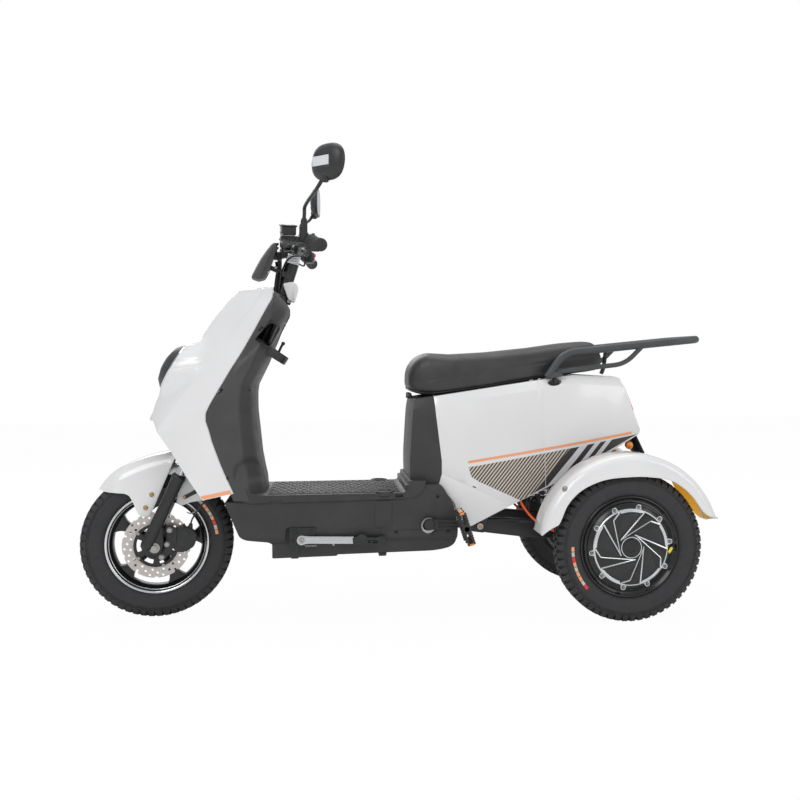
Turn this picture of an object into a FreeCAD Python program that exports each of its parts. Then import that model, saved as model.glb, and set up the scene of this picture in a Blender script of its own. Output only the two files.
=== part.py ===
import FreeCAD, Part

import math
import os
import re
from types import SimpleNamespace

import Sketcher
from FreeCAD import Vector

# Three-wheel electric scooter. Millimetres, +X to the rear, +Y to the rider's
# right, +Z up, origin on the ground below the middle of the whole outline.
# Outlines are written from the front axle's X and from the ground.

DRIVING_SIZES = {
    # Wheels and stance
    "front_axle_x": -680.1,
    "wheelbase": 1299,
    "track": 533,
    "wheel_radius": 207.5,
    "tyre_width": 82,
    "tyre_seat_radius": 132,
    "rim_radius": 141,
    "rim_width": 62,
    "rim_wall": 5,
    "axle_radius": 7,
    "running_gap": 0.3,
    # Steering
    "rake_deg": 24.3,
    "fork_offset": 31,
    "steer_rest_deg": 2.7,
    "leg_lead": 50,
    "leg_spread": 88,
    "leg_radius": 17,
    "stanchion_radius": 13,
    "crown_height": 510,
    "steerer_radius": 14,
    "head_tube_radius": 24,
    "head_tube_low": 540,
    "head_tube_high": 880,
    "clamp_height": 1037,
    "bar_radius": 11,
    "grip_radius": 17,
    "grip_length": 108,
    "fender_cheek": 56,
    "disc_radius": 92,
    "disc_thickness": 4,
    "disc_offset": 52,
    # Body
    "panel_wall": 3,
    "apron_half_width": 165,
    "lamp_radius": 74,
    "lamp_height": 702,
    "floor_height": 351,
    "floor_thickness": 20,
    "floor_half_width": 158,
    "floor_front": 226,
    "floor_rear_reach": 615,
    "belly_bottom": 172,
    "belly_half_width": 154,
    "hinge_reach": 587,
    "rail_radius": 12,
    "rail_half_width": 104,
    # Rear end
    "pivot_reach": 392,
    "pivot_height": 246,
    "arm_half_width": 96,
    "fender_radius": 258,
    "fender_width": 112,
    "fender_wall": 3,
    "rack_radius": 11,
    "rack_half_width": 137,
    "rack_foot": 640,
    # Crank, stand
    "crank_reach": 544,
    "crank_height": 263,
    "crank_throw": 93,
    "crank_half_width": 160,
    "pedal_length": 90,
    "stand_x": 404,
    "stand_height": 229,
    "stand_length": 232,
    "lead_radius": 3.5,
}

doc = FreeCAD.newDocument("ThreeWheelScooter")
sheet = doc.addObject("Spreadsheet::Sheet", "Sizes")
for row, (alias, value) in enumerate(DRIVING_SIZES.items(), start=1):
    sheet.set(f"A{row}", alias)
    sheet.set(f"B{row}", str(value))
    sheet.setAlias(f"B{row}", alias)
doc.recompute()
dim = SimpleNamespace(**{alias: float(sheet.get(alias)) for alias in DRIVING_SIZES})

parts = []
tan_rake = math.tan(math.radians(dim.rake_deg))
AXIS_FOOT = Vector(dim.front_axle_x + dim.fork_offset, 0, dim.wheel_radius)
AXIS_UP = Vector(math.sin(math.radians(dim.rake_deg)), 0, math.cos(math.radians(dim.rake_deg)))
STEER = FreeCAD.Placement(Vector(0, 0, 0), FreeCAD.Rotation(AXIS_UP, dim.steer_rest_deg), AXIS_FOOT)


def rx(x):
    """X of a point given from the rear axle."""
    return dim.front_axle_x + dim.wheelbase + x


def fx(x):
    """X of a point drawn from the front axle; behind the floor's middle it keeps to the rear axle."""
    floor_middle = 500
    drawn_wheelbase = 1299
    return dim.front_axle_x + x if x < floor_middle else rx(x - drawn_wheelbase)


def axis_x(height):
    """X of the steering axis at a height above the ground."""
    return dim.front_axle_x + dim.fork_offset + (height - dim.wheel_radius) * tan_rake


# Shape helpers

SIDES = (-1, 1)


def keep(obj, label, steered=False):
    obj.Label = label
    if steered:
        obj.Placement = STEER.multiply(obj.Placement)
    parts.append(obj)
    return obj


def feature(label, shape, steered=False):
    obj = doc.addObject("Part::Feature", label)
    obj.Shape = shape
    return keep(obj, label, steered)


def prism(outline, low, high):
    """Solid between two Y planes over an outline in XZ."""
    corners = [Vector(x, low, z) for x, z in outline]
    wire = Part.makePolygon(corners + corners[:1])
    return Part.Face(wire).extrude(Vector(0, high - low, 0))


def plate(outline, low, high):
    """Solid between two heights over an outline in XY."""
    corners = [Vector(x, y, low) for x, y in outline]
    wire = Part.makePolygon(corners + corners[:1])
    return Part.Face(wire).extrude(Vector(0, 0, high - low))


def bar_along_x(outline, low, high):
    """Solid between two X planes over an outline in YZ."""
    corners = [Vector(low, y, z) for y, z in outline]
    wire = Part.makePolygon(corners + corners[:1])
    return Part.Face(wire).extrude(Vector(high - low, 0, 0))


def loft(loops):
    wires = [Part.makePolygon(loop + loop[:1]) for loop in loops]
    return Part.makeLoft(wires, True, True)


def rod(start, end, radius):
    run = end - start
    return Part.makeCylinder(radius, run.Length, start, run)


def ball(centre, radius):
    return Part.makeSphere(radius, centre)


def tube_path(points, radius, bend):
    """Round bar along straight runs joined by tangent arcs."""
    edges = []
    start = points[0]
    for before, corner, after in zip(points, points[1:], points[2:]):
        back = (before - corner).normalize()
        ahead = (after - corner).normalize()
        half = back.getAngle(ahead) / 2
        reach = min(bend / math.tan(half), 0.45 * (before - corner).Length, 0.45 * (after - corner).Length)
        first = corner + back * reach
        last = corner + ahead * reach
        middle_line = (back + ahead).normalize()
        arc_radius = reach * math.tan(half)
        middle = corner + middle_line * (arc_radius / math.sin(half) - arc_radius)
        edges.append(Part.LineSegment(start, first).toShape())
        edges.append(Part.Arc(first, middle, last).toShape())
        start = last
    edges.append(Part.LineSegment(start, points[-1]).toShape())
    spine = Part.Wire(edges)
    ring = Part.Wire(Part.makeCircle(radius, points[0], points[1] - points[0]))
    return spine.makePipeShell([ring], True, False)


def fused(shapes):
    """One solid from several, its coplanar faces merged where that leaves it valid."""
    joined = shapes[0].multiFuse(shapes[1:])
    merged = joined.removeSplitter()
    return merged if merged.isValid() else joined


def row_at(table, key):
    """Values of a table at any key between its first and last row."""
    for low, high in zip(table, table[1:]):
        if key <= high[0]:
            share = (key - low[0]) / (high[0] - low[0])
            return [a + share * (b - a) for a, b in zip(low[1:], high[1:])]
    return list(table[-1][1:])


# Sketch helpers

ALIAS = re.compile(r"[a-z][a-z_]*")


def formula(text):
    return ALIAS.sub(lambda hit: "Sizes." + hit.group() if hit.group() in DRIVING_SIZES else hit.group(), text)


def new_body(label):
    return doc.addObject("PartDesign::Body", label)


def new_sketch(body, role, name):
    sketch = body.newObject("Sketcher::SketchObject", name)
    plane = [item for item in body.Origin.OriginFeatures if item.Role == role][0]
    sketch.AttachmentSupport = [(plane, "")]
    sketch.MapMode = "FlatFace"
    return sketch


def value_of(sketch, text):
    result = sketch.evalExpression(formula(text))
    return float(getattr(result, "Value", result))


def bound(sketch, kind, *where, text):
    index = sketch.addConstraint(Sketcher.Constraint(kind, *where, value_of(sketch, text)))
    sketch.setExpression(f"Constraints[{index}]", formula(text))


def outline(sketch, corners):
    """Closed outline whose corners are pairs of formulas on the sheet."""
    points = [Vector(value_of(sketch, x), value_of(sketch, y), 0) for x, y in corners]
    first = sketch.GeometryCount
    count = len(points)
    for step in range(count):
        sketch.addGeometry(Part.LineSegment(points[step], points[(step + 1) % count]))
    for step in range(count):
        following = first + (step + 1) % count
        sketch.addConstraint(Sketcher.Constraint("Coincident", first + step, 2, following, 1))
    for step, (x, y) in enumerate(corners):
        bound(sketch, "DistanceX", -1, 1, first + step, 1, text=x)
        bound(sketch, "DistanceY", -1, 1, first + step, 1, text=y)


def circle(sketch, x, y, radius):
    centre = Vector(value_of(sketch, x), value_of(sketch, y), 0)
    index = sketch.addGeometry(Part.Circle(centre, Vector(0, 0, 1), value_of(sketch, radius)))
    bound(sketch, "DistanceX", -1, 1, index, 3, text=x)
    bound(sketch, "DistanceY", -1, 1, index, 3, text=y)
    bound(sketch, "Radius", index, text=radius)


def revolve(body, role, name, corners):
    """Solid turned about the body's own Y axis from an outline (radius, Y)."""
    sketch = new_sketch(body, role, name + "_sketch")
    outline(sketch, corners)
    turned = body.newObject("PartDesign::Revolution", name)
    turned.Profile = sketch
    turned.ReferenceAxis = (sketch, ["V_Axis"])
    turned.Angle = 360
    return turned


def pad(body, role, name, length, draw, middle=True, offset="0"):
    sketch = new_sketch(body, role, name + "_sketch")
    sketch.setExpression("AttachmentOffset.Base.z", formula(offset))
    draw(sketch)
    block = body.newObject("PartDesign::Pad", name)
    block.Profile = sketch
    block.Midplane = middle
    block.setExpression("Length", formula(length))
    return block


def pocket(body, role, name, length, draw, offset="0"):
    sketch = new_sketch(body, role, name + "_sketch")
    sketch.setExpression("AttachmentOffset.Base.z", formula(offset))
    draw(sketch)
    hole = body.newObject("PartDesign::Pocket", name)
    hole.Profile = sketch
    hole.Midplane = True
    hole.setExpression("Length", formula(length))
    return hole


def ring_of(body, name, feature_list, count):
    """Copies of features turned about the body's own Y axis."""
    pattern = body.newObject("PartDesign::PolarPattern", name)
    pattern.Originals = feature_list
    axis = [item for item in body.Origin.OriginFeatures if item.Role == "Y_Axis"][0]
    pattern.Axis = (axis, [""])
    pattern.Angle = 360
    pattern.Occurrences = count
    body.Tip = pattern
    return pattern


def place(body, x, y, z):
    body.setExpression("Placement.Base.x", formula(x))
    body.setExpression("Placement.Base.y", formula(y))
    body.setExpression("Placement.Base.z", formula(z))
    doc.recompute()


# Wheels

def tyre(label, x, y, steered):
    body = new_body(label)
    revolve(body, "XY_Plane", label + "_carcass", [
        ("tyre_seat_radius", "rim_width / 2 - 4"),
        ("rim_radius + 0.2", "rim_width / 2 - 4"),
        ("rim_radius + 0.2", "rim_width / 2 - 0.5"),
        ("rim_radius + 14", "tyre_width / 2 - 4"),
        ("wheel_radius - 38", "tyre_width / 2"),
        ("wheel_radius - 20", "tyre_width / 2 - 2"),
        ("wheel_radius - 5", "tyre_width / 2 - 14"),
        ("wheel_radius", "tyre_width / 2 - 28"),
        ("wheel_radius", "28 - tyre_width / 2"),
        ("wheel_radius - 5", "14 - tyre_width / 2"),
        ("wheel_radius - 20", "2 - tyre_width / 2"),
        ("wheel_radius - 38", "0 - tyre_width / 2"),
        ("rim_radius + 14", "4 - tyre_width / 2"),
        ("rim_radius + 0.2", "0.5 - rim_width / 2"),
        ("rim_radius + 0.2", "4 - rim_width / 2"),
        ("tyre_seat_radius", "4 - rim_width / 2"),
    ])
    place(body, x, y, "wheel_radius")
    return finish_body(body, label, steered)


def finish_body(body, label, steered=False):
    """Keep a body, turned with the steering where it belongs to it."""
    doc.recompute()
    if steered:
        shape = body.Shape.copy()
        shape.Placement = STEER.multiply(shape.Placement)
        body.Label = label + "_straight"
        turned = doc.addObject("Part::Feature", label + "_turned")
        turned.Shape = shape
        return keep(turned, label)
    return keep(body, label)


def front_rim():
    body = new_body("front_rim")
    revolve(body, "XY_Plane", "rim_band", [
        ("rim_radius", "rim_width / 2"),
        ("rim_radius", "rim_width / 2 - 4"),
        ("tyre_seat_radius", "rim_width / 2 - 4"),
        ("tyre_seat_radius", "4 - rim_width / 2"),
        ("rim_radius", "4 - rim_width / 2"),
        ("rim_radius", "0 - rim_width / 2"),
        ("tyre_seat_radius - rim_wall", "0 - rim_width / 2"),
        ("tyre_seat_radius - rim_wall - 12", "-10"),
        ("tyre_seat_radius - rim_wall - 12", "10"),
        ("tyre_seat_radius - rim_wall", "rim_width / 2"),
    ])
    revolve(body, "XY_Plane", "rim_hub", [
        ("axle_radius + running_gap", "-40"),
        ("28", "-40"),
        ("34", "-30"),
        ("34", "30"),
        ("28", "40"),
        ("axle_radius + running_gap", "40"),
    ])

    def spoke(sketch):
        outline(sketch, [
            ("-13", "30"),
            ("13", "30"),
            ("9", "70"),
            ("12", "tyre_seat_radius - rim_wall - 8"),
            ("-12", "tyre_seat_radius - rim_wall - 8"),
            ("-9", "70"),
        ])
    arm = pad(body, "XZ_Plane", "rim_spoke", "26", spoke)
    ring_of(body, "rim_spokes", [arm], 5)
    place(body, "front_axle_x", "0", "wheel_radius")
    return finish_body(body, "front_rim", True)


def brake_disc():
    body = new_body("brake_disc")
    revolve(body, "XY_Plane", "disc_plate", [
        ("58", "0"),
        ("disc_radius", "0"),
        ("disc_radius", "disc_thickness"),
        ("58", "disc_thickness"),
    ])
    revolve(body, "XY_Plane", "disc_carrier", [
        ("20", "1"),
        ("60", "1"),
        ("60", "disc_thickness - 1"),
        ("34", "disc_thickness - 1"),
        ("30", "12"),
        ("20", "12"),
    ])

    def hole(sketch):
        circle(sketch, "0", "disc_radius - 8", "3.5")
        circle(sketch, "7", "disc_radius - 17", "3.5")
        circle(sketch, "-7", "disc_radius - 26", "3.5")
    holes = pocket(body, "XZ_Plane", "disc_holes", "40", hole)
    ring_of(body, "disc_hole_ring", [holes], 12)
    place(body, "front_axle_x", "0 - disc_offset", "wheel_radius")
    return finish_body(body, "brake_disc", True)


def hub_motor(label, side):
    """Hub motor and rim of one rear wheel, its cover with five swept ribs."""
    body = new_body(label)
    out = "0 - " if side < 0 else "0 + "
    revolve(body, "XY_Plane", label + "_shell", [
        ("axle_radius + running_gap", out + "34"),
        ("112", out + "34"),
        ("118", out + "26"),
        ("rim_radius", out + "rim_width / 2"),
        ("rim_radius", out + "(rim_width / 2 - 4)"),
        ("tyre_seat_radius", out + "(rim_width / 2 - 4)"),
        ("tyre_seat_radius", out + "(4 - rim_width / 2)"),
        ("rim_radius", out + "(4 - rim_width / 2)"),
        ("rim_radius", out + "(0 - rim_width / 2)"),
        ("118", out + "(0 - 26)"),
        ("108", out + "(0 - 38)"),
        ("40", out + "(0 - 44)"),
        ("axle_radius + running_gap", out + "(0 - 44)"),
    ])

    def cap(sketch):
        circle(sketch, "0", "0", "27")
    pad(body, "XZ_Plane", label + "_cap", "6", cap, offset="37" if side < 0 else "-37")

    def blade(sketch):
        outline(sketch, [
            ("30", "-8"),
            ("60", "-34"),
            ("92", "-38"),
            ("97", "-22"),
            ("64", "-18"),
            ("34", "4"),
        ])
    rib = pad(body, "XZ_Plane", label + "_rib", "5", blade, offset="36" if side < 0 else "-36")
    ring_of(body, label + "_ribs", [rib], 5)
    place(body, "front_axle_x + wheelbase", ("0 - " if side < 0 else "0 + ") + "track / 2", "wheel_radius")
    return finish_body(body, label)


tyre("front_tyre", "front_axle_x", "0", True)
front_rim()
brake_disc()
tyre("rear_tyre_left", "front_axle_x + wheelbase", "0 - track / 2", False)
tyre("rear_tyre_right", "front_axle_x + wheelbase", "track / 2", False)
hub_motor("hub_motor_left", -1)
hub_motor("hub_motor_right", 1)


# Fork and steering

def on_leg(height, y, lead):
    """Point at a height on the line of a fork leg, ahead of the steering axis."""
    return Vector(axis_x(height) - lead / math.cos(math.radians(dim.rake_deg)), y, height)


def fork_lowers():
    """Both sliders with their axle lugs and the axle, and the calliper mount."""
    pieces = []
    for side in (-1, 1):
        y = side * dim.leg_spread
        top = on_leg(405, y, dim.leg_lead)
        low = on_leg(dim.wheel_radius + 8, y, dim.leg_lead)
        slider = rod(low, top, dim.leg_radius)
        slider = slider.fuse(ball(low, dim.leg_radius))
        seat = rod(on_leg(399, y, dim.leg_lead), top, dim.leg_radius + 3)
        bore = rod(on_leg(300, y, dim.leg_lead), on_leg(420, y, dim.leg_lead), dim.stanchion_radius)
        axle = Vector(dim.front_axle_x, y, dim.wheel_radius)
        lug = prism([
            (fx(-34), dim.wheel_radius + 2),
            (fx(-12), dim.wheel_radius - 20),
            (fx(14), dim.wheel_radius - 20),
            (fx(22), dim.wheel_radius + 6),
            (fx(20), dim.wheel_radius + 62),
            (fx(2), dim.wheel_radius + 70),
        ], y - 8, y + 8)
        pieces.append(slider.fuse(seat).cut(bore).fuse(lug))
        cheek = side * (dim.fender_cheek + 0.2)
        bracket = prism([(fx(-24), 360), (fx(-4), 360), (fx(42), 366), (fx(38), 338), (fx(-36), 298),
                         (fx(-42), 314)], min(cheek, cheek + side * 4), max(cheek, cheek + side * 4))
        pieces.append(bracket)
        pieces.append(rod(on_leg(350, cheek, dim.leg_lead), on_leg(350, y - side * 13.6, dim.leg_lead), 9))
        pieces.append(rod(axle + Vector(0, side * 8, 0), axle + Vector(0, side * 16, 0), 12))
    start = Vector(dim.front_axle_x, -dim.leg_spread, dim.wheel_radius)
    end = Vector(dim.front_axle_x, dim.leg_spread, dim.wheel_radius)
    pieces.append(rod(start, end, dim.axle_radius))
    return feature("fork_lowers", fused(pieces), True)


def fork_crown():
    """Stanchions, lower yoke and the steerer that turns in the head tube."""
    high = dim.crown_height
    pieces = []
    for side in (-1, 1):
        y = side * dim.leg_spread
        start = on_leg(301, y, dim.leg_lead)
        pieces.append(rod(start, on_leg(high + 26, y, dim.leg_lead), dim.stanchion_radius - dim.running_gap / 3))
    yoke = plate([
        (axis_x(high) - 82, -dim.leg_spread - 20),
        (axis_x(high) - 36, -dim.leg_spread - 20),
        (axis_x(high) + 26, -30),
        (axis_x(high) + 26, 30),
        (axis_x(high) - 36, dim.leg_spread + 20),
        (axis_x(high) - 82, dim.leg_spread + 20),
    ], high - 22, high)
    yoke.rotate(Vector(axis_x(high), 0, high), Vector(0, 1, 0), dim.rake_deg)
    pieces.append(yoke)
    foot = Vector(axis_x(high - 8), 0, high - 8)
    head = Vector(axis_x(dim.head_tube_high + 20), 0, dim.head_tube_high + 20)
    pieces.append(rod(foot, head, dim.steerer_radius))
    return feature("fork_crown", fused(pieces), True)


def steering_stem():
    """Riser from the steerer to the handlebar clamp."""
    low = Vector(axis_x(dim.head_tube_high + 8), 0, dim.head_tube_high + 8)
    high = Vector(fx(392), 0, dim.clamp_height)
    riser = rod(low, high, dim.steerer_radius + 5)
    clamp = Part.makeCylinder(dim.bar_radius + 8, 52, high + Vector(0, -26, 0), Vector(0, 1, 0))
    hollow = Part.makeCylinder(dim.bar_radius, 80, high + Vector(0, -40, 0), Vector(0, 1, 0))
    steerer = rod(Vector(axis_x(dim.head_tube_low), 0, dim.head_tube_low),
                  Vector(axis_x(dim.head_tube_high + 20), 0, dim.head_tube_high + 20), dim.steerer_radius)
    return feature("steering_stem", riser.fuse(clamp).cut(hollow).cut(steerer), True)


BAR = [
    (340, 452, 1028),
    (168, 419, 1056),
    (112, 396, 1058),
    (62, 392, 1037),
]


def bar_points():
    left = [Vector(fx(x), -y, dim.clamp_height + z - 1037) for y, x, z in BAR]
    return left + [Vector(p.x, -p.y, p.z) for p in reversed(left)]


def handlebar():
    return feature("handlebar", tube_path(bar_points(), dim.bar_radius, 45), True)


def on_bar(side, distance):
    """Point on the outer straight run of the bar, measured inward from its end."""
    points = bar_points()
    end, knee = (points[0], points[1]) if side < 0 else (points[-1], points[-2])
    return end + (knee - end).normalize() * distance


def grips():
    sleeves = []
    for side in (-1, 1):
        sleeve = rod(on_bar(side, -2), on_bar(side, dim.grip_length), dim.grip_radius)
        flange = rod(on_bar(side, dim.grip_length - 5), on_bar(side, dim.grip_length), dim.grip_radius + 4)
        hole = rod(on_bar(side, -1e-3), on_bar(side, dim.grip_length + 20), dim.bar_radius)
        sleeves.append(sleeve.fuse(flange).cut(hole))
    return sleeves


def switch_housing(side):
    centre = on_bar(side, dim.grip_length + 17)
    body = rod(on_bar(side, dim.grip_length + 1), on_bar(side, dim.grip_length + 32), 21)
    boss = rod(centre, centre + Vector(-10, 0, 34), 9)
    hole = rod(on_bar(side, dim.grip_length - 4), on_bar(side, dim.grip_length + 44), dim.bar_radius)
    return body.fuse(boss).cut(hole)


def brake_lever(side):
    """Clamp, fluid reservoir and lever blade of one brake."""
    def on_lever(distance, x, z):
        return on_bar(side, distance) + Vector(x, 0, z)
    reach = dim.grip_length + 33
    clamp = rod(on_bar(side, reach), on_bar(side, reach + 13), 17)
    body = rod(on_lever(reach + 6, -6, 0), on_lever(reach + 6, -42, 14), 9)
    blade = tube_path([on_lever(reach + 2, -40, 10), on_lever(reach - 40, -58, 4),
                       on_lever(12, -48, -2)], 5, 30)
    tip = ball(on_lever(12, -48, -2), 7)
    hole = rod(on_bar(side, reach - 5), on_bar(side, reach + 20), dim.bar_radius)
    return fused([clamp, body, blade, tip]).cut(hole)


fork_lowers()
fork_crown()
steering_stem()
handlebar()
feature("grips", Part.makeCompound(grips()), True)
feature("switch_housings", Part.makeCompound([switch_housing(side) for side in SIDES]), True)
feature("brake_levers", Part.makeCompound([brake_lever(side) for side in SIDES]), True)


def mirror(label, side, toe):
    """Mirror head on its bent stem, screwed into the switch housing."""
    foot = on_bar(side, dim.grip_length + 17) + Vector(-10, 0, 34)
    head = Vector(fx(455), side * 391, 1234)
    stem = tube_path([foot, foot + Vector(-6, 0, 20.4), Vector(fx(430), side * 372, 1172),
                      head + Vector(-6, 0, -34)], 5, 16)
    body = new_body(label + "_head")
    revolve(body, "XY_Plane", label + "_bowl", [
        ("0", "-9"),
        ("44", "-9"),
        ("47", "-4"),
        ("42", "6"),
        ("26", "13"),
        ("0", "15"),
    ])
    doc.recompute()
    bowl = body.Shape.copy()
    stretch = FreeCAD.Matrix()
    stretch.scale(1.28, 1, 1)
    bowl = bowl.transformGeometry(stretch)
    turn = FreeCAD.Rotation(Vector(0, 0, 1), 90 - side * toe)
    bowl.Placement = FreeCAD.Placement(head, turn)
    doc.removeObject(body.Name)
    return feature(label, fused([stem, bowl]), True)


MIRROR_TOE = {-1: 38, 1: 8}
mirror("mirror_left", -1, MIRROR_TOE[-1])
mirror("mirror_right", 1, MIRROR_TOE[1])


def mirror_glass(side):
    """Oval glass laid on the flat back of one mirror head."""
    glass = Part.makeCylinder(41, 1.2, Vector(0, -9, 0), Vector(0, -1, 0))
    stretch = FreeCAD.Matrix()
    stretch.scale(1.28, 1, 1)
    glass = glass.transformGeometry(stretch)
    turn = FreeCAD.Rotation(Vector(0, 0, 1), 90 - side * MIRROR_TOE[side])
    glass.Placement = FreeCAD.Placement(Vector(fx(455), side * 391, 1234), turn)
    return glass


feature("mirror_glasses", Part.makeCompound([mirror_glass(side) for side in SIDES]), True)


def stem_cover():
    """Moulded cover clipped over the back of the stem."""
    shell = prism([(fx(349), 944), (fx(376), 947), (fx(386), 938), (fx(388), 926), (fx(378), 893), (fx(358), 899)],
                  -27, 27)
    shell = shell.makeFillet(7, [edge for edge in shell.Edges if edge.Length > 50])
    hollow = prism([(fx(330), 960), (fx(372), 944), (fx(382), 936), (fx(384), 926), (fx(374), 880), (fx(330), 880)],
                   -24, 24)
    riser = rod(Vector(axis_x(dim.head_tube_high + 8), 0, dim.head_tube_high + 8),
                Vector(fx(392), 0, dim.clamp_height), dim.steerer_radius + 5)
    clip = prism([(fx(350), 918), (fx(382), 932), (fx(383), 924), (fx(352), 910)], -25, 25)
    return feature("stem_cover", shell.cut(hollow).fuse(clip).cut(riser), True)


stem_cover()


def display_pod():
    """Hooded display ahead of the clamp, on a short bracket."""
    hood = prism([
        (fx(252), 968),
        (fx(276), 961),
        (fx(300), 985),
        (fx(336), 1078),
        (fx(318), 1085),
        (fx(280), 1044),
    ], -62, 62)
    corner = plate([(fx(235), -40), (fx(262), -64), (fx(345), -64), (fx(345), 64), (fx(262), 64), (fx(235), 40)],
                   950, 1100)
    arm = prism([(fx(312), 1022), (fx(320), 1040), (fx(384), 1048), (fx(384), 1030)], -18, 18)
    clamp = Part.makeCylinder(dim.bar_radius + 8, 60, Vector(fx(392), -30, dim.clamp_height), Vector(0, 1, 0))
    riser = rod(Vector(axis_x(dim.head_tube_high), 0, dim.head_tube_high),
                Vector(fx(392), 0, dim.clamp_height), dim.steerer_radius + 5)
    return feature("display_pod", hood.common(corner).fuse(arm).cut(clamp).cut(riser), True)


display_pod()


def fender_tail(half):
    """Rear half of the front fender behind the fork, on two flat struts."""
    radius = dim.wheel_radius + 19
    centre = Vector(dim.front_axle_x, 0, dim.wheel_radius)
    ring = Part.makeCylinder(radius, 2 * half - 8, centre - Vector(0, half - 4, 0), Vector(0, 1, 0))
    ring = ring.cut(Part.makeCylinder(radius - 3, 2 * half, centre - Vector(0, half, 0), Vector(0, 1, 0)))
    sector = prism([(fx(4), dim.wheel_radius), (fx(14), 470), (fx(120), 470), (fx(240), dim.wheel_radius + 200),
                    (fx(160), dim.wheel_radius + 132)], -half, half)
    pieces = [ring.common(sector)]
    for side in SIDES:
        near, far = side * (half - 4.5), side * half
        pieces.append(prism([(fx(22), 342), (fx(30), 356), (fx(100), 358), (fx(152), 374), (fx(158), 364),
                             (fx(104), 344)], min(near, far), max(near, far)))
    return fused(pieces)


def front_fender():
    """Crowned blade over the front wheel with side cheeks bolted to the sliders."""
    half = dim.fender_cheek
    side_view = [
        (fx(-156), 366),
        (fx(-117), 410),
        (fx(-67), 438),
        (fx(-8), 459),
        (fx(36), 467),
        (fx(51), 452),
        (fx(22), 382),
        (fx(-16), 291),
        (fx(-44), 291),
        (fx(-56), 317),
        (fx(-67), 345),
        (fx(-80), 354),
        (fx(-128), 357),
    ]
    inner = Part.makeCylinder(dim.wheel_radius + 9, 2 * (half - 4),
                              Vector(dim.front_axle_x, -half + 4, dim.wheel_radius), Vector(0, 1, 0))
    crown = bar_along_x([(-half, 250), (half, 250), (half, 400), (34, 480), (-34, 480), (-half, 400)],
                        fx(-200), fx(200))
    low = fused([inner, prism([(fx(-170), 200), (fx(100), 200), (fx(60), dim.wheel_radius + 180),
                               (fx(-120), dim.wheel_radius + 150)], 4 - half, half - 4)])
    blade = prism(side_view, -half, half).common(crown).cut(low)
    tail = fender_tail(half)
    return feature("front_fender", Part.makeCompound([blade, tail]), True)


front_fender()


def brake_caliper():
    """Twin-piston calliper straddling the disc behind the left slider."""
    y = -dim.disc_offset + dim.disc_thickness / 2
    block = prism([
        (fx(48), 190),
        (fx(72), 186),
        (fx(104), 204),
        (fx(110), 240),
        (fx(88), 258),
        (fx(52), 252),
    ], y - 26, y + 16)
    slot = Part.makeCylinder(dim.disc_radius + 5, dim.disc_thickness + 6,
                             Vector(dim.front_axle_x, y - dim.disc_thickness / 2 - 3, dim.wheel_radius),
                             Vector(0, 1, 0))
    ear = prism([(fx(22.2), 222), (fx(60), 214), (fx(60), 250), (fx(20.2), 258)],
                -dim.leg_spread + 8.2, -dim.leg_spread + 16)
    return feature("brake_caliper", fused([block.cut(slot), ear]), True)


brake_caliper()


# Front body

APRON = [
    # height, nose, crease, crease half width, seam
    (346, 30, 70, 150, 226),
    (439, -20, 10, 132, 185),
    (530, -19, 13, 112, 155),
    (556, -25, 30, 110, 146),
    (575, -16, 44, 110, 143),
    (603, -8, 64, 110, 155),
    (645, 12, 93, 110, 180),
    (743, 62, 165, 110, 238),
    (775, 90, 190, 108, 255),
    (809, 131, 216, 106, 275),
    (849, 157, 245, 104, 297),
    (895, 190, 277, 100, 322),
    (920, 219, 292, 96, 326),
]


def seam_half(height):
    """Half width at the seam, drawn in at the top."""
    return dim.apron_half_width - 12 * max(0, min(1, (height - 878) / 17))


def apron_loops(inset, back):
    loops = []
    low, high = APRON[0][0], APRON[-1][0]
    for height in FRONT_LEVELS:
        nose, crease, width, seam = row_at(APRON, height)
        level = height - inset if height in (low, high) else height
        side = seam_half(height) - inset
        half = [
            (nose + inset * 1.3, 34),
            (crease + inset, width - inset),
            (seam, side),
            (seam + back, side),
        ]
        loop = half + [(x, -y) for x, y in reversed(half)]
        loops.append([Vector(fx(x), y, level) for x, y in loop])
    return loops


LEG_SHIELD = [
    # height, side, rear corner, rear
    (351, 262, 296, 304),
    (388, 258, 292, 301),
    (455, 246, 279, 287),
    (530, 238, 270, 279),
    (575, 234, 266, 274),
    (603, 236, 266, 273),
    (631, 238, 266, 273),
    (654, 242, 269, 276),
    (712, 270, 297, 304),
    (805, 306, 334, 341),
    (851, 326, 357, 364),
    (878, 330, 353, 361),
    (905, 332, 336, 341),
]
FRONT_LEVELS = sorted({row[0] for row in APRON} | {row[0] for row in LEG_SHIELD})
MOUTH = [(-90, 300), (-90, 524), (-10, 524), (12, 528), (57, 480), (98, 422), (143, 346), (226, 357), (260, 357), (260, 300)]


def lamp_cutter(gap):
    return Part.makeCylinder(dim.lamp_radius - gap, 200, Vector(fx(-20), 0, dim.lamp_height), Vector(1, 0, 0))


def front_apron():
    outer = loft(apron_loops(0, 0.01))
    inner = loft(apron_loops(dim.panel_wall, 80))
    mouth = prism([(fx(x), z) for x, z in MOUTH], -200, 200)
    shell = outer.cut(inner).cut(mouth)
    stem_hole = rod(Vector(axis_x(800), 0, 800), Vector(axis_x(1000), 0, 1000), dim.head_tube_radius + 6)
    shell = shell.cut(stem_hole)
    lamp = outer.common(lamp_cutter(0.3))
    behind = outer.copy()
    behind.translate(Vector(24, 0, 0))
    lens = lamp.cut(behind)
    low, high = dim.lamp_height - dim.lamp_radius - 4, dim.lamp_height + dim.lamp_radius + 4
    reach = prism([(fx(-40), low), (fx(150), low), (fx(150), high), (fx(-40), high)], -80, 80)
    feature("headlamp", lens.common(reach))
    shell = shell.cut(lamp_cutter(0).common(reach))
    return feature("front_apron", shell)


front_apron()

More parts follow.
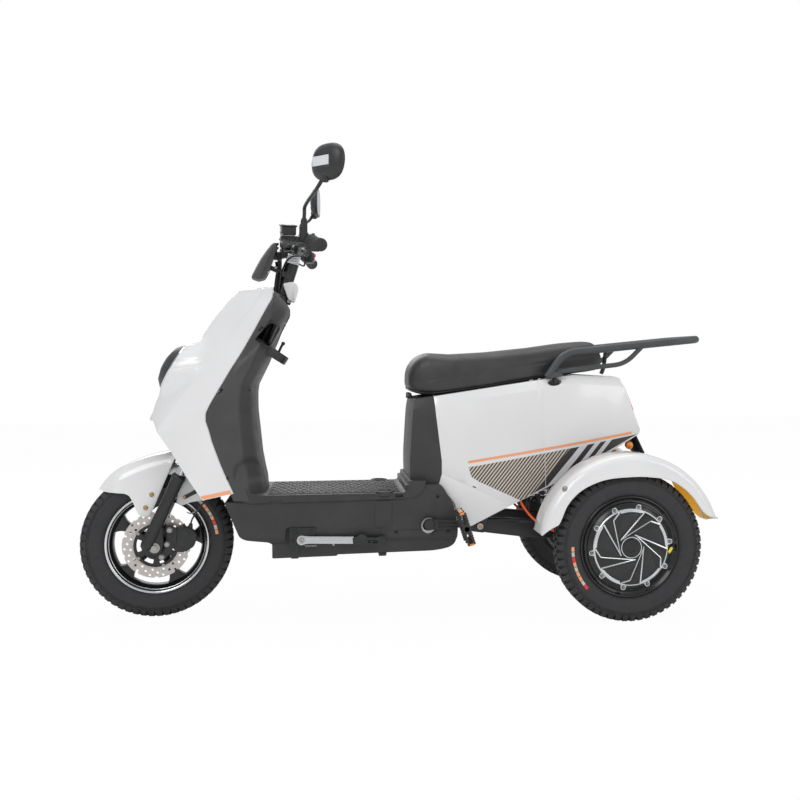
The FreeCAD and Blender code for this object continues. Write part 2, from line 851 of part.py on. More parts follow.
def shield_loops(inset):
    loops = []
    low, high = LEG_SHIELD[0][0], LEG_SHIELD[-1][0]
    for height in [level for level in FRONT_LEVELS if low <= level <= high]:
        side, corner, rear = row_at(LEG_SHIELD, height)
        seam = row_at(APRON, height)[-1]
        level = height - inset if height == high else height
        level = level - 1 if inset and height == low else level
        wide = seam_half(height) - inset
        half = [
            (seam - (40 if inset else 0), wide),
            (side - inset, wide - 4),
            (corner - inset, 112 - inset),
            (rear - inset, 84 - inset),
        ]
        loop = half + [(x, -y) for x, y in reversed(half)]
        loops.append([Vector(fx(x), y, level) for x, y in loop])
    return loops


POCKET = [(319, 829), (343, 813), (316, 760), (278, 779)]
POCKET_DEPTH = 74


def leg_shield():
    """Moulded back of the front body, with an open holder let into its left corner."""
    outer = loft(shield_loops(0))
    wall = dim.panel_wall
    holder = prism([(fx(319), 829 + wall), (fx(346 + wall), 813), (fx(316), 760 - wall), (fx(278 - wall), 779)],
                   POCKET_DEPTH * -1 - 91, -dim.apron_half_width + POCKET_DEPTH + 12)
    hollow = prism([(fx(x), z) for x, z in POCKET], -200, -dim.apron_half_width + POCKET_DEPTH + 12 - wall)
    shell = outer.cut(loft(shield_loops(wall))).fuse(holder.common(outer)).cut(hollow)
    shell = shell.cut(loft(apron_loops(0, 0.01)))
    shell = max(shell.Solids, key=lambda solid: solid.Volume)
    stem_hole = rod(Vector(axis_x(760), 0, 760), Vector(axis_x(1000), 0, 1000), dim.head_tube_radius + 6)
    return feature("leg_shield", shell.cut(stem_hole))


leg_shield()


def bag_hook():
    """Carry hook bolted to the back of the leg shield."""
    path = [Vector(fx(330), 0, 775), Vector(fx(346), 0, 770), Vector(fx(372), 0, 742),
            Vector(fx(360), 0, 716)]
    hook = tube_path(path, 6, 12)
    base = prism([(fx(327.2), 812), (fx(336), 812), (fx(334), 760), (fx(322), 760), (fx(318.3), 766)], -16, 16)
    return feature("bag_hook", fused([hook, base.cut(loft(shield_loops(0)))]).cut(loft(shield_loops(0))))


bag_hook()


# Floor and belly

def floor_board():
    body = new_body("floor_board")

    def deck(sketch):
        outline(sketch, [
            ("front_axle_x + floor_front", "-floor_half_width"),
            ("front_axle_x + wheelbase - floor_rear_reach", "-floor_half_width + 8"),
            ("front_axle_x + wheelbase - floor_rear_reach", "floor_half_width - 8"),
            ("front_axle_x + floor_front", "floor_half_width"),
        ])
    pad(body, "XY_Plane", "deck", "floor_thickness", deck, middle=False, offset="floor_height - floor_thickness")

    def notch(sketch):
        outline(sketch, [
            ("front_axle_x + floor_front - 5", "-26"),
            ("front_axle_x + 300", "-26"),
            ("front_axle_x + 300", "26"),
            ("front_axle_x + floor_front - 5", "26"),
        ])
    pocket(body, "XY_Plane", "down_tube_notch", "4 * floor_thickness", notch, offset="floor_height")
    doc.recompute()
    return finish_body(body, "floor_board")


floor_board()


def floor_mat():
    """Rubber mat with raised cross ribs, lying on the deck behind the leg shield."""
    body = new_body("floor_mat")

    def sheet_area(sketch):
        outline(sketch, [
            ("front_axle_x + 312", "-floor_half_width + 16"),
            ("front_axle_x + wheelbase - floor_rear_reach - 10", "-floor_half_width + 22"),
            ("front_axle_x + wheelbase - floor_rear_reach - 10", "floor_half_width - 22"),
            ("front_axle_x + 312", "floor_half_width - 16"),
        ])
    pad(body, "XY_Plane", "mat_base", "1.5", sheet_area, middle=False, offset="floor_height")

    def rib(sketch):
        outline(sketch, [
            ("front_axle_x + 322", "-floor_half_width + 28"),
            ("front_axle_x + 328", "-floor_half_width + 28"),
            ("front_axle_x + 328", "floor_half_width - 28"),
            ("front_axle_x + 322", "floor_half_width - 28"),
        ])
    bar = pad(body, "XY_Plane", "mat_rib", "1.5", rib, middle=False, offset="floor_height + 1.5")
    row = body.newObject("PartDesign::LinearPattern", "mat_ribs")
    row.Originals = [bar]
    axis = [item for item in body.Origin.OriginFeatures if item.Role == "X_Axis"][0]
    row.Direction = (axis, [""])
    row.setExpression("Length", formula("wheelbase - floor_rear_reach - 350"))
    row.Occurrences = 16
    body.Tip = row
    return finish_body(body, "floor_mat")


floor_mat()


BELLY_SIDE = [
    (186, 331), (231, 234), (244, 230), (310, 220), (323, 214), (323, 172), (499, 173), (781, 179),
    (817, 202), (835, 244), (829, 269), (823, 315), (781, 366), (684, 366), (684, 331),
]


def belly_cowl():
    """Open tub below the floor, its flanks drawn in towards the bottom."""
    wall = dim.panel_wall
    deck_under = dim.floor_height - dim.floor_thickness
    wide = dim.belly_half_width
    flank = [(-wide, 380), (-wide, 236), (18 - wide, 214), (26 - wide, 160),
             (wide - 26, 160), (wide - 18, 214), (wide, 236), (wide, 380)]
    inner_flank = [(wall - wide, 400), (wall - wide, 236 + wall), (18 + wall - wide, 214 + wall),
                   (26 + wall - wide, 160 + wall), (wide - 26 - wall, 160 + wall),
                   (wide - 18 - wall, 214 + wall), (wide - wall, 236 + wall), (wide - wall, 400)]
    outer = prism([(fx(x), z) for x, z in BELLY_SIDE], -200, 200)
    outer = outer.common(bar_along_x(flank, fx(100), fx(900)))
    floor = dim.belly_bottom + 8
    hollow_side = [(191, 380), (192, 331), (236, 238), (310, 224), (327, 219), (327, floor), (668, floor), (775, floor + 3),
                   (813, 205), (831, 244), (825, 268), (819, 313), (779, 361), (679, 361), (679, 380)]
    hollow = prism([(fx(x), z) for x, z in hollow_side], -200, 200)
    hollow = hollow.common(bar_along_x(inner_flank, fx(100), fx(900)))
    tub = outer.cut(hollow)
    crank_bore = Part.makeCylinder(22, 400, Vector(rx(-dim.crank_reach), -200, dim.crank_height), Vector(0, 1, 0))
    well = plate([(fx(700), -117.5), (fx(815), -117.5), (fx(815), 117.5), (fx(700), 117.5)], 340, 380)
    return feature("belly_cowl", tub.cut(crank_bore).cut(well))


belly_cowl()


def battery_pack():
    body = new_body("battery_pack")

    def block(sketch):
        outline(sketch, [
            ("front_axle_x + 352", "-104"),
            ("front_axle_x + wheelbase - floor_rear_reach - 20", "-104"),
            ("front_axle_x + wheelbase - floor_rear_reach - 20", "104"),
            ("front_axle_x + 352", "104"),
        ])
    pad(body, "XY_Plane", "battery_block", "118", block, middle=False, offset="belly_bottom + 8")
    return finish_body(body, "battery_pack")


battery_pack()


# Rear body

REAR_SECTIONS = [
    # X, top height, top half width, shoulder, waist, sill half widths
    (680, 606, 112, 124, 124, 116),
    (790, 622, 122, 134, 132, 124),
    (1000, 654, 130, 148, 146, 134),
    (1180, 680, 128, 146, 142, 130),
    (1320, 672, 108, 124, 120, 110),
    (1400, 640, 96, 108, 106, 98),
]
SHOULDER_DROP = 26
HINGE_RISE = 10.35
WAIST = 440
SILL = 230


def body_top(x):
    """Height of the rear body's top at an X drawn from the front axle."""
    return row_at(REAR_SECTIONS, x)[0]


def hinge_pin():
    """Middle of the seat's hinge pin, a little above the rear body."""
    x = dim.wheelbase - dim.hinge_reach
    drawn = REAR_SECTIONS[0][0] + rx(-dim.hinge_reach) - fx(REAR_SECTIONS[0][0])
    return Vector(dim.front_axle_x + x, 0, body_top(drawn) + HINGE_RISE)


def rear_loops(inset):
    loops = []
    for x, top, crown, shoulder, waist, sill in REAR_SECTIONS:
        half = [
            (crown - inset, top - inset),
            (shoulder - inset, top - SHOULDER_DROP - inset),
            (waist - inset, WAIST),
            (sill - inset, SILL - (1 if inset else 0)),
        ]
        loop = half + [(-y, z) for y, z in reversed(half)]
        loops.append([Vector(fx(x), y, z) for y, z in loop])
    return loops


def rear_outline(points, low=-220, high=220):
    """Prism over a side-view outline drawn from the front axle."""
    return prism([(fx(x), z) for x, z in points], low, high)


FRONT_REGION = [(687, 366), (684, 436), (698, 570), (704, 606), (706, 640), (772, 640), (773, 616), (778, 570),
                (795, 436), (795, 399), (786, 366)]
SIDE_REGION = [(773, 616), (773, 700), (1076, 700), (1076, 656), (1091, 494), (1094, 415), (1096, 353),
               (994, 306), (795, 399), (795, 436), (778, 570)]
LOWER_REGION = [(787, 366), (795, 399), (994, 306), (925, 271), (878, 247), (838, 290), (834, 313), (793, 366)]
TAIL_REGION = [(1076, 656), (1076, 700), (1318, 700), (1318, 662), (1333, 639), (1360, 569), (1381, 516),
               (1378, 505), (1293, 453), (1096, 353), (1094, 415), (1091, 494)]
TAIL_HOLLOW = [(1050, 648), (1100, 661), (1310, 672), (1314, 660), (1328, 637), (1355, 567), (1375, 516),
               (1366, 500), (1290, 440), (1090, 330), (1050, 400)]


def rear_body():
    wall = dim.panel_wall
    outer = loft(rear_loops(0))
    inner = loft(rear_loops(wall))
    top_open = rear_outline([(782, 560), (782, 720), (1160, 720), (1160, 560)], -106, 106)
    shell = outer.cut(inner).cut(top_open)
    front_solid = outer.common(rear_outline(FRONT_REGION))
    front_hollow = inner.common(rear_outline([(690, 340), (688, 436), (702, 570), (708, 630), (830, 660),
                                              (830, 340)]))
    front = front_solid.cut(front_hollow).cut(top_open)
    feature("seat_box_front", front)
    side_strip = shell.common(rear_outline(SIDE_REGION))
    lower = shell.common(rear_outline(LOWER_REGION))
    left = Part.makeBox(3000, 300, 1200, Vector(-1500, -300, 0))
    right = Part.makeBox(3000, 300, 1200, Vector(-1500, 0, 0))
    for name, half in (("left", left), ("right", right)):
        feature(f"side_panel_{name}", side_strip.common(half))
    feature("lower_panels", Part.makeCompound([lower.common(left), lower.common(right)]))
    tail = outer.common(rear_outline(TAIL_REGION)).cut(inner.common(rear_outline(TAIL_HOLLOW))).cut(top_open)
    lamp = tail.common(rear_outline([(1300, 632), (1400, 632), (1400, 572), (1300, 572)], -69.7, 69.7))
    window = rear_outline([(1300, 632.3), (1400, 632.3), (1400, 571.7), (1300, 571.7)], -70, 70)
    feature("tail_lamp", lamp)
    for side in (-1, 1):
        foot = Vector(rx(-190), side * dim.rack_half_width, dim.rack_foot - 30)
        tail = tail.cut(rod(foot, foot + Vector(3, 0, 100), dim.rack_radius + 3))
    feature("tail_panel", tail.cut(window))
    return outer


REAR_SHAPE = rear_body()


def storage_bucket():
    """Open bucket under the seat, hung by its rim between the side panels."""
    front, rear = fx(812), rx(-159)
    floor = 444.1
    rim = 604
    body = Part.makeBox(rear - front, 200, rim - floor, Vector(front, -100, floor))
    corner = [edge for edge in body.Edges if abs(edge.Vertexes[0].Z - edge.Vertexes[-1].Z) > 100]
    body = body.makeFillet(24, corner)
    hollow = Part.makeBox(rear - front - 6, 194, rim - floor, Vector(front + 3, -97, floor + 3))
    corner = [edge for edge in hollow.Edges if abs(edge.Vertexes[0].Z - edge.Vertexes[-1].Z) > 100]
    hollow = hollow.makeFillet(21, corner)
    flange = Part.makeBox(rear - front + 12, 208, 4, Vector(front - 6, -104, rim - 4))
    return feature("storage_bucket", body.fuse(flange).cut(hollow))


storage_bucket()


# Main frame

def main_frame():
    """Head tube, down tube, floor rails, seat rails and the pivot plates."""
    rail_z = dim.floor_height - dim.floor_thickness - dim.rail_radius - 0.2
    wide = dim.rail_half_width
    radius = dim.rail_radius
    low = Vector(axis_x(dim.head_tube_low), 0, dim.head_tube_low)
    high = Vector(axis_x(dim.head_tube_high), 0, dim.head_tube_high)
    pieces = [rod(low, high, dim.head_tube_radius)]
    down = tube_path([Vector(axis_x(640), 0, 640), Vector(fx(232), 0, 470), Vector(fx(238), 0, rail_z - 8),
                      Vector(fx(312), 0, rail_z - 10)], 18, 40)
    pieces.append(down)
    pieces.append(rod(Vector(fx(318), -wide, rail_z), Vector(fx(318), wide, rail_z), radius))
    for side in (-1, 1):
        y = side * wide
        rail = tube_path([Vector(fx(318), y, rail_z), Vector(fx(718), y, rail_z), Vector(fx(790), y, 424),
                          Vector(rx(-160), y, 432)], radius, 60)
        pieces.append(rail)
        pieces.append(rod(Vector(rx(-164), y, 432), Vector(rx(20), side * 92, 446), radius - 2))
        post = side * (dim.rail_half_width + 12)
        pieces.append(rod(Vector(rx(-190), post, 430), Vector(rx(-190), post, 638), 7))
        pieces.append(Part.makeBox(30, 34, 4, Vector(rx(-190) - 15, min(post - side * 7, post + side * 27),
                                                     dim.rack_foot - 4)))
        pieces.append(rod(Vector(rx(-190), y, 432), Vector(rx(-190), post, 432), 9))
        pieces.append(prism([(rx(-dim.crank_reach) - 30, dim.crank_height + 10), (rx(-dim.crank_reach) - 10, 410),
                             (rx(-dim.crank_reach) + 34, 430), (rx(-dim.crank_reach) + 18, dim.crank_height)],
                            min(y - 4, y + 4), max(y - 4, y + 4)))
        pieces.append(prism([
            (rx(-dim.pivot_reach) - 30, dim.pivot_height - 14),
            (rx(-dim.pivot_reach) + 10, dim.pivot_height - 20),
            (rx(-dim.pivot_reach) + 34, dim.pivot_height + 60),
            (rx(-dim.pivot_reach) + 40, 425),
            (rx(-dim.pivot_reach) - 60, 425),
            (rx(-dim.pivot_reach) - 50, dim.pivot_height + 60),
        ], side * 113 - 4, side * 113 + 4))
    for x, z in ((fx(690), rail_z), (fx(830), 434), (rx(-170), 434)):
        pieces.append(rod(Vector(x, -wide, z), Vector(x, wide, z), radius - 2))
    pieces.append(rod(Vector(rx(10), -93, 446), Vector(rx(10), 93, 446), radius - 2))
    pieces.append(rod(Vector(rx(-dim.crank_reach), -112, dim.crank_height),
                      Vector(rx(-dim.crank_reach), 112, dim.crank_height), 20))
    shell = pieces[0].multiFuse(pieces[1:])
    bore = rod(Vector(axis_x(500), 0, 500), Vector(axis_x(920), 0, 920), dim.steerer_radius + dim.running_gap)
    pivot = Part.makeCylinder(8, 400, Vector(rx(-dim.pivot_reach), -200, dim.pivot_height), Vector(0, 1, 0))
    hub = Part.makeCylinder(9 + dim.running_gap, 300, Vector(rx(-dim.crank_reach), -150, dim.crank_height),
                            Vector(0, 1, 0))
    return feature("main_frame", shell.cut(bore).cut(pivot).cut(hub))


FRAME_SHAPE = main_frame().Shape


def swing_arm():
    """Two trailing arms on the pivot bolt, carrying the transverse axle beam."""
    pivot = Vector(rx(-dim.pivot_reach), 0, dim.pivot_height)
    axle = Vector(rx(0), 0, dim.wheel_radius)
    pieces = [rod(pivot - Vector(0, 124, 0), pivot + Vector(0, 124, 0), 7.9)]
    for side in (-1, 1):
        y = side * dim.arm_half_width
        arm = prism([
            (pivot.x - 18, pivot.z + 4),
            (pivot.x - 4, pivot.z + 20),
            (pivot.x + 90, pivot.z + 18),
            (axle.x + 10, axle.z + 24),
            (axle.x + 10, axle.z - 20),
            (pivot.x + 120, pivot.z - 36),
            (pivot.x - 6, pivot.z - 18),
        ], y - 11, y + 11)
        pieces.append(arm)
        pieces.append(rod(axle + Vector(0, side * 200, 0), axle + Vector(0, side * 262, 0), dim.axle_radius))
        pieces.append(rod(pivot + Vector(0, side * 118, 0), pivot + Vector(0, side * 126, 0), 13))
        lug = [(rx(-206), 240), (rx(-204), 284), (rx(-172), 284), (rx(-160), 236)]
        pieces.append(prism(lug, min(side * 90, side * 116), max(side * 90, side * 116)))
    pieces.append(rod(axle - Vector(0, 212, 0), axle + Vector(0, 212, 0), 22))
    return feature("swing_arm", fused(pieces))


ARM_SHAPE = swing_arm().Shape


def shock(side):
    """Coil-over damper between the arm and the seat rail."""
    low = Vector(rx(-188), side * 104, 285)
    high = Vector(rx(-196), side * 104, 418)
    spring_low = low + (high - low) * 0.25
    spring_high = low + (high - low) * 0.86
    pieces = [rod(low, high, 7), rod(spring_low, spring_high, 17)]
    for share in (0.25, 0.86):
        seat = low + (high - low) * share
        pieces.append(rod(seat, seat + (high - low).normalize() * 4, 21))
    pieces.append(ball(high, 9))
    return fused(pieces)


feature("rear_shocks", Part.makeCompound([shock(side).cut(FRAME_SHAPE) for side in SIDES]))


# Rear fenders

def fender_section(y_in, y_out, side):
    """Channel outline (radius, Y) of a rear fender, open towards the wheel."""
    outer = dim.fender_radius
    wall = dim.fender_wall
    return [
        (194, y_out),
        (outer - 16, y_out),
        (outer, y_out - side * 14),
        (outer - 1, y_in),
        (outer - 1 - wall, y_in),
        (outer - wall, y_out - side * 15),
        (outer - 17, y_out - side * wall),
        (194, y_out - side * wall),
    ]


def rear_fender(side):
    middle = side * dim.track / 2
    y_out = middle + side * dim.fender_width / 2
    y_in = middle - side * dim.fender_width / 2
    corners = [Vector(radius, y, 0) for radius, y in fender_section(y_in, y_out, side)]
    face = Part.Face(Part.makePolygon(corners + corners[:1]))
    face.rotate(Vector(0, 0, 0), Vector(0, 1, 0), -17)
    arch = face.revolve(Vector(0, 0, 0), Vector(0, 1, 0), -153)
    arch.translate(Vector(rx(0), 0, dim.wheel_radius))
    hem = Part.makeCylinder(dim.fender_radius + 2, 300, Vector(rx(0), middle - 150, dim.wheel_radius - 65),
                            Vector(0, 1, 0))
    core = Part.makeCylinder(dim.fender_radius - dim.fender_wall - 20, 300,
                             Vector(rx(0), middle - 150, dim.wheel_radius), Vector(0, 1, 0))
    return arch.cut(hem.common(core))


def fender_stay(side):
    """Plate and tube that carry one rear fender on the frame's tail."""
    y_in = side * (dim.track - dim.fender_width) / 2
    top = dim.wheel_radius + dim.fender_radius - 1 - dim.fender_wall - 7
    reach = Vector(rx(10), side * 60, 446)
    middle = Vector(rx(10), y_in - side * 20, 446)
    knee = Vector(rx(10), y_in + side * 6, top)
    far = Vector(rx(10), y_in + side * 60, top)
    return tube_path([reach, middle, knee, far], 6.5, 20).cut(FRAME_SHAPE)


for side, name in ((-1, "left"), (1, "right")):
    feature(f"rear_fender_{name}", rear_fender(side))
feature("fender_stays", Part.makeCompound([fender_stay(side) for side in SIDES]))


# Tail bracket and motor leads

def plate_bracket():
    """Bracket under the tail with its blank plate and two indicator lamps."""
    pieces = [prism([(fx(1340), 481.2), (fx(1376), 503.2), (fx(1384), 500), (fx(1412), 443), (fx(1406), 440),
                     (fx(1376), 494), (fx(1343), 474)], -30, 30)]
    pieces.append(prism([(fx(1383), 499), (fx(1388.5), 501), (fx(1416), 444), (fx(1410.5), 442)], -75, 75))
    pieces.append(rod(Vector(fx(1360), -95, 484), Vector(fx(1360), 95, 484), 4))
    for side in SIDES:
        pieces.append(rod(Vector(fx(1357), side * 92, 471), Vector(fx(1357), side * 112, 471), 11))
    return feature("plate_bracket", fused(pieces))


plate_bracket()

# One motor lead: X from the front axle, distance from the middle, height.
LEAD = [(1000, 115.5, 432), (1001, 126, 424), (1008, 129, 380), (1020, 129.5, 318), (1053, 132, 271),
        (1088, 137, 243), (1130, 142, 226), (1190, 152, 222), (1250, 176, 228), (1290, 201, 229)]


def motor_cable(name, side):
    """Sheathed lead that hangs from the frame rail to the end of the axle beam."""
    route = [Vector(fx(x), side * y, z) for x, y, z in LEAD]
    return feature(name, tube_path(route, dim.lead_radius, 16).cut(FRAME_SHAPE).cut(ARM_SHAPE))


motor_cable("motor_cable_left", -1)
motor_cable("motor_cable_right", 1)


# Rack

def rear_rack():
    """Rear grab rail and carrier bent from one tube, with lower braces."""
    wide = dim.rack_half_width
    near = [
        Vector(rx(-190), -wide, dim.rack_foot), Vector(rx(-190), -wide, 672), Vector(rx(-152), -wide, 734),
        Vector(rx(-118), -wide, 748), Vector(rx(258), -wide, 784),
    ]
    far = [Vector(p.x, -p.y, p.z) for p in reversed(near)]
    loop = tube_path(near + far, dim.rack_radius, 42)
    pieces = [loop]
    for side in (-1, 1):
        brace = tube_path([Vector(rx(-184), side * wide, 682), Vector(rx(-150), side * wide, 692),
                           Vector(rx(36), side * wide, 713), Vector(rx(90), side * wide, 766)], 7, 24)
        pieces.append(brace)
    for x in (40, 150):
        z = 748 + (x + 118) * 36 / 376
        pieces.append(rod(Vector(rx(x), -wide, z), Vector(rx(x), wide, z), 8))
    return feature("rear_rack", fused(pieces))


rear_rack()


# Seat

SEAT_SECTIONS = [
    # X, underside, top, half width, shoulder drop
    (694, 644, 690, 74, 26),
    (712, 634, 722, 92, 34),
    (750, 628, 742, 108, 36),
    (820, 636, 738, 122, 36),
    (925, 650, 744, 124, 34),
    (1060, 672, 758, 116, 34),
    (1150, 686, 771, 106, 34),
    (1242, 697, 779, 98, 32),
    (1262, 701, 762, 90, 24),
    (1272, 706, 738, 80, 12),
]


def seat_loops(part):
    loops = []
    for x, low, high, wide, drop in SEAT_SECTIONS:
        if part == "cushion":
            half = [(wide - 34, high), (wide - 8, high - drop * 0.4), (wide, high - drop), (wide, low + 9),
                    (wide - 6, low + 8)]
        else:
            half = [(wide - 6, low + 7.8), (wide - 8, low)]
        loop = half + [(-y, z) for y, z in reversed(half)]
        loops.append([Vector(fx(x), y, z) for y, z in loop])
    return loops


def seat_base():
    """Seat pan with its hinge lugs in front and two buffers at the back."""
    pin = hinge_pin()
    pan = loft(seat_loops("base"))
    pieces = [pan]
    for side in (-1, 1):
        low, high = min(side * 34, side * 44), max(side * 34, side * 44)
        pieces.append(Part.makeCylinder(8, high - low, Vector(pin.x, low, pin.z), Vector(0, 1, 0)))
        pieces.append(prism([(pin.x - 8, pin.z), (pin.x + 8, pin.z), (pin.x + 16, pin.z + 18),
                             (pin.x - 8, pin.z + 18)], low, high))
        buffer = rod(Vector(rx(-84), side * 60, 650), Vector(rx(-84), side * 60, 700), 9)
        top = REAR_SHAPE.copy()
        top.translate(Vector(0, 0, 0.3))
        pieces.append(buffer.cut(top))
    bore = Part.makeCylinder(4 + dim.running_gap, 120, pin - Vector(0, 60, 0), Vector(0, 1, 0))
    return feature("seat_base", fused(pieces).cut(bore))


def seat_hinge():
    """Two ears and the pin on top of the seat box."""
    pin = hinge_pin()
    pieces = [Part.makeCylinder(4, 100, pin - Vector(0, 50, 0), Vector(0, 1, 0))]
    for side in (-1, 1):
        low, high = min(side * 20, side * 30), max(side * 20, side * 30)
        pieces.append(prism([(pin.x - 6, pin.z - 20), (pin.x + 14, pin.z - 20), (pin.x + 5, pin.z + 6),
                             (pin.x - 5, pin.z + 6)], low, high))
    return feature("seat_hinge", fused(pieces).cut(REAR_SHAPE))


seat_base()
seat_hinge()
feature("seat_cushion", loft(seat_loops("cushion")))


# Crank, pedals and stand

def crank_set():
    """Spindle and two opposite arms, the left one pointing to the rear."""
    hub = Vector(rx(-dim.crank_reach), 0, dim.crank_height)
    wide = dim.crank_half_width
    pieces = [rod(hub - Vector(0, wide + 14, 0), hub + Vector(0, wide + 14, 0), 9)]
    for side in (-1, 1):
        direction = -side
        end = hub + Vector(direction * dim.crank_throw, side * (wide + 18), 0)
        root = hub + Vector(0, side * (wide + 10), 0)
        arm = prism([
            (root.x, root.z - 16),
            (root.x + direction * 20, root.z - 13),
            (end.x, end.z - 11),
            (end.x + direction * 12, end.z),
            (end.x, end.z + 11),
            (root.x + direction * 20, root.z + 13),
            (root.x, root.z + 16),
            (root.x - direction * 14, root.z),
        ], min(side * (wide + 4), side * (wide + 17)), max(side * (wide + 4), side * (wide + 17)))
        pieces.append(arm)
        pin_start = Vector(end.x, side * (wide + 10), end.z)
        pin_end = Vector(end.x, side * (wide + 10 + dim.pedal_length), end.z)
        pieces.append(rod(pin_start, pin_end, 6))
    return feature("crank_set", fused(pieces))


def pedal(side):
    hub = Vector(rx(-dim.crank_reach), 0, dim.crank_height)
    x = hub.x - side * dim.crank_throw
    inner = side * (dim.crank_half_width + 20)
    outer = side * (dim.crank_half_width + 20 + dim.pedal_length)
    low, high = min(inner, outer), max(inner, outer)
    block = prism([(x - 46, hub.z - 10), (x + 46, hub.z - 10), (x + 46, hub.z + 10), (x - 46, hub.z + 10)],
                  low, high)
    slots = [prism([(x + sign * 20 - 10, hub.z - 20), (x + sign * 20 + 10, hub.z - 20),
                    (x + sign * 20 + 10, hub.z + 20), (x + sign * 20 - 10, hub.z + 20)], low + 12, high - 12)
             for sign in (-1, 1)]
    bore = Part.makeCylinder(6 + dim.running_gap, dim.pedal_length - 9 + 20,
                             Vector(x, low - 20 if side > 0 else low + 10, hub.z), Vector(0, 1, 0))
    block = block.cut(slots[0]).cut(slots[1]).cut(bore)
    block.rotate(Vector(x, 0, hub.z), Vector(0, 1, 0), -72)
    return block


crank_set()
feature("pedal_left", pedal(-1))
feature("pedal_right", pedal(1))


def side_stand():
    """Folded prop stand along the left sill, with its rubber foot."""
    body = new_body("side_stand")

    def leg(sketch):
        outline(sketch, [
            ("-12", "-8"),
            ("0", "-13"),
            ("14", "-9"),
            ("stand_length - 90", "-7"),
            ("stand_length - 86", "-20"),
            ("stand_length", "-22"),
            ("stand_length - 6", "-2"),
            ("stand_length - 90", "7"),
            ("14", "10"),
            ("0", "13"),
            ("-12", "8"),
        ])
    pad(body, "XZ_Plane", "stand_leg", "16", leg)

    def eye(sketch):
        circle(sketch, "0", "0", "5 + running_gap")
    pocket(body, "XZ_Plane", "stand_eye", "30", eye)
    place(body, "front_axle_x + stand_x", "-belly_half_width - 11", "stand_height")
    return finish_body(body, "side_stand")


def stand_bracket():
    """Plate on the belly's flank with the pin that the stand turns on."""
    flank = -dim.belly_half_width
    centre = Vector(fx(dim.stand_x), 0, dim.stand_height)
    plate_shape = prism([(centre.x - 34, centre.z + 40), (centre.x + 24, centre.z + 40),
                         (centre.x + 16, centre.z + 9), (centre.x - 30, centre.z + 9)], flank - 2.7, flank)
    drop = prism([(centre.x - 16, centre.z + 12), (centre.x + 16, centre.z + 12), (centre.x + 10, centre.z - 10),
                  (centre.x - 10, centre.z - 10)], flank - 2.7, flank)
    pin = Part.makeCylinder(5, 22, Vector(centre.x, flank - 21.7, centre.z), Vector(0, 1, 0))
    head = Part.makeCylinder(9, 2.5, Vector(centre.x, flank - 22.5, centre.z), Vector(0, 1, 0))
    return feature("stand_bracket", fused([plate_shape, drop, pin, head]))


side_stand()
stand_bracket()


# Write the parts

doc.recompute()
os.makedirs("parts", exist_ok=True)
for obj in doc.Objects:
    if "Invalid" in obj.State or "Error" in obj.State:
        raise RuntimeError(f"{obj.Label} did not compute")
for obj in parts:
    shape = obj.Shape
    if shape.isNull() or not shape.isValid():
        raise RuntimeError(f"{obj.Label} has no valid shape")
for obj in parts:
    obj.Shape.exportStep(f"parts/{obj.Label}.step")
    print(obj.Label, len(obj.Shape.Solids), round(obj.Shape.Volume / 1000, 1))
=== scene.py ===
import math
from contextlib import contextmanager

import bmesh
import bpy
from mathutils import Matrix, Vector
from mathutils.bvhtree import BVHTree


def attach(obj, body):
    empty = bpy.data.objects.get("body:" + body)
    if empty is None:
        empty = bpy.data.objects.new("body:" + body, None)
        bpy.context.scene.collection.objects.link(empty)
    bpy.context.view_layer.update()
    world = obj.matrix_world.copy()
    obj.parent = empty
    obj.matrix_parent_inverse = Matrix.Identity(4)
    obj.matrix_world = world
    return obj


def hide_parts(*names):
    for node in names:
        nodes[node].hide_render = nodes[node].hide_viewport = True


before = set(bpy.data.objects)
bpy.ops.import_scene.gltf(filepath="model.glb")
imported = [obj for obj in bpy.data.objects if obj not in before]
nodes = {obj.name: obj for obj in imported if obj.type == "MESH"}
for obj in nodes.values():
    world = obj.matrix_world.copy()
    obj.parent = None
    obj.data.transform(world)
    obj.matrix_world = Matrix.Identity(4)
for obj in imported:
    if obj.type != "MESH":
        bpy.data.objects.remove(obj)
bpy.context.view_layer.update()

# Tables are in millimetres: X from the front axle to the rear, Y to the rider's right, Z from the ground.
FRONT_AXLE = -680.1
WHEELBASE = 1299
TRACK = 533
WHEEL_RADIUS = 207.5
RAKE = math.radians(24.3)
FORK_OFFSET = 31
STEER_REST = math.radians(2.7)
SIDES = (-1, 1)
HANDS = ((-1, "left"), (1, "right"))
STEERED_BODIES = ("steering", "front_wheel")


def at(x, y, z):
    """Point of the part's frame, in metres, from a table's numbers."""
    return Vector((FRONT_AXLE + x, y, z)) / 1000


def axis_x(height):
    """X of the steering axis at a height, from the front axle."""
    return FORK_OFFSET + (height - WHEEL_RADIUS) * math.tan(RAKE)


STEER_FOOT = at(FORK_OFFSET, 0, WHEEL_RADIUS)
STEER_AXIS = Vector((math.sin(RAKE), 0, math.cos(RAKE)))
STEER = (Matrix.Translation(STEER_FOOT) @ Matrix.Rotation(STEER_REST, 4, STEER_AXIS)
         @ Matrix.Translation(-STEER_FOOT))


# Materials

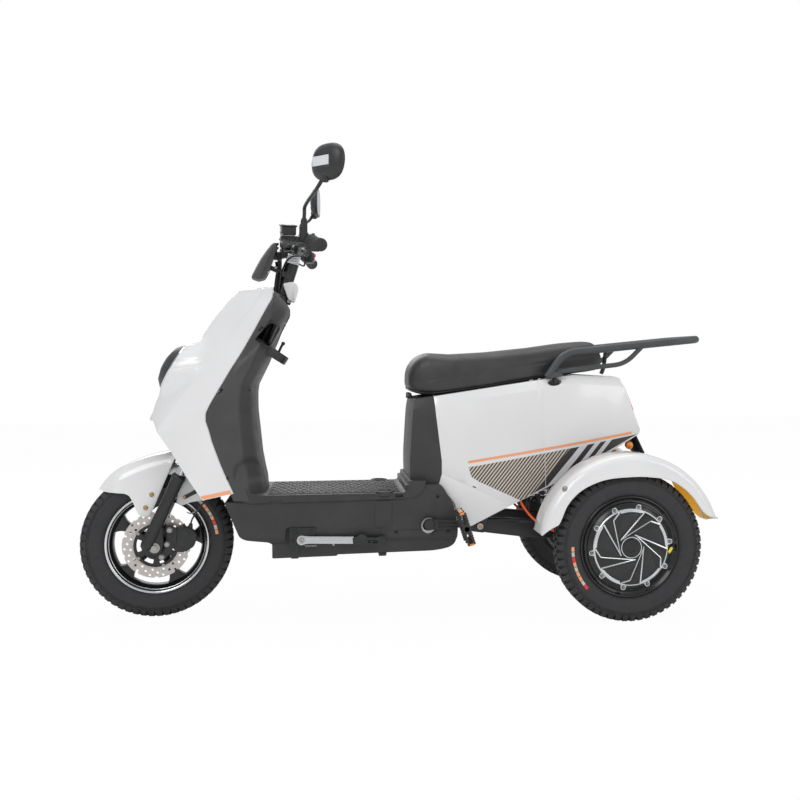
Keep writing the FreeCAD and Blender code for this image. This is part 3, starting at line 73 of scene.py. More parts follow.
class Field:
    """A value that varies over a surface: one socket of the finish being mixed."""

    def __init__(self, finish, socket):
        self.finish = finish
        self.socket = socket

    def maths(self, operation, *others):
        return self.finish.node("ShaderNodeMath", {"operation": operation},
                                dict(enumerate((self, *others))))

    def __add__(self, other):
        return self.maths("ADD", other)

    __radd__ = __add__

    def __sub__(self, other):
        return self.maths("SUBTRACT", other)

    def __rsub__(self, other):
        return self.finish.node("ShaderNodeMath", {"operation": "SUBTRACT"}, {0: other, 1: self})

    def __mul__(self, other):
        return self.maths("MULTIPLY", other)

    __rmul__ = __mul__

    def __truediv__(self, other):
        return self.maths("DIVIDE", other)

    def __pow__(self, other):
        return self.maths("POWER", other)

    def ramp(self, low, high, start=0.0, end=1.0):
        """Smooth step from start to end as the value goes from low to high."""
        return self.finish.node("ShaderNodeMapRange", {"interpolation_type": "SMOOTHSTEP"},
                                {"Value": self, "From Min": low, "From Max": high,
                                 "To Min": start, "To Max": end})


class Finish:
    """One procedural material, mixed from nodes on object coordinates."""

    def __init__(self, name):
        self.material = bpy.data.materials.new(name)
        self.material.use_nodes = True
        self.tree = self.material.node_tree
        self.tree.nodes.clear()
        self.place = self.node("ShaderNodeTexCoord", out="Object")

    def node(self, kind, settings=None, sockets=None, out=0):
        made = self.tree.nodes.new(kind)
        for key, value in (settings or {}).items():
            setattr(made, key, value)
        for key, value in (sockets or {}).items():
            if isinstance(value, Field):
                self.tree.links.new(value.socket, made.inputs[key])
            else:
                made.inputs[key].default_value = value
        return Field(self, made.outputs[out])

    def noise(self, scale, detail=2.0, rough=0.5, where=None):
        return self.node("ShaderNodeTexNoise", None,
                         {"Vector": where or self.place, "Scale": scale, "Detail": detail,
                          "Roughness": rough})

    def cells(self, scale, feature="F1"):
        return self.node("ShaderNodeTexVoronoi", {"feature": feature},
                         {"Vector": self.place, "Scale": scale}, "Distance")

    def mix(self, factor, low, high):
        """Colour from low to high as the factor goes from 0 to 1."""
        return self.node("ShaderNodeMix", {"data_type": "RGBA"},
                         {0: factor, 6: low, 7: high}, 2)

    def bump(self, height, strength, distance):
        return self.node("ShaderNodeBump", None,
                         {"Height": height, "Strength": strength, "Distance": distance})

    def axes(self, centre=(0, 0, 0)):
        """X, Y and Z of the surface point from a centre in metres."""
        moved = self.node("ShaderNodeVectorMath", {"operation": "SUBTRACT"}, {0: self.place, 1: centre})
        split = self.tree.nodes.new("ShaderNodeSeparateXYZ")
        self.tree.links.new(moved.socket, split.inputs[0])
        return [Field(self, socket) for socket in split.outputs]

    def surface(self, colour, rough, metal=0.0, normal=None, **sockets):
        values = {"Base Color": colour, "Roughness": rough, "Metallic": metal, **sockets}
        if normal is not None:
            values["Normal"] = normal
        shader = self.node("ShaderNodeBsdfPrincipled", None, values)
        self.node_output(shader)
        return self.material

    def node_output(self, shader):
        end = self.tree.nodes.new("ShaderNodeOutputMaterial")
        self.tree.links.new(shader.socket, end.inputs["Surface"])


def rgb(red, green, blue):
    """Colour written as the eye sees it, 0 to 255, for a shader."""
    return tuple(((c / 255) / 12.92 if c / 255 <= 0.04045 else ((c / 255 + 0.055) / 1.055) ** 2.4)
                 for c in (red, green, blue)) + (1,)


def moulded(name, dark, light, rough, grain=900, depth=0.00012, **sockets):
    """Grained plastic or powder coat: fine pits, faint clouds of tone and sheen."""
    f = Finish(name)
    clouds = f.noise(9, 3).ramp(0.3, 0.7)
    pits = f.noise(grain, 2, 0.6)
    tone = f.mix(clouds, dark, light)
    sheen = f.noise(38, 2).ramp(0.3, 0.7, rough - 0.04, rough + 0.05)
    return f.surface(tone, sheen, normal=f.bump(pits, 0.35, depth), **sockets)


def lacquer(name, dark, light):
    """Gloss paint on moulded panels, with a clear coat and a trace of orange peel."""
    f = Finish(name)
    tone = f.mix(f.noise(3, 2).ramp(0.3, 0.7), dark, light)
    peel = f.noise(160, 2, 0.4)
    dust = f.noise(700, 3).ramp(0.35, 0.8, 0.2, 0.27)
    return f.surface(tone, dust, normal=f.bump(peel, 0.06, 0.0002),
                     **{"Coat Weight": 0.6, "Coat Roughness": 0.06})


def polished(name, colour, rough, scratch=(90, 90, 90)):
    """Bright metal with fine tool marks."""
    f = Finish(name)
    stretched = f.node("ShaderNodeVectorMath", {"operation": "MULTIPLY"}, {0: f.place, 1: scratch})
    marks = f.noise(14, 4, 0.6, stretched)
    return f.surface(f.mix(marks.ramp(0.2, 0.8), tuple(c * 0.82 for c in colour[:3]) + (1,), colour),
                     marks.ramp(0.2, 0.8, rough - 0.03, rough + 0.06), 1.0, f.bump(marks, 0.08, 0.0001))


def tyre_rubber(name, centre):
    """Sidewall rubber with moulded rings, scuffs and a dusty tread."""
    f = Finish(name)
    x, _, z = f.axes(centre)
    radius = (x * x + z * z) ** 0.5
    rings = (radius * 2400).maths("SINE")
    on_wall = radius.ramp(0.188, 0.194, 1, 0)
    dust = f.noise(55, 4, 0.65).ramp(0.35, 0.75)
    tread = radius.ramp(0.196, 0.206)
    colour = f.mix(dust * 0.5 + tread * 0.3, rgb(38, 38, 40), rgb(64, 63, 63))
    height = rings * on_wall * 0.25 + f.noise(700, 2) * 0.6
    return f.surface(colour, dust.ramp(0, 1, 0.62, 0.8), normal=f.bump(height, 0.35, 0.0004))


def vinyl(name):
    """Seat cover: pebbled grain with soft creases in its sheen."""
    f = Finish(name)
    pebbles = f.cells(620)
    creases = f.cells(190, "DISTANCE_TO_EDGE").ramp(0, 0.12)
    tone = f.mix(f.noise(14, 3).ramp(0.3, 0.7), rgb(44, 43, 43), rgb(55, 54, 54))
    height = pebbles * 0.6 + creases * 0.5
    return f.surface(tone, creases.ramp(0, 1, 0.52, 0.42), normal=f.bump(height, 0.3, 0.0003))


def ground_steel(name, centre):
    """Disc ground in circles, a little blued where the pads run."""
    f = Finish(name)
    x, _, z = f.axes(centre)
    radius = (x * x + z * z) ** 0.5
    marks = f.node("ShaderNodeTexNoise", {"noise_dimensions": "1D"},
                   {"W": radius, "Scale": 2600.0, "Detail": 3.0})
    swept = radius.ramp(0.064, 0.072)
    colour = f.mix(marks.ramp(0.3, 0.7) * 0.6 + swept * 0.3, rgb(176, 168, 162), rgb(208, 202, 197))
    return f.surface(colour, marks.ramp(0.3, 0.7, 0.34, 0.46), 0.75, f.bump(marks, 0.12, 0.0001))


def lens(name, colour, rough=0.08, glow=0.0):
    """Fluted lamp glass, lit a little from inside."""
    f = Finish(name)
    _, y, z = f.axes()
    flutes = ((y * 900).maths("SINE") + (z * 900).maths("SINE")) * 0.5
    tone = f.mix(flutes.ramp(-1, 1), tuple(c * 0.75 for c in colour[:3]) + (1,), colour)
    return f.surface(tone, f.noise(60).ramp(0.3, 0.7, rough, rough + 0.05),
                     normal=f.bump(flutes, 0.12, 0.0004),
                     **{"Coat Weight": 0.8, "Emission Color": colour, "Emission Strength": glow})


def hatching(name, pale, dark):
    """Film printed with slanting lines."""
    f = Finish(name)
    x, _, z = f.axes()
    pitch = 0.008
    phase = ((x * 0.793 - z * 0.61) / pitch).maths("FRACT")
    line = phase.ramp(0.0, 0.06) * phase.ramp(0.5, 0.56, 1, 0)
    grain = f.noise(400, 2)
    return f.surface(f.mix(line, pale, dark), grain.ramp(0.3, 0.7, 0.34, 0.42),
                     normal=f.bump(grain, 0.3, 0.00004))


front_centre = at(0, 0, WHEEL_RADIUS)
rear_centre = at(WHEELBASE, 0, WHEEL_RADIUS)
WHITE = lacquer("white_lacquer", rgb(218, 217, 217), rgb(226, 225, 225))
CHARCOAL = moulded("charcoal_moulding", rgb(58, 57, 58), rgb(66, 65, 66), 0.5)
DARK_MOULDING = moulded("dark_moulding", rgb(44, 43, 44), rgb(51, 50, 51), 0.5)
BLACK_PLASTIC = moulded("black_moulding", rgb(33, 33, 34), rgb(42, 42, 43), 0.42, 1200)
POWDER = moulded("black_powder_coat", rgb(26, 26, 27), rgb(36, 36, 37), 0.38, 1500, 0.00008)
RACK_COAT = moulded("grey_powder_coat", rgb(60, 61, 62), rgb(70, 71, 72), 0.46, 1500, 0.0001)
GLOSS_BLACK = moulded("gloss_black_enamel", rgb(20, 20, 21), rgb(27, 27, 28), 0.2, 500, 0.00004)
RUBBER = moulded("grip_rubber", rgb(34, 34, 35), rgb(44, 44, 45), 0.66, 800, 0.0002)
MAT_RUBBER = moulded("mat_rubber", rgb(52, 51, 52), rgb(62, 61, 62), 0.6, 700, 0.0002)
FRONT_TYRE = tyre_rubber("front_tyre_rubber", front_centre)
REAR_TYRE = tyre_rubber("rear_tyre_rubber", rear_centre)
VINYL = vinyl("seat_vinyl")
DISC_STEEL = ground_steel("disc_steel", front_centre)
CHROME = polished("fork_chrome", rgb(214, 214, 216), 0.12, (20, 20, 300))
ALLOY = polished("satin_alloy", rgb(206, 206, 208), 0.34)
TURNED = polished("turned_alloy", rgb(222, 222, 223), 0.22, (60, 300, 60))
ZINC = polished("zinc_bolt", rgb(196, 160, 104), 0.36)
STEEL_BOLT = polished("steel_bolt", rgb(176, 174, 170), 0.32)
MIRROR = polished("mirror_silver", rgb(232, 234, 236), 0.05)
RED_LENS = lens("red_lens", rgb(214, 24, 34), 0.1, 0.15)
# Amber lens with a slight glow: lamp light in the turn signals, and painted light where it is used on the
# pedal reflectors.
AMBER_LENS = lens("amber_lens", rgb(232, 132, 22), 0.12, 0.1)
SMOKED_LENS = lens("smoked_lens", rgb(38, 39, 42), 0.05)
ORANGE = moulded("orange_film", rgb(232, 156, 112), rgb(240, 166, 122), 0.36, 400, 0.00004)
CABLE_ORANGE = moulded("orange_sheath", rgb(240, 88, 30), rgb(248, 100, 40), 0.42, 500)
CREAM = moulded("cream_film", rgb(196, 184, 170), rgb(206, 194, 180), 0.4, 400, 0.00004)
LIGHT_GREY = moulded("pale_grey_film", rgb(206, 207, 209), rgb(214, 215, 217), 0.32, 400, 0.00004)
DECAL_BLACK = moulded("black_film", rgb(52, 47, 47), rgb(60, 55, 55), 0.36, 400, 0.00004)
HATCH = hatching("hatched_film", rgb(200, 188, 174), rgb(58, 53, 52))
# Ochre film inside the rear fenders. Its emission is painted light: a glow that stands in for light on the
# fender's shaded inner face.
OCHRE_FILM_PAINTED_GLOW = moulded("ochre_inner_film_painted_glow", rgb(238, 184, 62), rgb(246, 196, 76), 0.4, 400, 0.00004,
                     **{"Emission Color": rgb(238, 184, 62), "Emission Strength": 0.22})
RED_BUTTON = moulded("red_button", rgb(220, 40, 40), rgb(230, 52, 50), 0.35, 400)
YELLOW_CAP = moulded("yellow_cap", rgb(232, 202, 40), rgb(240, 212, 60), 0.4, 400)


# Mesh helpers

def new_object(name, verts, faces):
    mesh = bpy.data.meshes.new(name)
    mesh.from_pydata([tuple(v) for v in verts], [], faces)
    obj = bpy.data.objects.new(name, mesh)
    bpy.context.scene.collection.objects.link(obj)
    return obj


@contextmanager
def editing(obj):
    """The object's mesh as a bmesh, written back afterwards."""
    bm = bmesh.new()
    bm.from_mesh(obj.data)
    yield bm
    bm.to_mesh(obj.data)
    bm.free()


def close_up(obj):
    """Merge doubles and turn every face outwards."""
    with editing(obj) as bm:
        bmesh.ops.remove_doubles(bm, verts=bm.verts, dist=1e-5)
        bmesh.ops.dissolve_degenerate(bm, dist=1e-6, edges=bm.edges)
        bmesh.ops.recalc_face_normals(bm, faces=bm.faces)
    return obj


def clone(obj, name):
    copy = bpy.data.objects.new(name, obj.data.copy())
    bpy.context.scene.collection.objects.link(copy)
    return copy


def settle(obj):
    """The object with its modifiers made into plain mesh."""
    graph = bpy.context.evaluated_depsgraph_get()
    mesh = bpy.data.meshes.new_from_object(obj.evaluated_get(graph), depsgraph=graph)
    obj.modifiers.clear()
    obj.data = mesh
    return obj


def modify(obj, kind, **settings):
    """Apply one modifier."""
    modifier = obj.modifiers.new(kind.lower(), kind)
    for key, value in settings.items():
        setattr(modifier, key, value)
    return settle(obj)


def shade(obj, degrees):
    """Smooth shading, kept sharp where faces meet at more than an angle."""
    obj.data.shade_smooth()
    obj.data.set_sharp_from_angle(angle=math.radians(degrees))
    return obj


def soften(obj, width=0.0015, segments=2, angle=35):
    """Round the edges and shade the rest smooth."""
    if width:
        modify(obj, "BEVEL", width=width, segments=segments, limit_method="ANGLE",
               angle_limit=math.radians(angle), harden_normals=False)
    return shade(obj, angle + 8)


def wall(obj, thickness, offset=-1.0):
    """A sheet made into a wall of a thickness."""
    return modify(obj, "SOLIDIFY", thickness=thickness, offset=offset, use_even_offset=True,
                  thickness_clamp=1.0)


def combine(obj, others, operation):
    """Boolean of an object with others, which are used up."""
    for other in others:
        modify(obj, "BOOLEAN", object=other, operation=operation, solver="EXACT")
        bpy.data.objects.remove(other)
    return obj


def carve(obj, *cutters):
    return combine(obj, cutters, "DIFFERENCE")


def keep_inside(obj, *regions):
    return combine(obj, regions, "INTERSECT")


def weld(name, objects):
    """Several meshes as one piece."""
    verts = []
    faces = []
    materials = []
    slots = []
    for obj in objects:
        start = len(verts)
        verts += [v.co.copy() for v in obj.data.vertices]
        local = list(obj.data.materials) or [None]
        for polygon in obj.data.polygons:
            faces.append([start + i for i in polygon.vertices])
            material = local[min(polygon.material_index, len(local) - 1)]
            if material not in materials:
                materials.append(material)
            slots.append((materials.index(material), polygon.use_smooth))
        bpy.data.objects.remove(obj)
    joined = new_object(name, verts, faces)
    for material in materials:
        joined.data.materials.append(material)
    for polygon, (slot, smooth) in zip(joined.data.polygons, slots):
        polygon.material_index = slot
        polygon.use_smooth = smooth
    joined.data.set_sharp_from_angle(angle=math.radians(42))
    return joined


def paint(obj, material):
    obj.data.materials.clear()
    obj.data.materials.append(material)
    return obj


def add(parts, obj, material):
    """Paint a piece and put it with the parts of its unit."""
    parts.append(paint(obj, material))


def finish(obj, body, slot, material=None, replaces=()):
    """Give a piece its material and body, and hide the part nodes that it stands for."""
    if material is not None:
        paint(obj, material)
    if body in STEERED_BODIES:
        obj.data.transform(STEER)
    obj.data.update()
    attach(obj, body)
    if replaces:
        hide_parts(*replaces)
    return obj


def assemble(name, parts, body, slot, *replaced):
    """Weld the parts of one unit and finish it."""
    return finish(weld(name, parts), body, slot, replaces=replaced)


def skin(name, rows, closed=False, ends=False):
    """Surface through rows of points; closed joins the ends of each row, ends caps the outer rows."""
    width = len(rows[0])
    verts = [point for row in rows for point in row]
    faces = []
    for r in range(len(rows) - 1):
        for c in range(width if closed else width - 1):
            a, b = r * width + c, r * width + (c + 1) % width
            faces.append((a, b, b + width, a + width))
    if ends:
        faces.append(tuple(range(width - 1, -1, -1)))
        faces.append(tuple(range((len(rows) - 1) * width, len(rows) * width)))
    return close_up(new_object(name, verts, faces))


def resample(points, count):
    """Points evenly spaced along a polyline."""
    lengths = [0.0]
    for a, b in zip(points, points[1:]):
        lengths.append(lengths[-1] + (b - a).length)
    result = []
    segment = 0
    for index in range(count):
        target = lengths[-1] * index / (count - 1)
        while segment < len(points) - 2 and lengths[segment + 1] < target:
            segment += 1
        span = lengths[segment + 1] - lengths[segment]
        share = (target - lengths[segment]) / span if span > 0 else 0
        result.append(points[segment].lerp(points[segment + 1], share))
    return result


def through(points, count, steps=10):
    """Evenly spaced points on a smooth curve through the given ones."""
    points = [Vector(p) for p in points]
    ring = [2 * points[0] - points[1]] + points + [2 * points[-1] - points[-2]]
    dense = []
    for a, b, c, d in zip(ring, ring[1:], ring[2:], ring[3:]):
        for step in range(steps):
            t = step / steps
            dense.append(0.5 * (2 * b + (c - a) * t + (2 * a - 5 * b + 4 * c - d) * t * t
                                + (3 * b - a - 3 * c + d) * t ** 3))
    dense.append(points[-1])
    return resample(dense, count)


def value_at(table, key):
    """Row of a table, its first column being the key, at any key between the rows."""
    if key <= table[0][0]:
        return table[0][1:]
    for low, high in zip(table, table[1:]):
        if key <= high[0]:
            share = (key - low[0]) / (high[0] - low[0])
            return [a + share * (b - a) for a, b in zip(low[1:], high[1:])]
    return table[-1][1:]


def on_curve(start, corner, end, t):
    """Point of the quadratic curve from start to end that bends towards a corner."""
    return start * (1 - t) ** 2 + corner * 2 * t * (1 - t) + end * t * t


def rounded(outline, radius, steps=5):
    """Outline of (a, b) pairs with its corners rounded; a third number in a corner is its own radius."""
    result = []
    count = len(outline)
    for index, corner in enumerate(outline):
        here = Vector(corner[:2])
        size = corner[2] if len(corner) > 2 else radius
        before = Vector(outline[index - 1][:2]) - here
        after = Vector(outline[(index + 1) % count][:2]) - here
        reach = min(size, before.length * 0.48, after.length * 0.48)
        if reach <= 0.05:
            result.append(here)
            continue
        start, end = here + before.normalized() * reach, here + after.normalized() * reach
        result += [on_curve(start, here, end, step / steps) for step in range(steps + 1)]
    return result


def slab(name, outline, low, high, radius=0, steps=5):
    """Plate across Y over an outline of (x, z), its corners rounded."""
    shape = rounded(outline, radius, steps) if radius or any(len(c) > 2 for c in outline) else outline
    rows = [[at(p[0], y, p[1]) for p in shape] for y in (low, high)]
    return skin(name, rows, closed=True, ends=True)


def lathe(name, profile, centre, segments=96, closed=True):
    """Solid or ring turned about a line along Y; the profile is (radius, y from the centre)."""
    rows = []
    for radius, y in profile:
        ring = []
        for step in range(segments):
            angle = 2 * math.pi * step / segments
            ring.append(centre + Vector((math.cos(angle) * radius, y, math.sin(angle) * radius)) / 1000)
        rows.append(ring)
    if closed:
        rows.append(rows[0])
    return skin(name, rows, closed=True)


def bar(name, points, radius, sides=20, smooth=True, taper=None):
    """Round bar or hose along points, its ends capped."""
    line = through(points, max(12, 8 * len(points))) if smooth else [Vector(p) for p in points]
    rows = []
    normal = None
    for index, point in enumerate(line):
        ahead = line[min(index + 1, len(line) - 1)] - line[max(index - 1, 0)]
        ahead.normalize()
        if normal is None:
            normal = ahead.orthogonal().normalized()
        normal = (normal - ahead * normal.dot(ahead)).normalized()
        across = ahead.cross(normal)
        size = radius if taper is None else taper(index / (len(line) - 1)) * radius
        rows.append([point + (normal * math.cos(a) + across * math.sin(a)) * size / 1000
                     for a in (2 * math.pi * k / sides for k in range(sides))])
    return shade(skin(name, rows, closed=True, ends=True), 45)


def bend(points, radius, steps=6):
    """Corner points of a run made into a line with round bends, for bar(..., smooth=False)."""
    points = [Vector(p) for p in points]
    line = [points[0]]
    for before, corner, after in zip(points, points[1:], points[2:]):
        back, ahead = (before - corner), (after - corner)
        reach = min(radius / 1000, back.length * 0.48, ahead.length * 0.48)
        start, end = corner + back.normalized() * reach, corner + ahead.normalized() * reach
        line += [on_curve(start, corner, end, step / steps) for step in range(steps + 1)]
    line.append(points[-1])
    return line


def plug(name, radius, low, high, centre, segments):
    """Short round bar or drill along Y."""
    return lathe(name, [(0.01, low), (radius, low), (radius, high), (0.01, high)], centre, segments)


def move(obj, matrix):
    obj.data.transform(matrix)
    return obj


def shift(obj, place):
    return move(obj, Matrix.Translation(place))


def turn(obj, degrees, axis):
    return move(obj, Matrix.Rotation(math.radians(degrees), 4, axis))


def about_axle(obj):
    """A piece drawn from the front axle, brought to the origin to be repeated from there."""
    return shift(obj, -at(0, 0, 0))


def surface_of(obj):
    return BVHTree.FromPolygons([v.co.copy() for v in obj.data.vertices],
                                [tuple(p.vertices) for p in obj.data.polygons])


def transfer(name, corners, tree, side, lift):
    """Film cut to a four-cornered patch of (x, z), laid on a panel seen from one side."""
    a, b, c, d = (Vector(corner) for corner in corners)
    steps, columns = 14, 3
    verts = []
    for row in range(steps + 1):
        for column in range(columns):
            u, v = row / steps, column / (columns - 1)
            spot = (a.lerp(b, u)).lerp(d.lerp(c, u), v)
            hit = tree.ray_cast(at(spot.x, side * 400, spot.y), Vector((0, -side, 0)))
            verts.append(at(spot.x, hit[0].y * 1000 + side * lift, spot.y))
    faces = []
    for row in range(steps):
        for column in range(columns - 1):
            i = row * columns + column
            faces.append((i, i + 1, i + 1 + columns, i + columns))
    film = new_object(name, verts, faces)
    with editing(film) as bm:
        for face in bm.faces:
            face.normal_update()
            if face.normal.y * side < 0:
                face.normal_flip()
    return shade(wall(film, 0.0003, -1), 30)


# Geometry node trees for what repeats

def copying_tree(name, sockets):
    """Copies of a piece on points, realized and given their material; what turns them is linked later."""
    tree = bpy.data.node_groups.new(name, "GeometryNodeTree")
    kinds = {"Geometry": "Geometry", "Piece": "Object", **sockets, "Material": "Material"}
    for label, kind in kinds.items():
        tree.interface.new_socket(label, in_out="INPUT", socket_type="NodeSocket" + kind)
    tree.interface.new_socket("Geometry", in_out="OUTPUT", socket_type="NodeSocketGeometry")
    inputs, outputs, source, place, real, dress = (tree.nodes.new(kind) for kind in (
        "NodeGroupInput", "NodeGroupOutput", "GeometryNodeObjectInfo", "GeometryNodeInstanceOnPoints",
        "GeometryNodeRealizeInstances", "GeometryNodeSetMaterial"))
    for start, end in ((inputs.outputs["Piece"], source.inputs["Object"]),
                       (source.outputs["Geometry"], place.inputs["Instance"]),
                       (place.outputs[0], real.inputs[0]),
                       (real.outputs[0], dress.inputs["Geometry"]),
                       (inputs.outputs["Material"], dress.inputs["Material"]),
                       (dress.outputs[0], outputs.inputs[0])):
        tree.links.new(start, end)
    return tree, inputs, place


def ring_tree():
    """Copies of a piece turned in equal steps about Y."""
    tree, inputs, place = copying_tree("copies_round_axle", {"Count": "Int", "Phase": "Float"})
    line, index, step, angle, phase, spin = (tree.nodes.new(kind) for kind in (
        "GeometryNodeMeshLine", "GeometryNodeInputIndex", "ShaderNodeMath", "ShaderNodeMath",
        "ShaderNodeMath",
        "ShaderNodeCombineXYZ"))
    line.inputs["Offset"].default_value = (0, 0, 0)
    step.operation, angle.operation, phase.operation = "DIVIDE", "MULTIPLY", "ADD"
    step.inputs[0].default_value = 2 * math.pi
    for start, end in ((inputs.outputs["Count"], line.inputs["Count"]),
                       (inputs.outputs["Count"], step.inputs[1]),
                       (index.outputs[0], angle.inputs[0]),
                       (step.outputs[0], angle.inputs[1]),
                       (angle.outputs[0], phase.inputs[0]),
                       (inputs.outputs["Phase"], phase.inputs[1]),
                       (phase.outputs[0], spin.inputs["Y"]),
                       (line.outputs[0], place.inputs["Points"]),
                       (spin.outputs[0], place.inputs["Rotation"])):
        tree.links.new(start, end)
    return tree


def studs_tree():
    """Copies of a piece on the host's points, all turned the same way."""
    tree, inputs, place = copying_tree("copies_on_points", {"Turn": "Vector"})
    tree.links.new(inputs.outputs["Geometry"], place.inputs["Points"])
    tree.links.new(inputs.outputs["Turn"], place.inputs["Rotation"])
    return tree


RING_TREE = ring_tree()
STUDS_TREE = studs_tree()


def run_tree(host, tree, values):
    modifier = host.modifiers.new("repeat", "NODES")
    modifier.node_group = tree
    for item in tree.interface.items_tree:
        if item.in_out == "INPUT" and item.name in values:
            modifier[item.identifier] = values[item.name]
    settle(host)
    bpy.data.objects.remove(values["Piece"])
    return shade(host, 40)


def ring_of(name, piece, count, centre, material, phase=0.0):
    """Copies of a piece, modelled about the origin, in a ring about a line along Y."""
    host = new_object(name, [(0, 0, 0)], [])
    run_tree(host, RING_TREE, {"Piece": piece, "Count": count, "Phase": phase, "Material": material})
    return shift(host, centre)


def studs(name, piece, points, material, turn=(0, 0, 0)):
    """Copies of a piece, modelled at the origin, on points of the frame."""
    host = new_object(name, points, [])
    return run_tree(host, STUDS_TREE, {"Piece": piece, "Turn": turn, "Material": material})


ORIGIN = Vector((0, 0, 0))


def bolt_head(radius, height, side=-1):
    """Button-headed screw with a recess, at the origin, its head out to one side."""
    floor = -height * 0.4
    head = lathe("bolt_head", [(0.01, 0), (radius, 0), (radius, -height * 0.55), (radius * 0.75, -height),
                               (radius * 0.45, -height), (radius * 0.45, floor), (0.01, floor)], ORIGIN, 16)
    if side > 0:
        turn(head, 180, "X")
    return head


# Camera, floor and light

def set_camera():
    data = bpy.data.cameras.new("camera")
    camera = bpy.data.objects.new("camera", data)
    bpy.context.scene.collection.objects.link(camera)
    camera.location = (-0.2201, -2.938, 0.7257)
    camera.rotation_euler = (math.pi / 2, 0, -0.1622)
    data.sensor_width = 36
    data.lens = 44.66
    data.shift_x = -0.106
    data.shift_y = -0.051
    bpy.context.scene.camera = camera


def set_studio():
    """Pale floor, white surround and three soft lamps."""
    floor = new_object("floor", [(-9, -9, -0.0006), (9, -9, -0.0006), (9, 9, -0.0006), (-9, 9, -0.0006)],
                       [(0, 1, 2, 3)])
    f = Finish("pale_floor")
    rays = f.tree.nodes.new("ShaderNodeLightPath")
    seen = Field(f, rays.outputs["Is Camera Ray"])
    speckle = f.noise(6, 2).ramp(0.3, 0.7)
    matt = f.node("ShaderNodeBsdfDiffuse", None,
                  {"Color": f.mix(speckle, rgb(238, 238, 238), rgb(244, 244, 244))})
    white = f.node("ShaderNodeEmission", None, {"Color": (1, 1, 1, 1), "Strength": 1.0})
    f.node_output(f.node("ShaderNodeMixShader", None, {0: seen * 0.97, 1: matt, 2: white}))
    paint(floor, f.material)

    world = bpy.data.worlds.new("surround")
    bpy.context.scene.world = world
    world.use_nodes = True
    tree = world.node_tree
    tree.nodes.clear()
    path, mixed = tree.nodes.new("ShaderNodeLightPath"), tree.nodes.new("ShaderNodeMixShader")
    dim, bright = tree.nodes.new("ShaderNodeBackground"), tree.nodes.new("ShaderNodeBackground")
    end = tree.nodes.new("ShaderNodeOutputWorld")
    dim.inputs["Color"].default_value = (0.96, 0.98, 1, 1)
    dim.inputs["Strength"].default_value = 0.62
    bright.inputs["Strength"].default_value = 1.0
    bright.inputs["Color"].default_value = (1, 1, 1, 1)
    tree.links.new(path.outputs["Is Camera Ray"], mixed.inputs[0])
    tree.links.new(dim.outputs[0], mixed.inputs[1])
    tree.links.new(bright.outputs[0], mixed.inputs[2])
    tree.links.new(mixed.outputs[0], end.inputs[0])

    for name, place, size, power in (("key", (-2.6, -3.4, 3.6), 2.6, 74), ("fill", (3.2, -3.0, 2.0), 2.4, 34),
                                     ("top", (0.2, 0.6, 4.2), 3.2, 62), ("rim", (-1.0, 3.6, 2.6), 2.4, 40)):
        data = bpy.data.lights.new(name, "AREA")
        data.energy = power
        data.size = size
        lamp = bpy.data.objects.new(name, data)
        bpy.context.scene.collection.objects.link(lamp)
        lamp.location = place
        lamp.rotation_euler = (Vector((0, 0, 0.45)) - Vector(place)).to_track_quat("-Z", "Y").to_euler()
    bpy.context.scene.view_settings.view_transform = "Standard"


set_camera()
set_studio()


# Wheels

def block(outline, width, skew=0.0):
    """Tread block over an outline of (y, radius), a little wider at its foot."""
    low = min(radius for y, radius in outline)
    verts = []
    for side in (-0.5, 0.5):
        for y, radius in outline:
            spread = 1.0 + 0.16 * (1 if radius < low + 8 else 0)
            verts.append(Vector((side * width * spread + skew * y, y, radius)) / 1000)
    count = len(outline)
    faces = [tuple(range(count)), tuple(range(2 * count - 1, count - 1, -1))]
    faces += [(i, (i + 1) % count, count + (i + 1) % count, count + i) for i in range(count)]
    return close_up(new_object("tread_block", verts, faces))


def tyre(name, node, centre, body, material, blocks):
    half = [(133, 27), (140.6, 28), (142.5, 30.6), (147, 34.6), (150, 37.2), (152, 37.2), (154, 38.2),
            (164, 40.3),
            (174, 40.6), (176, 41.2), (179, 41.2), (181, 40.2), (188, 38.6), (195, 35), (199.5, 28),
            (201.3, 18),
            (201.8, 8), (201.8, 0)]
    profile = half + [(radius, -y) for radius, y in reversed(half[:-1])]
    carcass = shade(lathe(name, profile, centre, 160), 50)
    rows = []
    shoulder = [(21, 198), (21.5, 207.3), (31, 205.4), (37.5, 198.8), (40.6, 189), (38.6, 187), (33, 193)]
    inner = [(2.2, 199), (2.2, 207.4), (17, 207.2), (17, 199)]
    for side in SIDES:
        rows.append(ring_of("shoulder_row", block([(side * y, r) for y, r in shoulder], 14.2, side * 0.12),
                            blocks,
                            centre, material, 0.05 * side))
        rows.append(ring_of("centre_row", block([(side * y, r) for y, r in inner], 13.0, side * 0.35), blocks,
                            centre, material, 0.02 + 0.03 * side))
        rib = lathe("wear_line", [(183, side * 40.4), (184, side * 41), (185, side * 40.2), (184, side * 39)],
                    centre, 96)
        rows.append(paint(rib, material))
    paint(carcass, material)
    whole = weld(name, [carcass, *rows])
    return finish(whole, body, "tyre_rubber", replaces=[node])


tyre("front_tyre_tread", "front_tyre", front_centre, "front_wheel", FRONT_TYRE, 58)
for side, hand in HANDS:
    tyre(f"rear_tyre_{hand}_tread", f"rear_tyre_{hand}", at(WHEELBASE, side * TRACK / 2, WHEEL_RADIUS),
         f"rear_wheel_{hand}", REAR_TYRE, 58)


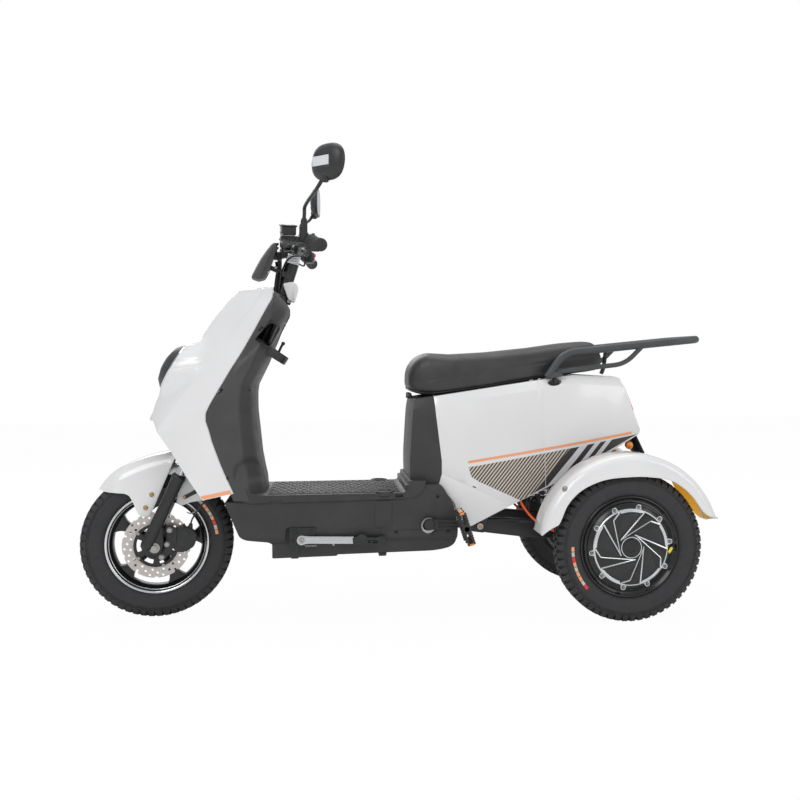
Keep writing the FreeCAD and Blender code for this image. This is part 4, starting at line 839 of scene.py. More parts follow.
def tyre_band(name, centre, body, side, start, end):
    """Plain coloured dashes moulded on a sidewall."""
    pieces = []
    colours = [ORANGE, CREAM, RED_BUTTON, ORANGE, CREAM, ORANGE]
    count = 9
    for index in range(count):
        low = math.radians(start + (end - start) * index / count)
        high = math.radians(start + (end - start) * (index + 0.88) / count)
        rows = []
        for step in range(5):
            angle = low + (high - low) * step / 4
            rows.append([centre + Vector((math.cos(angle) * r, side * y, math.sin(angle) * r)) / 1000
                         for r, y in ((161, 40.0), (161, 40.7), (169, 40.9), (169, 40.0))])
        pieces.append(paint(skin("dash", rows, closed=True, ends=True), colours[index % len(colours)]))
    return assemble(name, pieces, body, "soft_rubber")


tyre_band("front_tyre_band", front_centre, "front_wheel", -1, 8, 52)
tyre_band("rear_tyre_band_left", at(WHEELBASE, -TRACK / 2, WHEEL_RADIUS), "rear_wheel_left", -1, 178, 222)
tyre_band("rear_tyre_band_right", at(WHEELBASE, TRACK / 2, WHEEL_RADIUS), "rear_wheel_right", 1, 178, 222)


def front_rim():
    band = lathe("rim_band", [(141, 31), (141, 27), (132, 26.6), (132, -26.6), (141, -27), (141, -31),
                              (137, -31),
                              (130, -22), (122, -16), (119, -6), (119, 6), (122, 16), (130, 22), (137, 31)],
                 front_centre, 128)
    soften(band, 0.0008)
    hub = lathe("rim_hub", [(8, -40), (24, -40), (28, -36), (33, -26), (34, 0), (33, 26), (28, 36), (24, 40),
                            (8, 40)],
                front_centre, 64)
    soften(hub, 0.0012)
    spoke = slab("spoke", [(-13, 26), (13, 26), (10.5, 52, 14), (9, 78, 20), (15, 104, 14), (27, 118, 5),
                           (25, 122),
                           (-25, 122), (-27, 118, 5), (-15, 104, 14), (-9, 78, 20), (-10.5, 52, 14)], -12, 12)
    about_axle(spoke)
    soften(spoke, 0.003, 3)
    spokes = ring_of("rim_spokes", spoke, 5, front_centre, GLOSS_BLACK, math.radians(10))
    rim = weld("front_wheel_rim", [paint(band, GLOSS_BLACK), paint(hub, GLOSS_BLACK), spokes])
    finish(rim, "front_wheel", "frame_black", replaces=["front_rim"])
    lips = []
    for side in SIDES:
        lip = lathe("lip", [(141.3, side * 31.2), (141.3, side * 28.6), (136.5, side * 31.8),
                            (134.2, side * 30.4),
                            (134.6, side * 32.2), (137.6, side * 33.6), (140.6, side * 33)], front_centre,
                            160)
        ring = lathe("lip_ring", [(130.6, side * 24), (129, side * 22.6), (129.4, side * 26),
                                  (131, side * 27)],
                     front_centre, 160)
        lips += [soften(lip, 0.0004), soften(ring, 0.0003)]
    assemble("front_rim_lips", [paint(lip, TURNED) for lip in lips], "front_wheel", "bright_metal")


front_rim()


def polar(radius, degrees):
    angle = math.radians(degrees)
    return (math.cos(angle) * radius, math.sin(angle) * radius)


def brake_disc():
    """Ground disc with a waved edge and rows of holes, bolted to a windowed carrier."""
    y = -52
    middle = front_centre + Vector((0, y / 1000, 0))
    plate = lathe("disc", [(62, y), (92, y), (92, y + 4), (62, y + 4)], front_centre, 160)
    wave = slab("wave", [(-6, 90.4), (-3, 88.6, 4), (3, 88.6, 4), (6, 90.4), (6, 96), (-6, 96)], -8, 8)
    about_axle(wave)
    holes = [ring_of("edge_waves", wave, 10, middle, DISC_STEEL)]
    for radius, across, phase in ((86, 4.4, 0.0), (78, 4.4, 0.17), (70, 4.4, 0.36)):
        drill = shift(plug("drill", across / 1.25, -9, 9, ORIGIN, 14), (0, 0, radius / 1000))
        holes.append(ring_of("holes", drill, 15, middle, DISC_STEEL, phase))
    carve(plate, *holes)
    soften(plate, 0)
    finish(plate, "front_wheel", "disc_steel", DISC_STEEL, ["brake_disc"])
    ring = lathe("carrier", [(20, y - 8), (30, y - 8), (34, y), (34, y + 3), (20, y + 3)], front_centre, 48)
    arms = lathe("carrier_plate", [(22, y - 1.5), (60.5, y - 1.5), (61.5, y - 0.5), (61.5, y + 3),
                                   (22, y + 3)],
                 front_centre, 120)
    arc = [polar(53, 90 - 20 + 5 * k) for k in range(9)] + [polar(41, 90 + 20 - 5 * k) for k in range(9)]
    crescent = slab("crescent", [(x, z, 4) if abs(x) > 13 else (x, z, 0) for x, z in arc], -8, 8)
    about_axle(crescent)
    carve(arms, ring_of("crescents", crescent, 6, middle, GLOSS_BLACK, 0.52))
    soften(arms, 0.0008)
    paint(arms, GLOSS_BLACK)
    stud = shift(bolt_head(5.2, 3.6), (0, (y - 1.5) / 1000, 0.0585))
    bolts = ring_of("disc_bolts", stud, 5, front_centre, STEEL_BOLT, 0.3)
    assemble("disc_carrier", [paint(ring, GLOSS_BLACK), arms, bolts], "front_wheel", "disc_steel")


brake_disc()


def hub_cover(side, hand):
    """Outer face of a rear hub: stepped rim, bolted cover, five swept blades edged in bright metal."""
    body = f"rear_wheel_{hand}"
    middle = at(WHEELBASE, side * TRACK / 2, WHEEL_RADIUS)

    def out(depth):
        return side * depth
    drum = lathe("drum", [(r, out(y)) for r, y in (
        (9, -34), (112, -34), (118, -28), (126, -26), (134, -31), (141, -31), (141, -27), (132, -26.5),
        (132, 26.5),
        (141, 27), (141, 31), (137.5, 33), (135, 31), (131, 26), (127, 24.5), (123, 26), (121, 30), (118, 31),
        (116, 33), (108, 37), (104.5, 39), (103.5, 38.2), (40, 38.2), (30, 40), (28, 42.4), (27, 43),
        (9, 43))],
        middle, 160)
    soften(drum, 0.0005)
    pieces = [paint(drum, GLOSS_BLACK)]

    def place_on(piece, name, material, phase=0.0, count=5):
        return ring_of(name, piece, count, middle, material, phase)

    def face_slab(name, points, low, high, radius=1.5, steps=3):
        made = slab(name, [(x, z) for x, z in points], side * low, side * high, radius, steps)
        return about_axle(made)
    lug = face_slab("rim_lug", [(-11, 103), (11, 103), (8, 109), (7, 115), (4, 119.5), (-4, 119.5),
                                (-7, 115), (-8, 109)], 32, 38.4)
    soften(lug, 0.0008)
    pieces.append(place_on(lug, "cover_lugs", ALLOY, 0.2, 10))
    band = lathe("cover_band", [(r, out(y)) for r,
                                y in ((102.6, 37.6), (107.5, 36.6), (107.5, 38), (105, 40.4),
                                                         (102.6, 40.4))], middle, 160)
    pieces.append(paint(soften(band, 0.0004), TURNED))
    cap = lathe("cap_band", [(r, out(y)) for r, y in ((27.2, 42), (29.4, 42), (29.4, 43.8), (27.2, 43.8))],
                middle, 64)
    pieces.append(paint(soften(cap, 0.0003), TURNED))
    blade = [polar(36.5, 0), polar(101, -76), polar(104, -84), polar(104, -100), polar(101, -107),
             polar(90, -92)]
    arm = face_slab("cover_blade", blade, 37.6, 40.2, 1.0)
    soften(arm, 0.0006)
    pieces.append(place_on(arm, "cover_blades", GLOSS_BLACK))
    edge_points = [polar(102, -107), polar(90, -92), polar(36, -2), polar(36, 2), polar(102, -75.5)]
    line = [Vector((x, out(39.9), z)) / 1000 for x, z in edge_points]
    edge = bar("blade_edge", bend(line, 3), 2.3, 8, smooth=False, taper=lambda t: 0.5 + 0.6 * abs(2 * t - 1))
    pieces.append(place_on(edge, "blade_edges", TURNED))
    arc = [polar(102.8, -76 + 3.4 * k) for k in range(13)] + [polar(97.5, -38 - 3.2 * k) for k in range(11)]
    rim_arc = face_slab("cover_arc", arc, 37.6, 40.4, 0)
    soften(rim_arc, 0.0006)
    pieces.append(place_on(rim_arc, "cover_arcs", TURNED))
    pieces.append(paint(plug("cap_face", 9.4, out(41), out(42.8), middle, 32), GLOSS_BLACK))
    inner = face_slab("cover_panel", [polar(92, -112), polar(96, -140), polar(70, -134), polar(46, -60)],
                      37.6, 38.7, 4)
    soften(inner, 0.0006)
    pieces.append(place_on(inner, "cover_panels", BLACK_PLASTIC))
    washer = plug("lug_washer", 4.6, out(37), out(39.2), Vector((0, 0, 0.1126)), 20)
    pieces.append(ring_of("lug_washers", washer, 10, middle, GLOSS_BLACK, 0.2))
    screw = shift(bolt_head(3.1, 3.4, side), (0, out(38.2) / 1000, 0.1126))
    pieces.append(ring_of("cover_bolts", screw, 10, middle, STEEL_BOLT, 0.2))
    assemble(f"hub_cover_{hand}", pieces, body, "cast_alloy", f"hub_motor_{hand}")
    foot = middle + Vector((0.126, side * 0.0255, 0.002))
    stem = bar("valve_stem", [foot, foot + Vector((-0.004, side * 0.006, -0.003)),
                              foot + Vector((-0.009, side * 0.012, -0.008))], 3.0, 12)
    tip = bar("valve_cap", [foot + Vector((-0.0085, side * 0.0116, -0.0074)),
                            foot + Vector((-0.0185, side * 0.0180, -0.0185))], 4.0, 12)
    assemble(f"valve_{hand}", [paint(stem, RUBBER), paint(tip, YELLOW_CAP)], body, "soft_rubber")


for side, hand in HANDS:
    hub_cover(side, hand)


# Front apron, its lamp and the leg shield

APRON = [
    # height, nose, crease, crease half width, seam
    (335, 30, 64, 154, 230), (346, 30, 70, 150, 226), (415, -20, 30, 138, 195), (439, -20, 12, 132, 185),
    (500, -20, 12, 118, 163), (530, -19, 13, 112, 155), (556, -25, 30, 110, 146), (580, -14, 47, 110, 146),
    (603, -8, 64, 110, 157), (645, 22, 93, 110, 181), (698, 58, 131, 110, 212), (743, 87, 165, 110, 240),
    (775, 108, 190, 108, 258), (809, 131, 216, 106, 277), (849, 157, 245, 104, 298),
    (878, 180, 267, 102, 314),
    (895, 193, 279, 100, 323), (912, 209, 288, 97, 324), (920, 219, 292, 96, 321),
]
LAMP_MIDDLE = (44, 702)
LAMP_LEAN = math.radians(28.9)


def seam_half(height):
    return 165 - 12 * max(0, min(1, (height - 878) / 17))


def corner_curve(before, corner, after, reach, steps=5):
    """Points of a rounded corner between two straight runs."""
    back, ahead = before - corner, after - corner
    start = corner + back.normalized() * min(reach, back.length * 0.45)
    end = corner + ahead.normalized() * min(reach, ahead.length * 0.45)
    return [on_curve(start, corner, end, k / steps) for k in range(steps + 1)]


def smooth_share(low, high, value):
    t = max(0.0, min(1.0, (value - low) / (high - low)))
    return t * t * (3 - 2 * t)


def apron_half_row(height):
    """Plan points (x, y) from the seam round the crease to the middle of the nose."""
    nose, crease, wide, seam = value_at(APRON, height)
    side = seam_half(height)
    edge, fold = Vector((seam, side)), Vector((crease, wide))
    bow = Vector((crease - seam, wide - side))
    outward = Vector((bow.y, -bow.x)).normalized() * (1 if bow.x < 0 else -1)
    wing = [edge + Vector((5, -7)), edge + Vector((1.5, -3)), edge]
    for k in range(1, 9):
        t = k / 9
        wing.append(edge.lerp(fold, t) + outward * 4.5 * math.sin(math.pi * t))
    front = []
    for k in range(1, 19):
        t = k / 18
        y = wide * (1 - t)
        front.append(Vector((nose + (crease - nose) * (y / wide) ** 1.32, y)))
    turn = corner_curve(wing[-1], fold, front[0], 9, 4)
    return wing + turn + front


def lamp_pull(x, y, z):
    """Nose brought forward to the flat round the lamp."""
    middle_x, middle_z = LAMP_MIDDLE
    plane = middle_x + (z - middle_z) * math.tan(LAMP_LEAN)
    up = (z - middle_z) / math.cos(LAMP_LEAN)
    radius = math.hypot(y, up)
    share = 1 - smooth_share(78, 118 if up < 0 else 98, radius)
    return x + (min(plane, x) - x) * share


def stem_opening(radius, depth):
    """Drill for the steering's way through the top of the front body."""
    hole = turn(plug("stem_opening", radius, -depth, 60, ORIGIN, 48), 90, "X")
    return shift(hole, at(axis_x(925), 0, 925))


def front_apron():
    """White shell with its nose, mouth and round lamp."""
    rows = []
    heights = [335, 346, 358] + [358 + 9.5 * k for k in range(1, 59)] + [918]
    for height in heights:
        half = apron_half_row(height)
        full = half + [Vector((p.x, -p.y)) for p in reversed(half[:-1])]
        rows.append([at(lamp_pull(p.x, p.y, height), p.y, height) for p in full])
    top = rows[-1]
    hub = at(320, 0, 928)
    for share, height in ((0.985, 921.5), (0.95, 924.5), (0.86, 926.5), (0.7, 928), (0.45, 929.5),
                          (0.16, 930), (0.0, 930)):
        rows.append([Vector((hub.x + (p.x - hub.x) * share, p.y * share, height / 1000)) for p in top])
    shell = skin("front_apron_shell", rows)
    wall(shell, 0.003)
    mouth = slab("mouth", [(-120, 300), (-120, 552), (-8, 552.5), (9, 531), (55, 472), (105, 393), (140, 342),
                           (146, 344.5), (221, 359.5), (260, 359), (260, 300)], -230, 230)
    window = plug("lamp_window", 75.5, -60, 60, ORIGIN, 96)
    lamp_turn = (Matrix.Translation(at(LAMP_MIDDLE[0], 0, LAMP_MIDDLE[1]))
                 @ Matrix.Rotation(LAMP_LEAN, 4, "Y") @ Matrix.Rotation(math.radians(90), 4, "Z"))
    move(window, lamp_turn)
    carve(shell, mouth, stem_opening(34, 60), window)
    soften(shell, 0, angle=26)
    finish(shell, "chassis", "white_paint", WHITE, ["front_apron"])

    rim = lathe("lamp_rim", [(75.2, 3), (75.2, -1.6), (73.4, -3), (70, -1.6), (70, 3)], ORIGIN, 128)
    glass_profile = [(0.01, -6.4), (16, -6.2), (34, -5.3), (52, -3.6), (70, -1), (70, 1.5), (0.01, 1.5)]
    glass = lathe("lamp_glass", glass_profile, ORIGIN, 96)
    cup = lathe("lamp_cup", [(71, 2), (50, 20), (24, 28), (0.01, 30), (0.01, 32), (26, 30), (52, 22),
                             (74, 2)], ORIGIN, 96)
    bezel = lathe("lamp_bezel", [(44, -4.8), (46, -5.4), (48, -4.6), (47, -3.4), (44, -3.8)], ORIGIN, 96)
    for piece in (rim, glass, cup, bezel):
        soften(piece, 0)
        move(piece, lamp_turn)
    bead = lathe("lamp_bead", [(0.01, -1.1), (0.9, -0.7), (1.1, 0), (0.9, 0.7), (0.01, 1.1)], ORIGIN, 8)
    shift(bead, (0, -0.0026, 0.0722))
    beads = ring_of("lamp_beads", bead, 110, ORIGIN, CHROME)
    move(beads, lamp_turn)
    whole = weld("headlamp_unit", [paint(rim, CHROME), paint(glass, SMOKED_LENS), paint(cup, BLACK_PLASTIC),
                                   paint(bezel, CHROME), beads])
    finish(whole, "chassis", "clear_lens", replaces=["headlamp"])
    return surface_of(shell)


APRON_FACE = front_apron()


def apron_films():
    """Orange bands at the foot of the apron."""
    films = []
    for side in SIDES:
        film = transfer("apron_band", [(133.5, 354), (212, 369.6), (216.5, 360), (140.5, 345)], APRON_FACE,
                        side, 0.25)
        films.append(paint(film, ORANGE))
    assemble("apron_bands", films, "chassis", "white_paint")


apron_films()

LEG_SHIELD = [
    # height, side, rear corner, rear
    (338, 268, 300, 307), (351, 262, 296, 304), (388, 258, 292, 301), (455, 246, 279, 287),
    (530, 238, 270, 279),
    (575, 234, 266, 274), (603, 235, 266, 273), (631, 238, 266, 273), (654, 242, 269, 276),
    (712, 270, 297, 304),
    (805, 306, 334, 341), (851, 326, 357, 364), (870, 328, 357, 364), (880, 329, 352, 360),
    (905, 331, 335, 341),
]


def shield_half_row(height):
    """Plan points (x, y) of the leg shield from its seam to the middle of its back."""
    side, corner, rear = value_at(LEG_SHIELD, height)
    _, crease, fold, seam = value_at(APRON, height)
    wide = seam_half(height) - 2
    start = Vector((seam + 1.5, wide - 1.5))
    lip = Vector((seam + 12, wide))
    bend_at = Vector((side, wide - 5))
    far = Vector((corner, 112))
    back = Vector((rear, 78))
    inward = Vector((crease - seam, fold - seam_half(height))).normalized()
    line = [start + inward * 13 + Vector((3, -4)), start, lip]
    for k in range(1, 6):
        line.append(lip.lerp(bend_at, k / 6))
    line += corner_curve(line[-1], bend_at, far, 26, 6)
    line += corner_curve(line[-1], far, back, 16, 4)
    for k in range(1, 9):
        t = k / 8
        line.append(Vector((rear + 3 * math.sin(math.pi / 2 * t), 78 * (1 - t))))
    return line


def inside_loop(x, z, loop):
    hit = False
    for (x1, z1), (x2, z2) in zip(loop, loop[1:] + loop[:1]):
        if (z1 > z) != (z2 > z) and x < (x2 - x1) * (z - z1) / (z2 - z1) + x1:
            hit = not hit
    return hit


def edge_distance(x, z, loop):
    best = 1e9
    point = Vector((x, z))
    for a, b in zip(loop, loop[1:] + loop[:1]):
        a, b = Vector(a), Vector(b)
        span = b - a
        t = max(0, min(1, (point - a).dot(span) / span.length_squared))
        best = min(best, (point - a - span * t).length)
    return best


FOOT_RECESS = [(216, 386), (217, 425), (228, 444), (246, 454), (266, 455), (286, 446), (300, 430),
               (306, 404), (306, 384)]
POCKET_SWELL = [(214, 700), (206, 672), (218, 656), (262, 626), (290, 655), (330, 730), (347, 770),
                (340, 800), (305, 790)]


def shield_shape(x, y, z):
    """Moulded swellings and recesses of the shield, as a change of half width."""
    if y < 20:
        return y
    change = 0.0
    if inside_loop(x, z, FOOT_RECESS):
        change -= 13 * smooth_share(0, 13, edge_distance(x, z, FOOT_RECESS))
    if inside_loop(x, z, POCKET_SWELL):
        change += 7 * smooth_share(0, 16, edge_distance(x, z, POCKET_SWELL))
    return y + change


HOLDER = [(319, 829, 14), (344, 813, 9), (316, 760, 4), (277, 779, 4)]


def leg_shield():
    """Dark back of the front body with its open holder, key lock and slots."""
    rows = []
    for height in range(338, 906, 7):
        half = resample([Vector((p.x, p.y, 0)) for p in shield_half_row(height)], 56)
        half = [Vector((p.x, shield_shape(p.x, p.y, height), 0)) for p in half]
        full = half + [Vector((p.x, -p.y, 0)) for p in reversed(half[:-1])]
        rows.append([at(p.x, p.y, height) for p in full])
    crown = rows[-1]
    hub = at(318, 0, 914)
    for share, height in ((0.98, 909), (0.93, 911.5), (0.8, 913.5), (0.5, 915), (0.2, 915.5)):
        rows.append([Vector((hub.x + (p.x - hub.x) * share, p.y * share, height / 1000)) for p in crown])
    shell = skin("leg_shield_shell", rows)
    modify(shell, "SOLIDIFY", thickness=0.003, offset=-1)
    key_place = at(346, 40, 835)
    key = shift(turn(plug("key_opening", 13, -20, 20, ORIGIN, 32), 90, "Z"), key_place)
    cutters = [slab("holder", HOLDER, -210, -100), stem_opening(33, 160), key]
    for side in SIDES:
        slot = slab("shield_slot", [(181, 630, 3), (195, 641, 3), (190, 648, 3), (178, 636, 3)], side * 120,
                    side * 200)
        cutters.append(slot)
    carve(shell, *cutters)
    soften(shell, 0, angle=28)
    box = slab("holder_walls", [(319, 833, 15), (349, 814, 10), (318, 756, 5), (272, 778, 5)], -160, -76)
    carve(box, slab("holder_hollow", HOLDER, -200, -79))
    rows = []
    for height in range(700, 845, 8):
        half = [Vector((p.x - 4, p.y - 4)) for p in shield_half_row(height)]
        rows.append([at(p.x, p.y, height) for p in half] + [at(p.x, -p.y, height) for p in reversed(half)])
    keep_inside(box, skin("envelope", rows, closed=True, ends=True))
    soften(box, 0)
    lock = lathe("key_lock", [(0.01, -6), (11.5, -6), (12.6, -3), (12.6, 8), (0.01, 8)], ORIGIN, 40)
    soften(shift(turn(lock, -90, "Z"), key_place), 0.0008)
    parts = [paint(shell, CHARCOAL), paint(box, BLACK_PLASTIC), paint(lock, STEEL_BOLT)]
    face = surface_of(shell)
    points = []
    for x, z in ((291, 806), (262, 640), (206, 402), (297, 812)):
        hit = face.ray_cast(at(x, -400, z), Vector((0, 1, 0)))
        points.append(hit[0] + Vector((0, -0.0002, 0)))
    parts.append(studs("shield_screws", bolt_head(3.6, 2.4), points, POWDER))
    assemble("leg_shield_moulding", parts, "chassis", "black_plastic", "leg_shield")


leg_shield()


def bottle_hook():
    """Strap-like hook that swings out of the leg shield, with its spur."""
    strap = []
    for side in SIDES:
        line = [at(262, side * 60 - 60, 786), at(300, side * 58 - 60, 760), at(330, side * 46 - 60, 738),
                at(354, side * 22 - 60, 722)]
        strap += line if side < 0 else list(reversed(line))
    rows = []
    line = through(strap, 60)
    for index, point in enumerate(line):
        ahead = (line[min(index + 1, 59)] - line[max(index - 1, 0)]).normalized()
        up = Vector((0.52, 0, 0.85))
        up = (up - ahead * up.dot(ahead)).normalized()
        out = ahead.cross(up)
        wide, thick = 0.0115, 0.0032
        rows.append([point + up * a * wide + out * b * thick for a, b in (
            (-1, -0.6), (-0.8, -1), (0.8, -1), (1, -0.6), (1, 0.6), (0.8, 1), (-0.8, 1), (-1, 0.6))])
    hook = skin("hook_strap", rows, closed=True, ends=True)
    soften(hook, 0)
    spur = bar("hook_spur", [at(336, -60, 742), at(345, -60, 762), at(349, -60, 768)], 3.6, 12)
    knob = lathe("spur_knob", [(0.01, -6), (4.6, -6), (5.4, -4.5), (5.4, 4.5), (4.6, 6), (0.01, 6)],
                 at(350, -60, 770), 20)
    pivot = lathe("hook_pivot", [(0.01, -0.5), (3.4, -0.5), (3.4, 2.6), (0.01, 2.6)], at(272, -124, 781), 16)
    parts = [paint(p, BLACK_PLASTIC) for p in (hook, spur, knob)] + [paint(pivot, STEEL_BOLT)]
    assemble("carry_hook", parts, "chassis", "black_plastic", "bag_hook")


bottle_hook()


# Floor tray and belly

def groove(shell, lines, y, radius=0.9):
    """Fine seams cut along lines of (x, z) on both flanks."""
    cutters = []
    for side in SIDES:
        for line in lines:
            cutters.append(bar("seam", [at(x, side * y, z) for x, z in line], radius, 6, smooth=False))
    return carve(shell, *cutters)


BELLY_SIDE = [(196, 334, 3), (236, 238, 14), (252, 229, 12), (312, 221, 10), (323, 215, 4), (323, 174, 4),
              (499, 176, 2),
              (503, 180, 2), (781, 183, 30), (835, 196, 34), (840, 252, 26), (826, 315, 14), (792, 372, 12),
              (690, 372, 2), (690, 338, 2)]


def belly():
    """Tub under the floor, with the stand's recess, columns, clips and feet."""
    tub = slab("belly", BELLY_SIDE, -154, 154, 2, 6)
    flank = [(-154, 400), (-154, 240), (-151, 226), (-139, 214), (-137, 200), (-130, 150),
             (130, 150), (137, 200), (139, 214), (151, 226), (154, 240), (154, 400)]
    rows = [[at(x, y, z) for y, z in flank] for x in (100, 900)]
    keep_inside(tub, skin("flank", rows, closed=True, ends=True))
    cutters = []
    for side in SIDES:
        if side < 0:
            cutters.append(slab("stand_recess", [
                (360, 261, 9), (433, 261, 8), (436, 238, 3), (560, 232, 3), (640, 222, 4), (600, 200, 4),
                (505, 186, 4),
                (372, 187, 12), (358, 200, 8)], -168, -142))
        cutters.append(plug("crank_hole", 23, -30, 30, at(757, side * 154, 257), 48))
        cutters.append(plug("tray_hole", 5.2, -8, 8, at(781, side * 154, 339), 24))
    carve(tub, *cutters)
    groove(tub, [[(640, 245), (700, 247), (838, 250)], [(440, 243), (560, 240), (640, 245)],
                 [(330, 226), (330, 178)]], 154)
    soften(tub, 0.0022, 3, 40)
    parts = [paint(tub, DARK_MOULDING)]
    for side in SIDES:
        column = []
        for height in (247, 252, 262, 290, 318, 330):
            swell = smooth_share(246, 262, height)
            column.append([at(628 + 26 * math.sin(a), side * (153 + 5.5 * swell * math.cos(a)), height)
                           for a in (math.radians(-90 + 15 * k) for k in range(13))]
                          + [at(654, side * 149, height), at(602, side * 149, height)])
        add(parts, soften(skin("belly_column", column, closed=True, ends=True), 0), DARK_MOULDING)
        for x in (664, 811):
            clip = lathe("clip", [(0.01, -2), (6, -2), (6.5, 0), (6.5, 4), (0.01, 4)],
                         at(x, side * 152, 238), 20)
            add(parts, clip, BLACK_PLASTIC)
        collar = lathe("crank_washer", [(15, -1), (22.5, -1), (22.5, 1), (15, 1)], at(754, side * 148, 257),
                       48)
        add(parts, collar, LIGHT_GREY if side < 0 else BLACK_PLASTIC)
    for x in (372, 616):
        foot = slab("belly_foot", [(x, 178, 2), (x + 24, 178, 2), (x + 22, 169, 2), (x + 2, 169, 2)], -120,
                    120)
        add(parts, soften(foot, 0.001), DARK_MOULDING)
    return assemble("belly_tub", parts, "chassis", "black_plastic", "belly_cowl")


belly()


def floor_tray():
    """Deck moulding with its slots and drain cups."""
    side_view = [(222, 372, 6), (228, 352, 8), (243, 336, 10), (262, 331, 8), (560, 333, 10), (700, 336, 12),
                 (728, 343, 16), (744, 366, 12), (748, 384, 4), (700, 384, 2), (697, 360, 8), (684, 352, 6),
                 (300, 352, 8), (262, 360, 8), (250, 384, 4), (226, 384, 2)]
    tray = slab("floor_tray_moulding", side_view, -159, 159, 3, 6)
    cutters = []
    for side in SIDES:
        cutters.append(slab("tray_slot", [(320, 337), (352, 338), (350, 331), (318, 330)], side * 156,
                            side * 170))
        cutters.append(slab("latch_slot", [(660, 347), (682, 347), (684, 340), (662, 339)], side * 150,
                            side * 170))
    carve(tray, *cutters)
    soften(tray, 0.009, 5, 50)
    parts = [paint(tray, DARK_MOULDING)]
    for side in SIDES:
        cup = lathe("cup", [(0.01, 0), (22, 0), (25, 3), (25, 14), (21, 15), (19.5, 10), (0.01, 9)], ORIGIN,
                    40)
        shift(turn(cup, 90, "X"), at(632, side * 140, 341.5))
        add(parts, soften(cup, 0.0008), DARK_MOULDING)
    assemble("floor_tray", parts, "chassis", "black_plastic", "floor_board")


floor_tray()


def floor_mat():
    """Rubber mat, its chevron treads copied over the deck."""
    sheet = slab("mat_sheet", [(312, 351.6), (312, 354), (674, 354), (674, 351.6)], -141, 141)
    soften(sheet, 0.0008)
    points = []
    for row in range(17):
        for column in range(-4, 5):
            points.append(at(324 + row * 21 + (10.5 if column % 2 else 0), column * 30, 354.3))
    treads = [Vector((dx, dy, dz)) / 1000 for dx, dy, dz in (
        (-6, -12, -0.5), (0, 0, -0.5), (-6, 12, -0.5), (-1, 12, -0.5), (5, 0, -0.5), (-1, -12, -0.5))]
    tops = [v * 0.86 + Vector((0, 0, 0.0013)) for v in treads]
    chevron = skin("chevron", [treads, tops], closed=True, ends=True)
    raised = studs("mat_treads", chevron, points, MAT_RUBBER)
    assemble("floor_mat_treads", [paint(sheet, MAT_RUBBER), raised], "chassis", "soft_rubber", "floor_mat")


floor_mat()


# Rear body: seat box, side panels, tail

REAR_SECTIONS = [
    (670, 604, 110, 122, 122, 114), (790, 622, 122, 134, 132, 124), (1000, 654, 130, 148, 146, 134),
    (1180, 680, 128, 146, 142, 130), (1320, 672, 108, 124, 120, 110), (1400, 640, 96, 108, 106, 98),
]
BODY_OUTLINE = [(707, 364, 6), (705, 436, 30), (713, 570, 30), (717, 604, 14), (728, 640, 2), (728, 730),
                (1338, 730),
                (1326, 664, 10), (1342, 639, 20), (1368, 569, 20), (1390, 514, 8), (1383, 503, 4),
                (1293, 453, 20),
                (1096, 353, 20), (994, 306, 4), (925, 271, 4), (878, 247, 5), (838, 290, 4), (834, 313, 6),
                (793, 364, 4)]
SPLITS = {
    "seat_box_cover": [(600, 300), (600, 700), (773.5, 700), (773.5, 616), (778.5, 570), (795.5, 436),
                       (795.5, 399),
                       (786.5, 366), (786.5, 300)],
    "side_covers": [(773.5, 616), (773.5, 740), (1076, 740), (1076, 656), (1091, 494), (1094, 415),
                    (1096, 353),
                    (1096, 300), (994, 306), (795.5, 399), (795.5, 436), (778.5, 570)],
    "lower_covers": [(786.5, 200), (786.5, 366), (795.5, 399), (994, 306), (1096, 260), (1096, 200)],
    "tail_cover": [(1076, 656), (1076, 740), (1440, 740), (1440, 300), (1096, 300), (1096, 353), (1094, 415),
                   (1091, 494)],
}


def rear_section(x, inset):
    top, crown, shoulder, waist, sill = value_at(REAR_SECTIONS, x)
    half = [(crown * 0.5, top + 3 - inset), (crown - inset, top - inset),
            (shoulder - inset, top - 26 - inset),
            (shoulder * 0.3 + waist * 0.7 + 2.5 - inset, 540), (waist - inset, 440), (sill - inset, 215)]
    return [at(x, y, z) for y, z in half + [(-y, z) for y, z in reversed(half)]]


def rear_solid(inset):
    stations = [670, 700, 745, 790, 860, 930, 1000, 1060, 1120, 1180, 1225, 1275, 1320, 1400]
    rows = [rear_section(x, inset) for x in stations]
    return skin("rear_solid", rows, closed=True, ends=True)


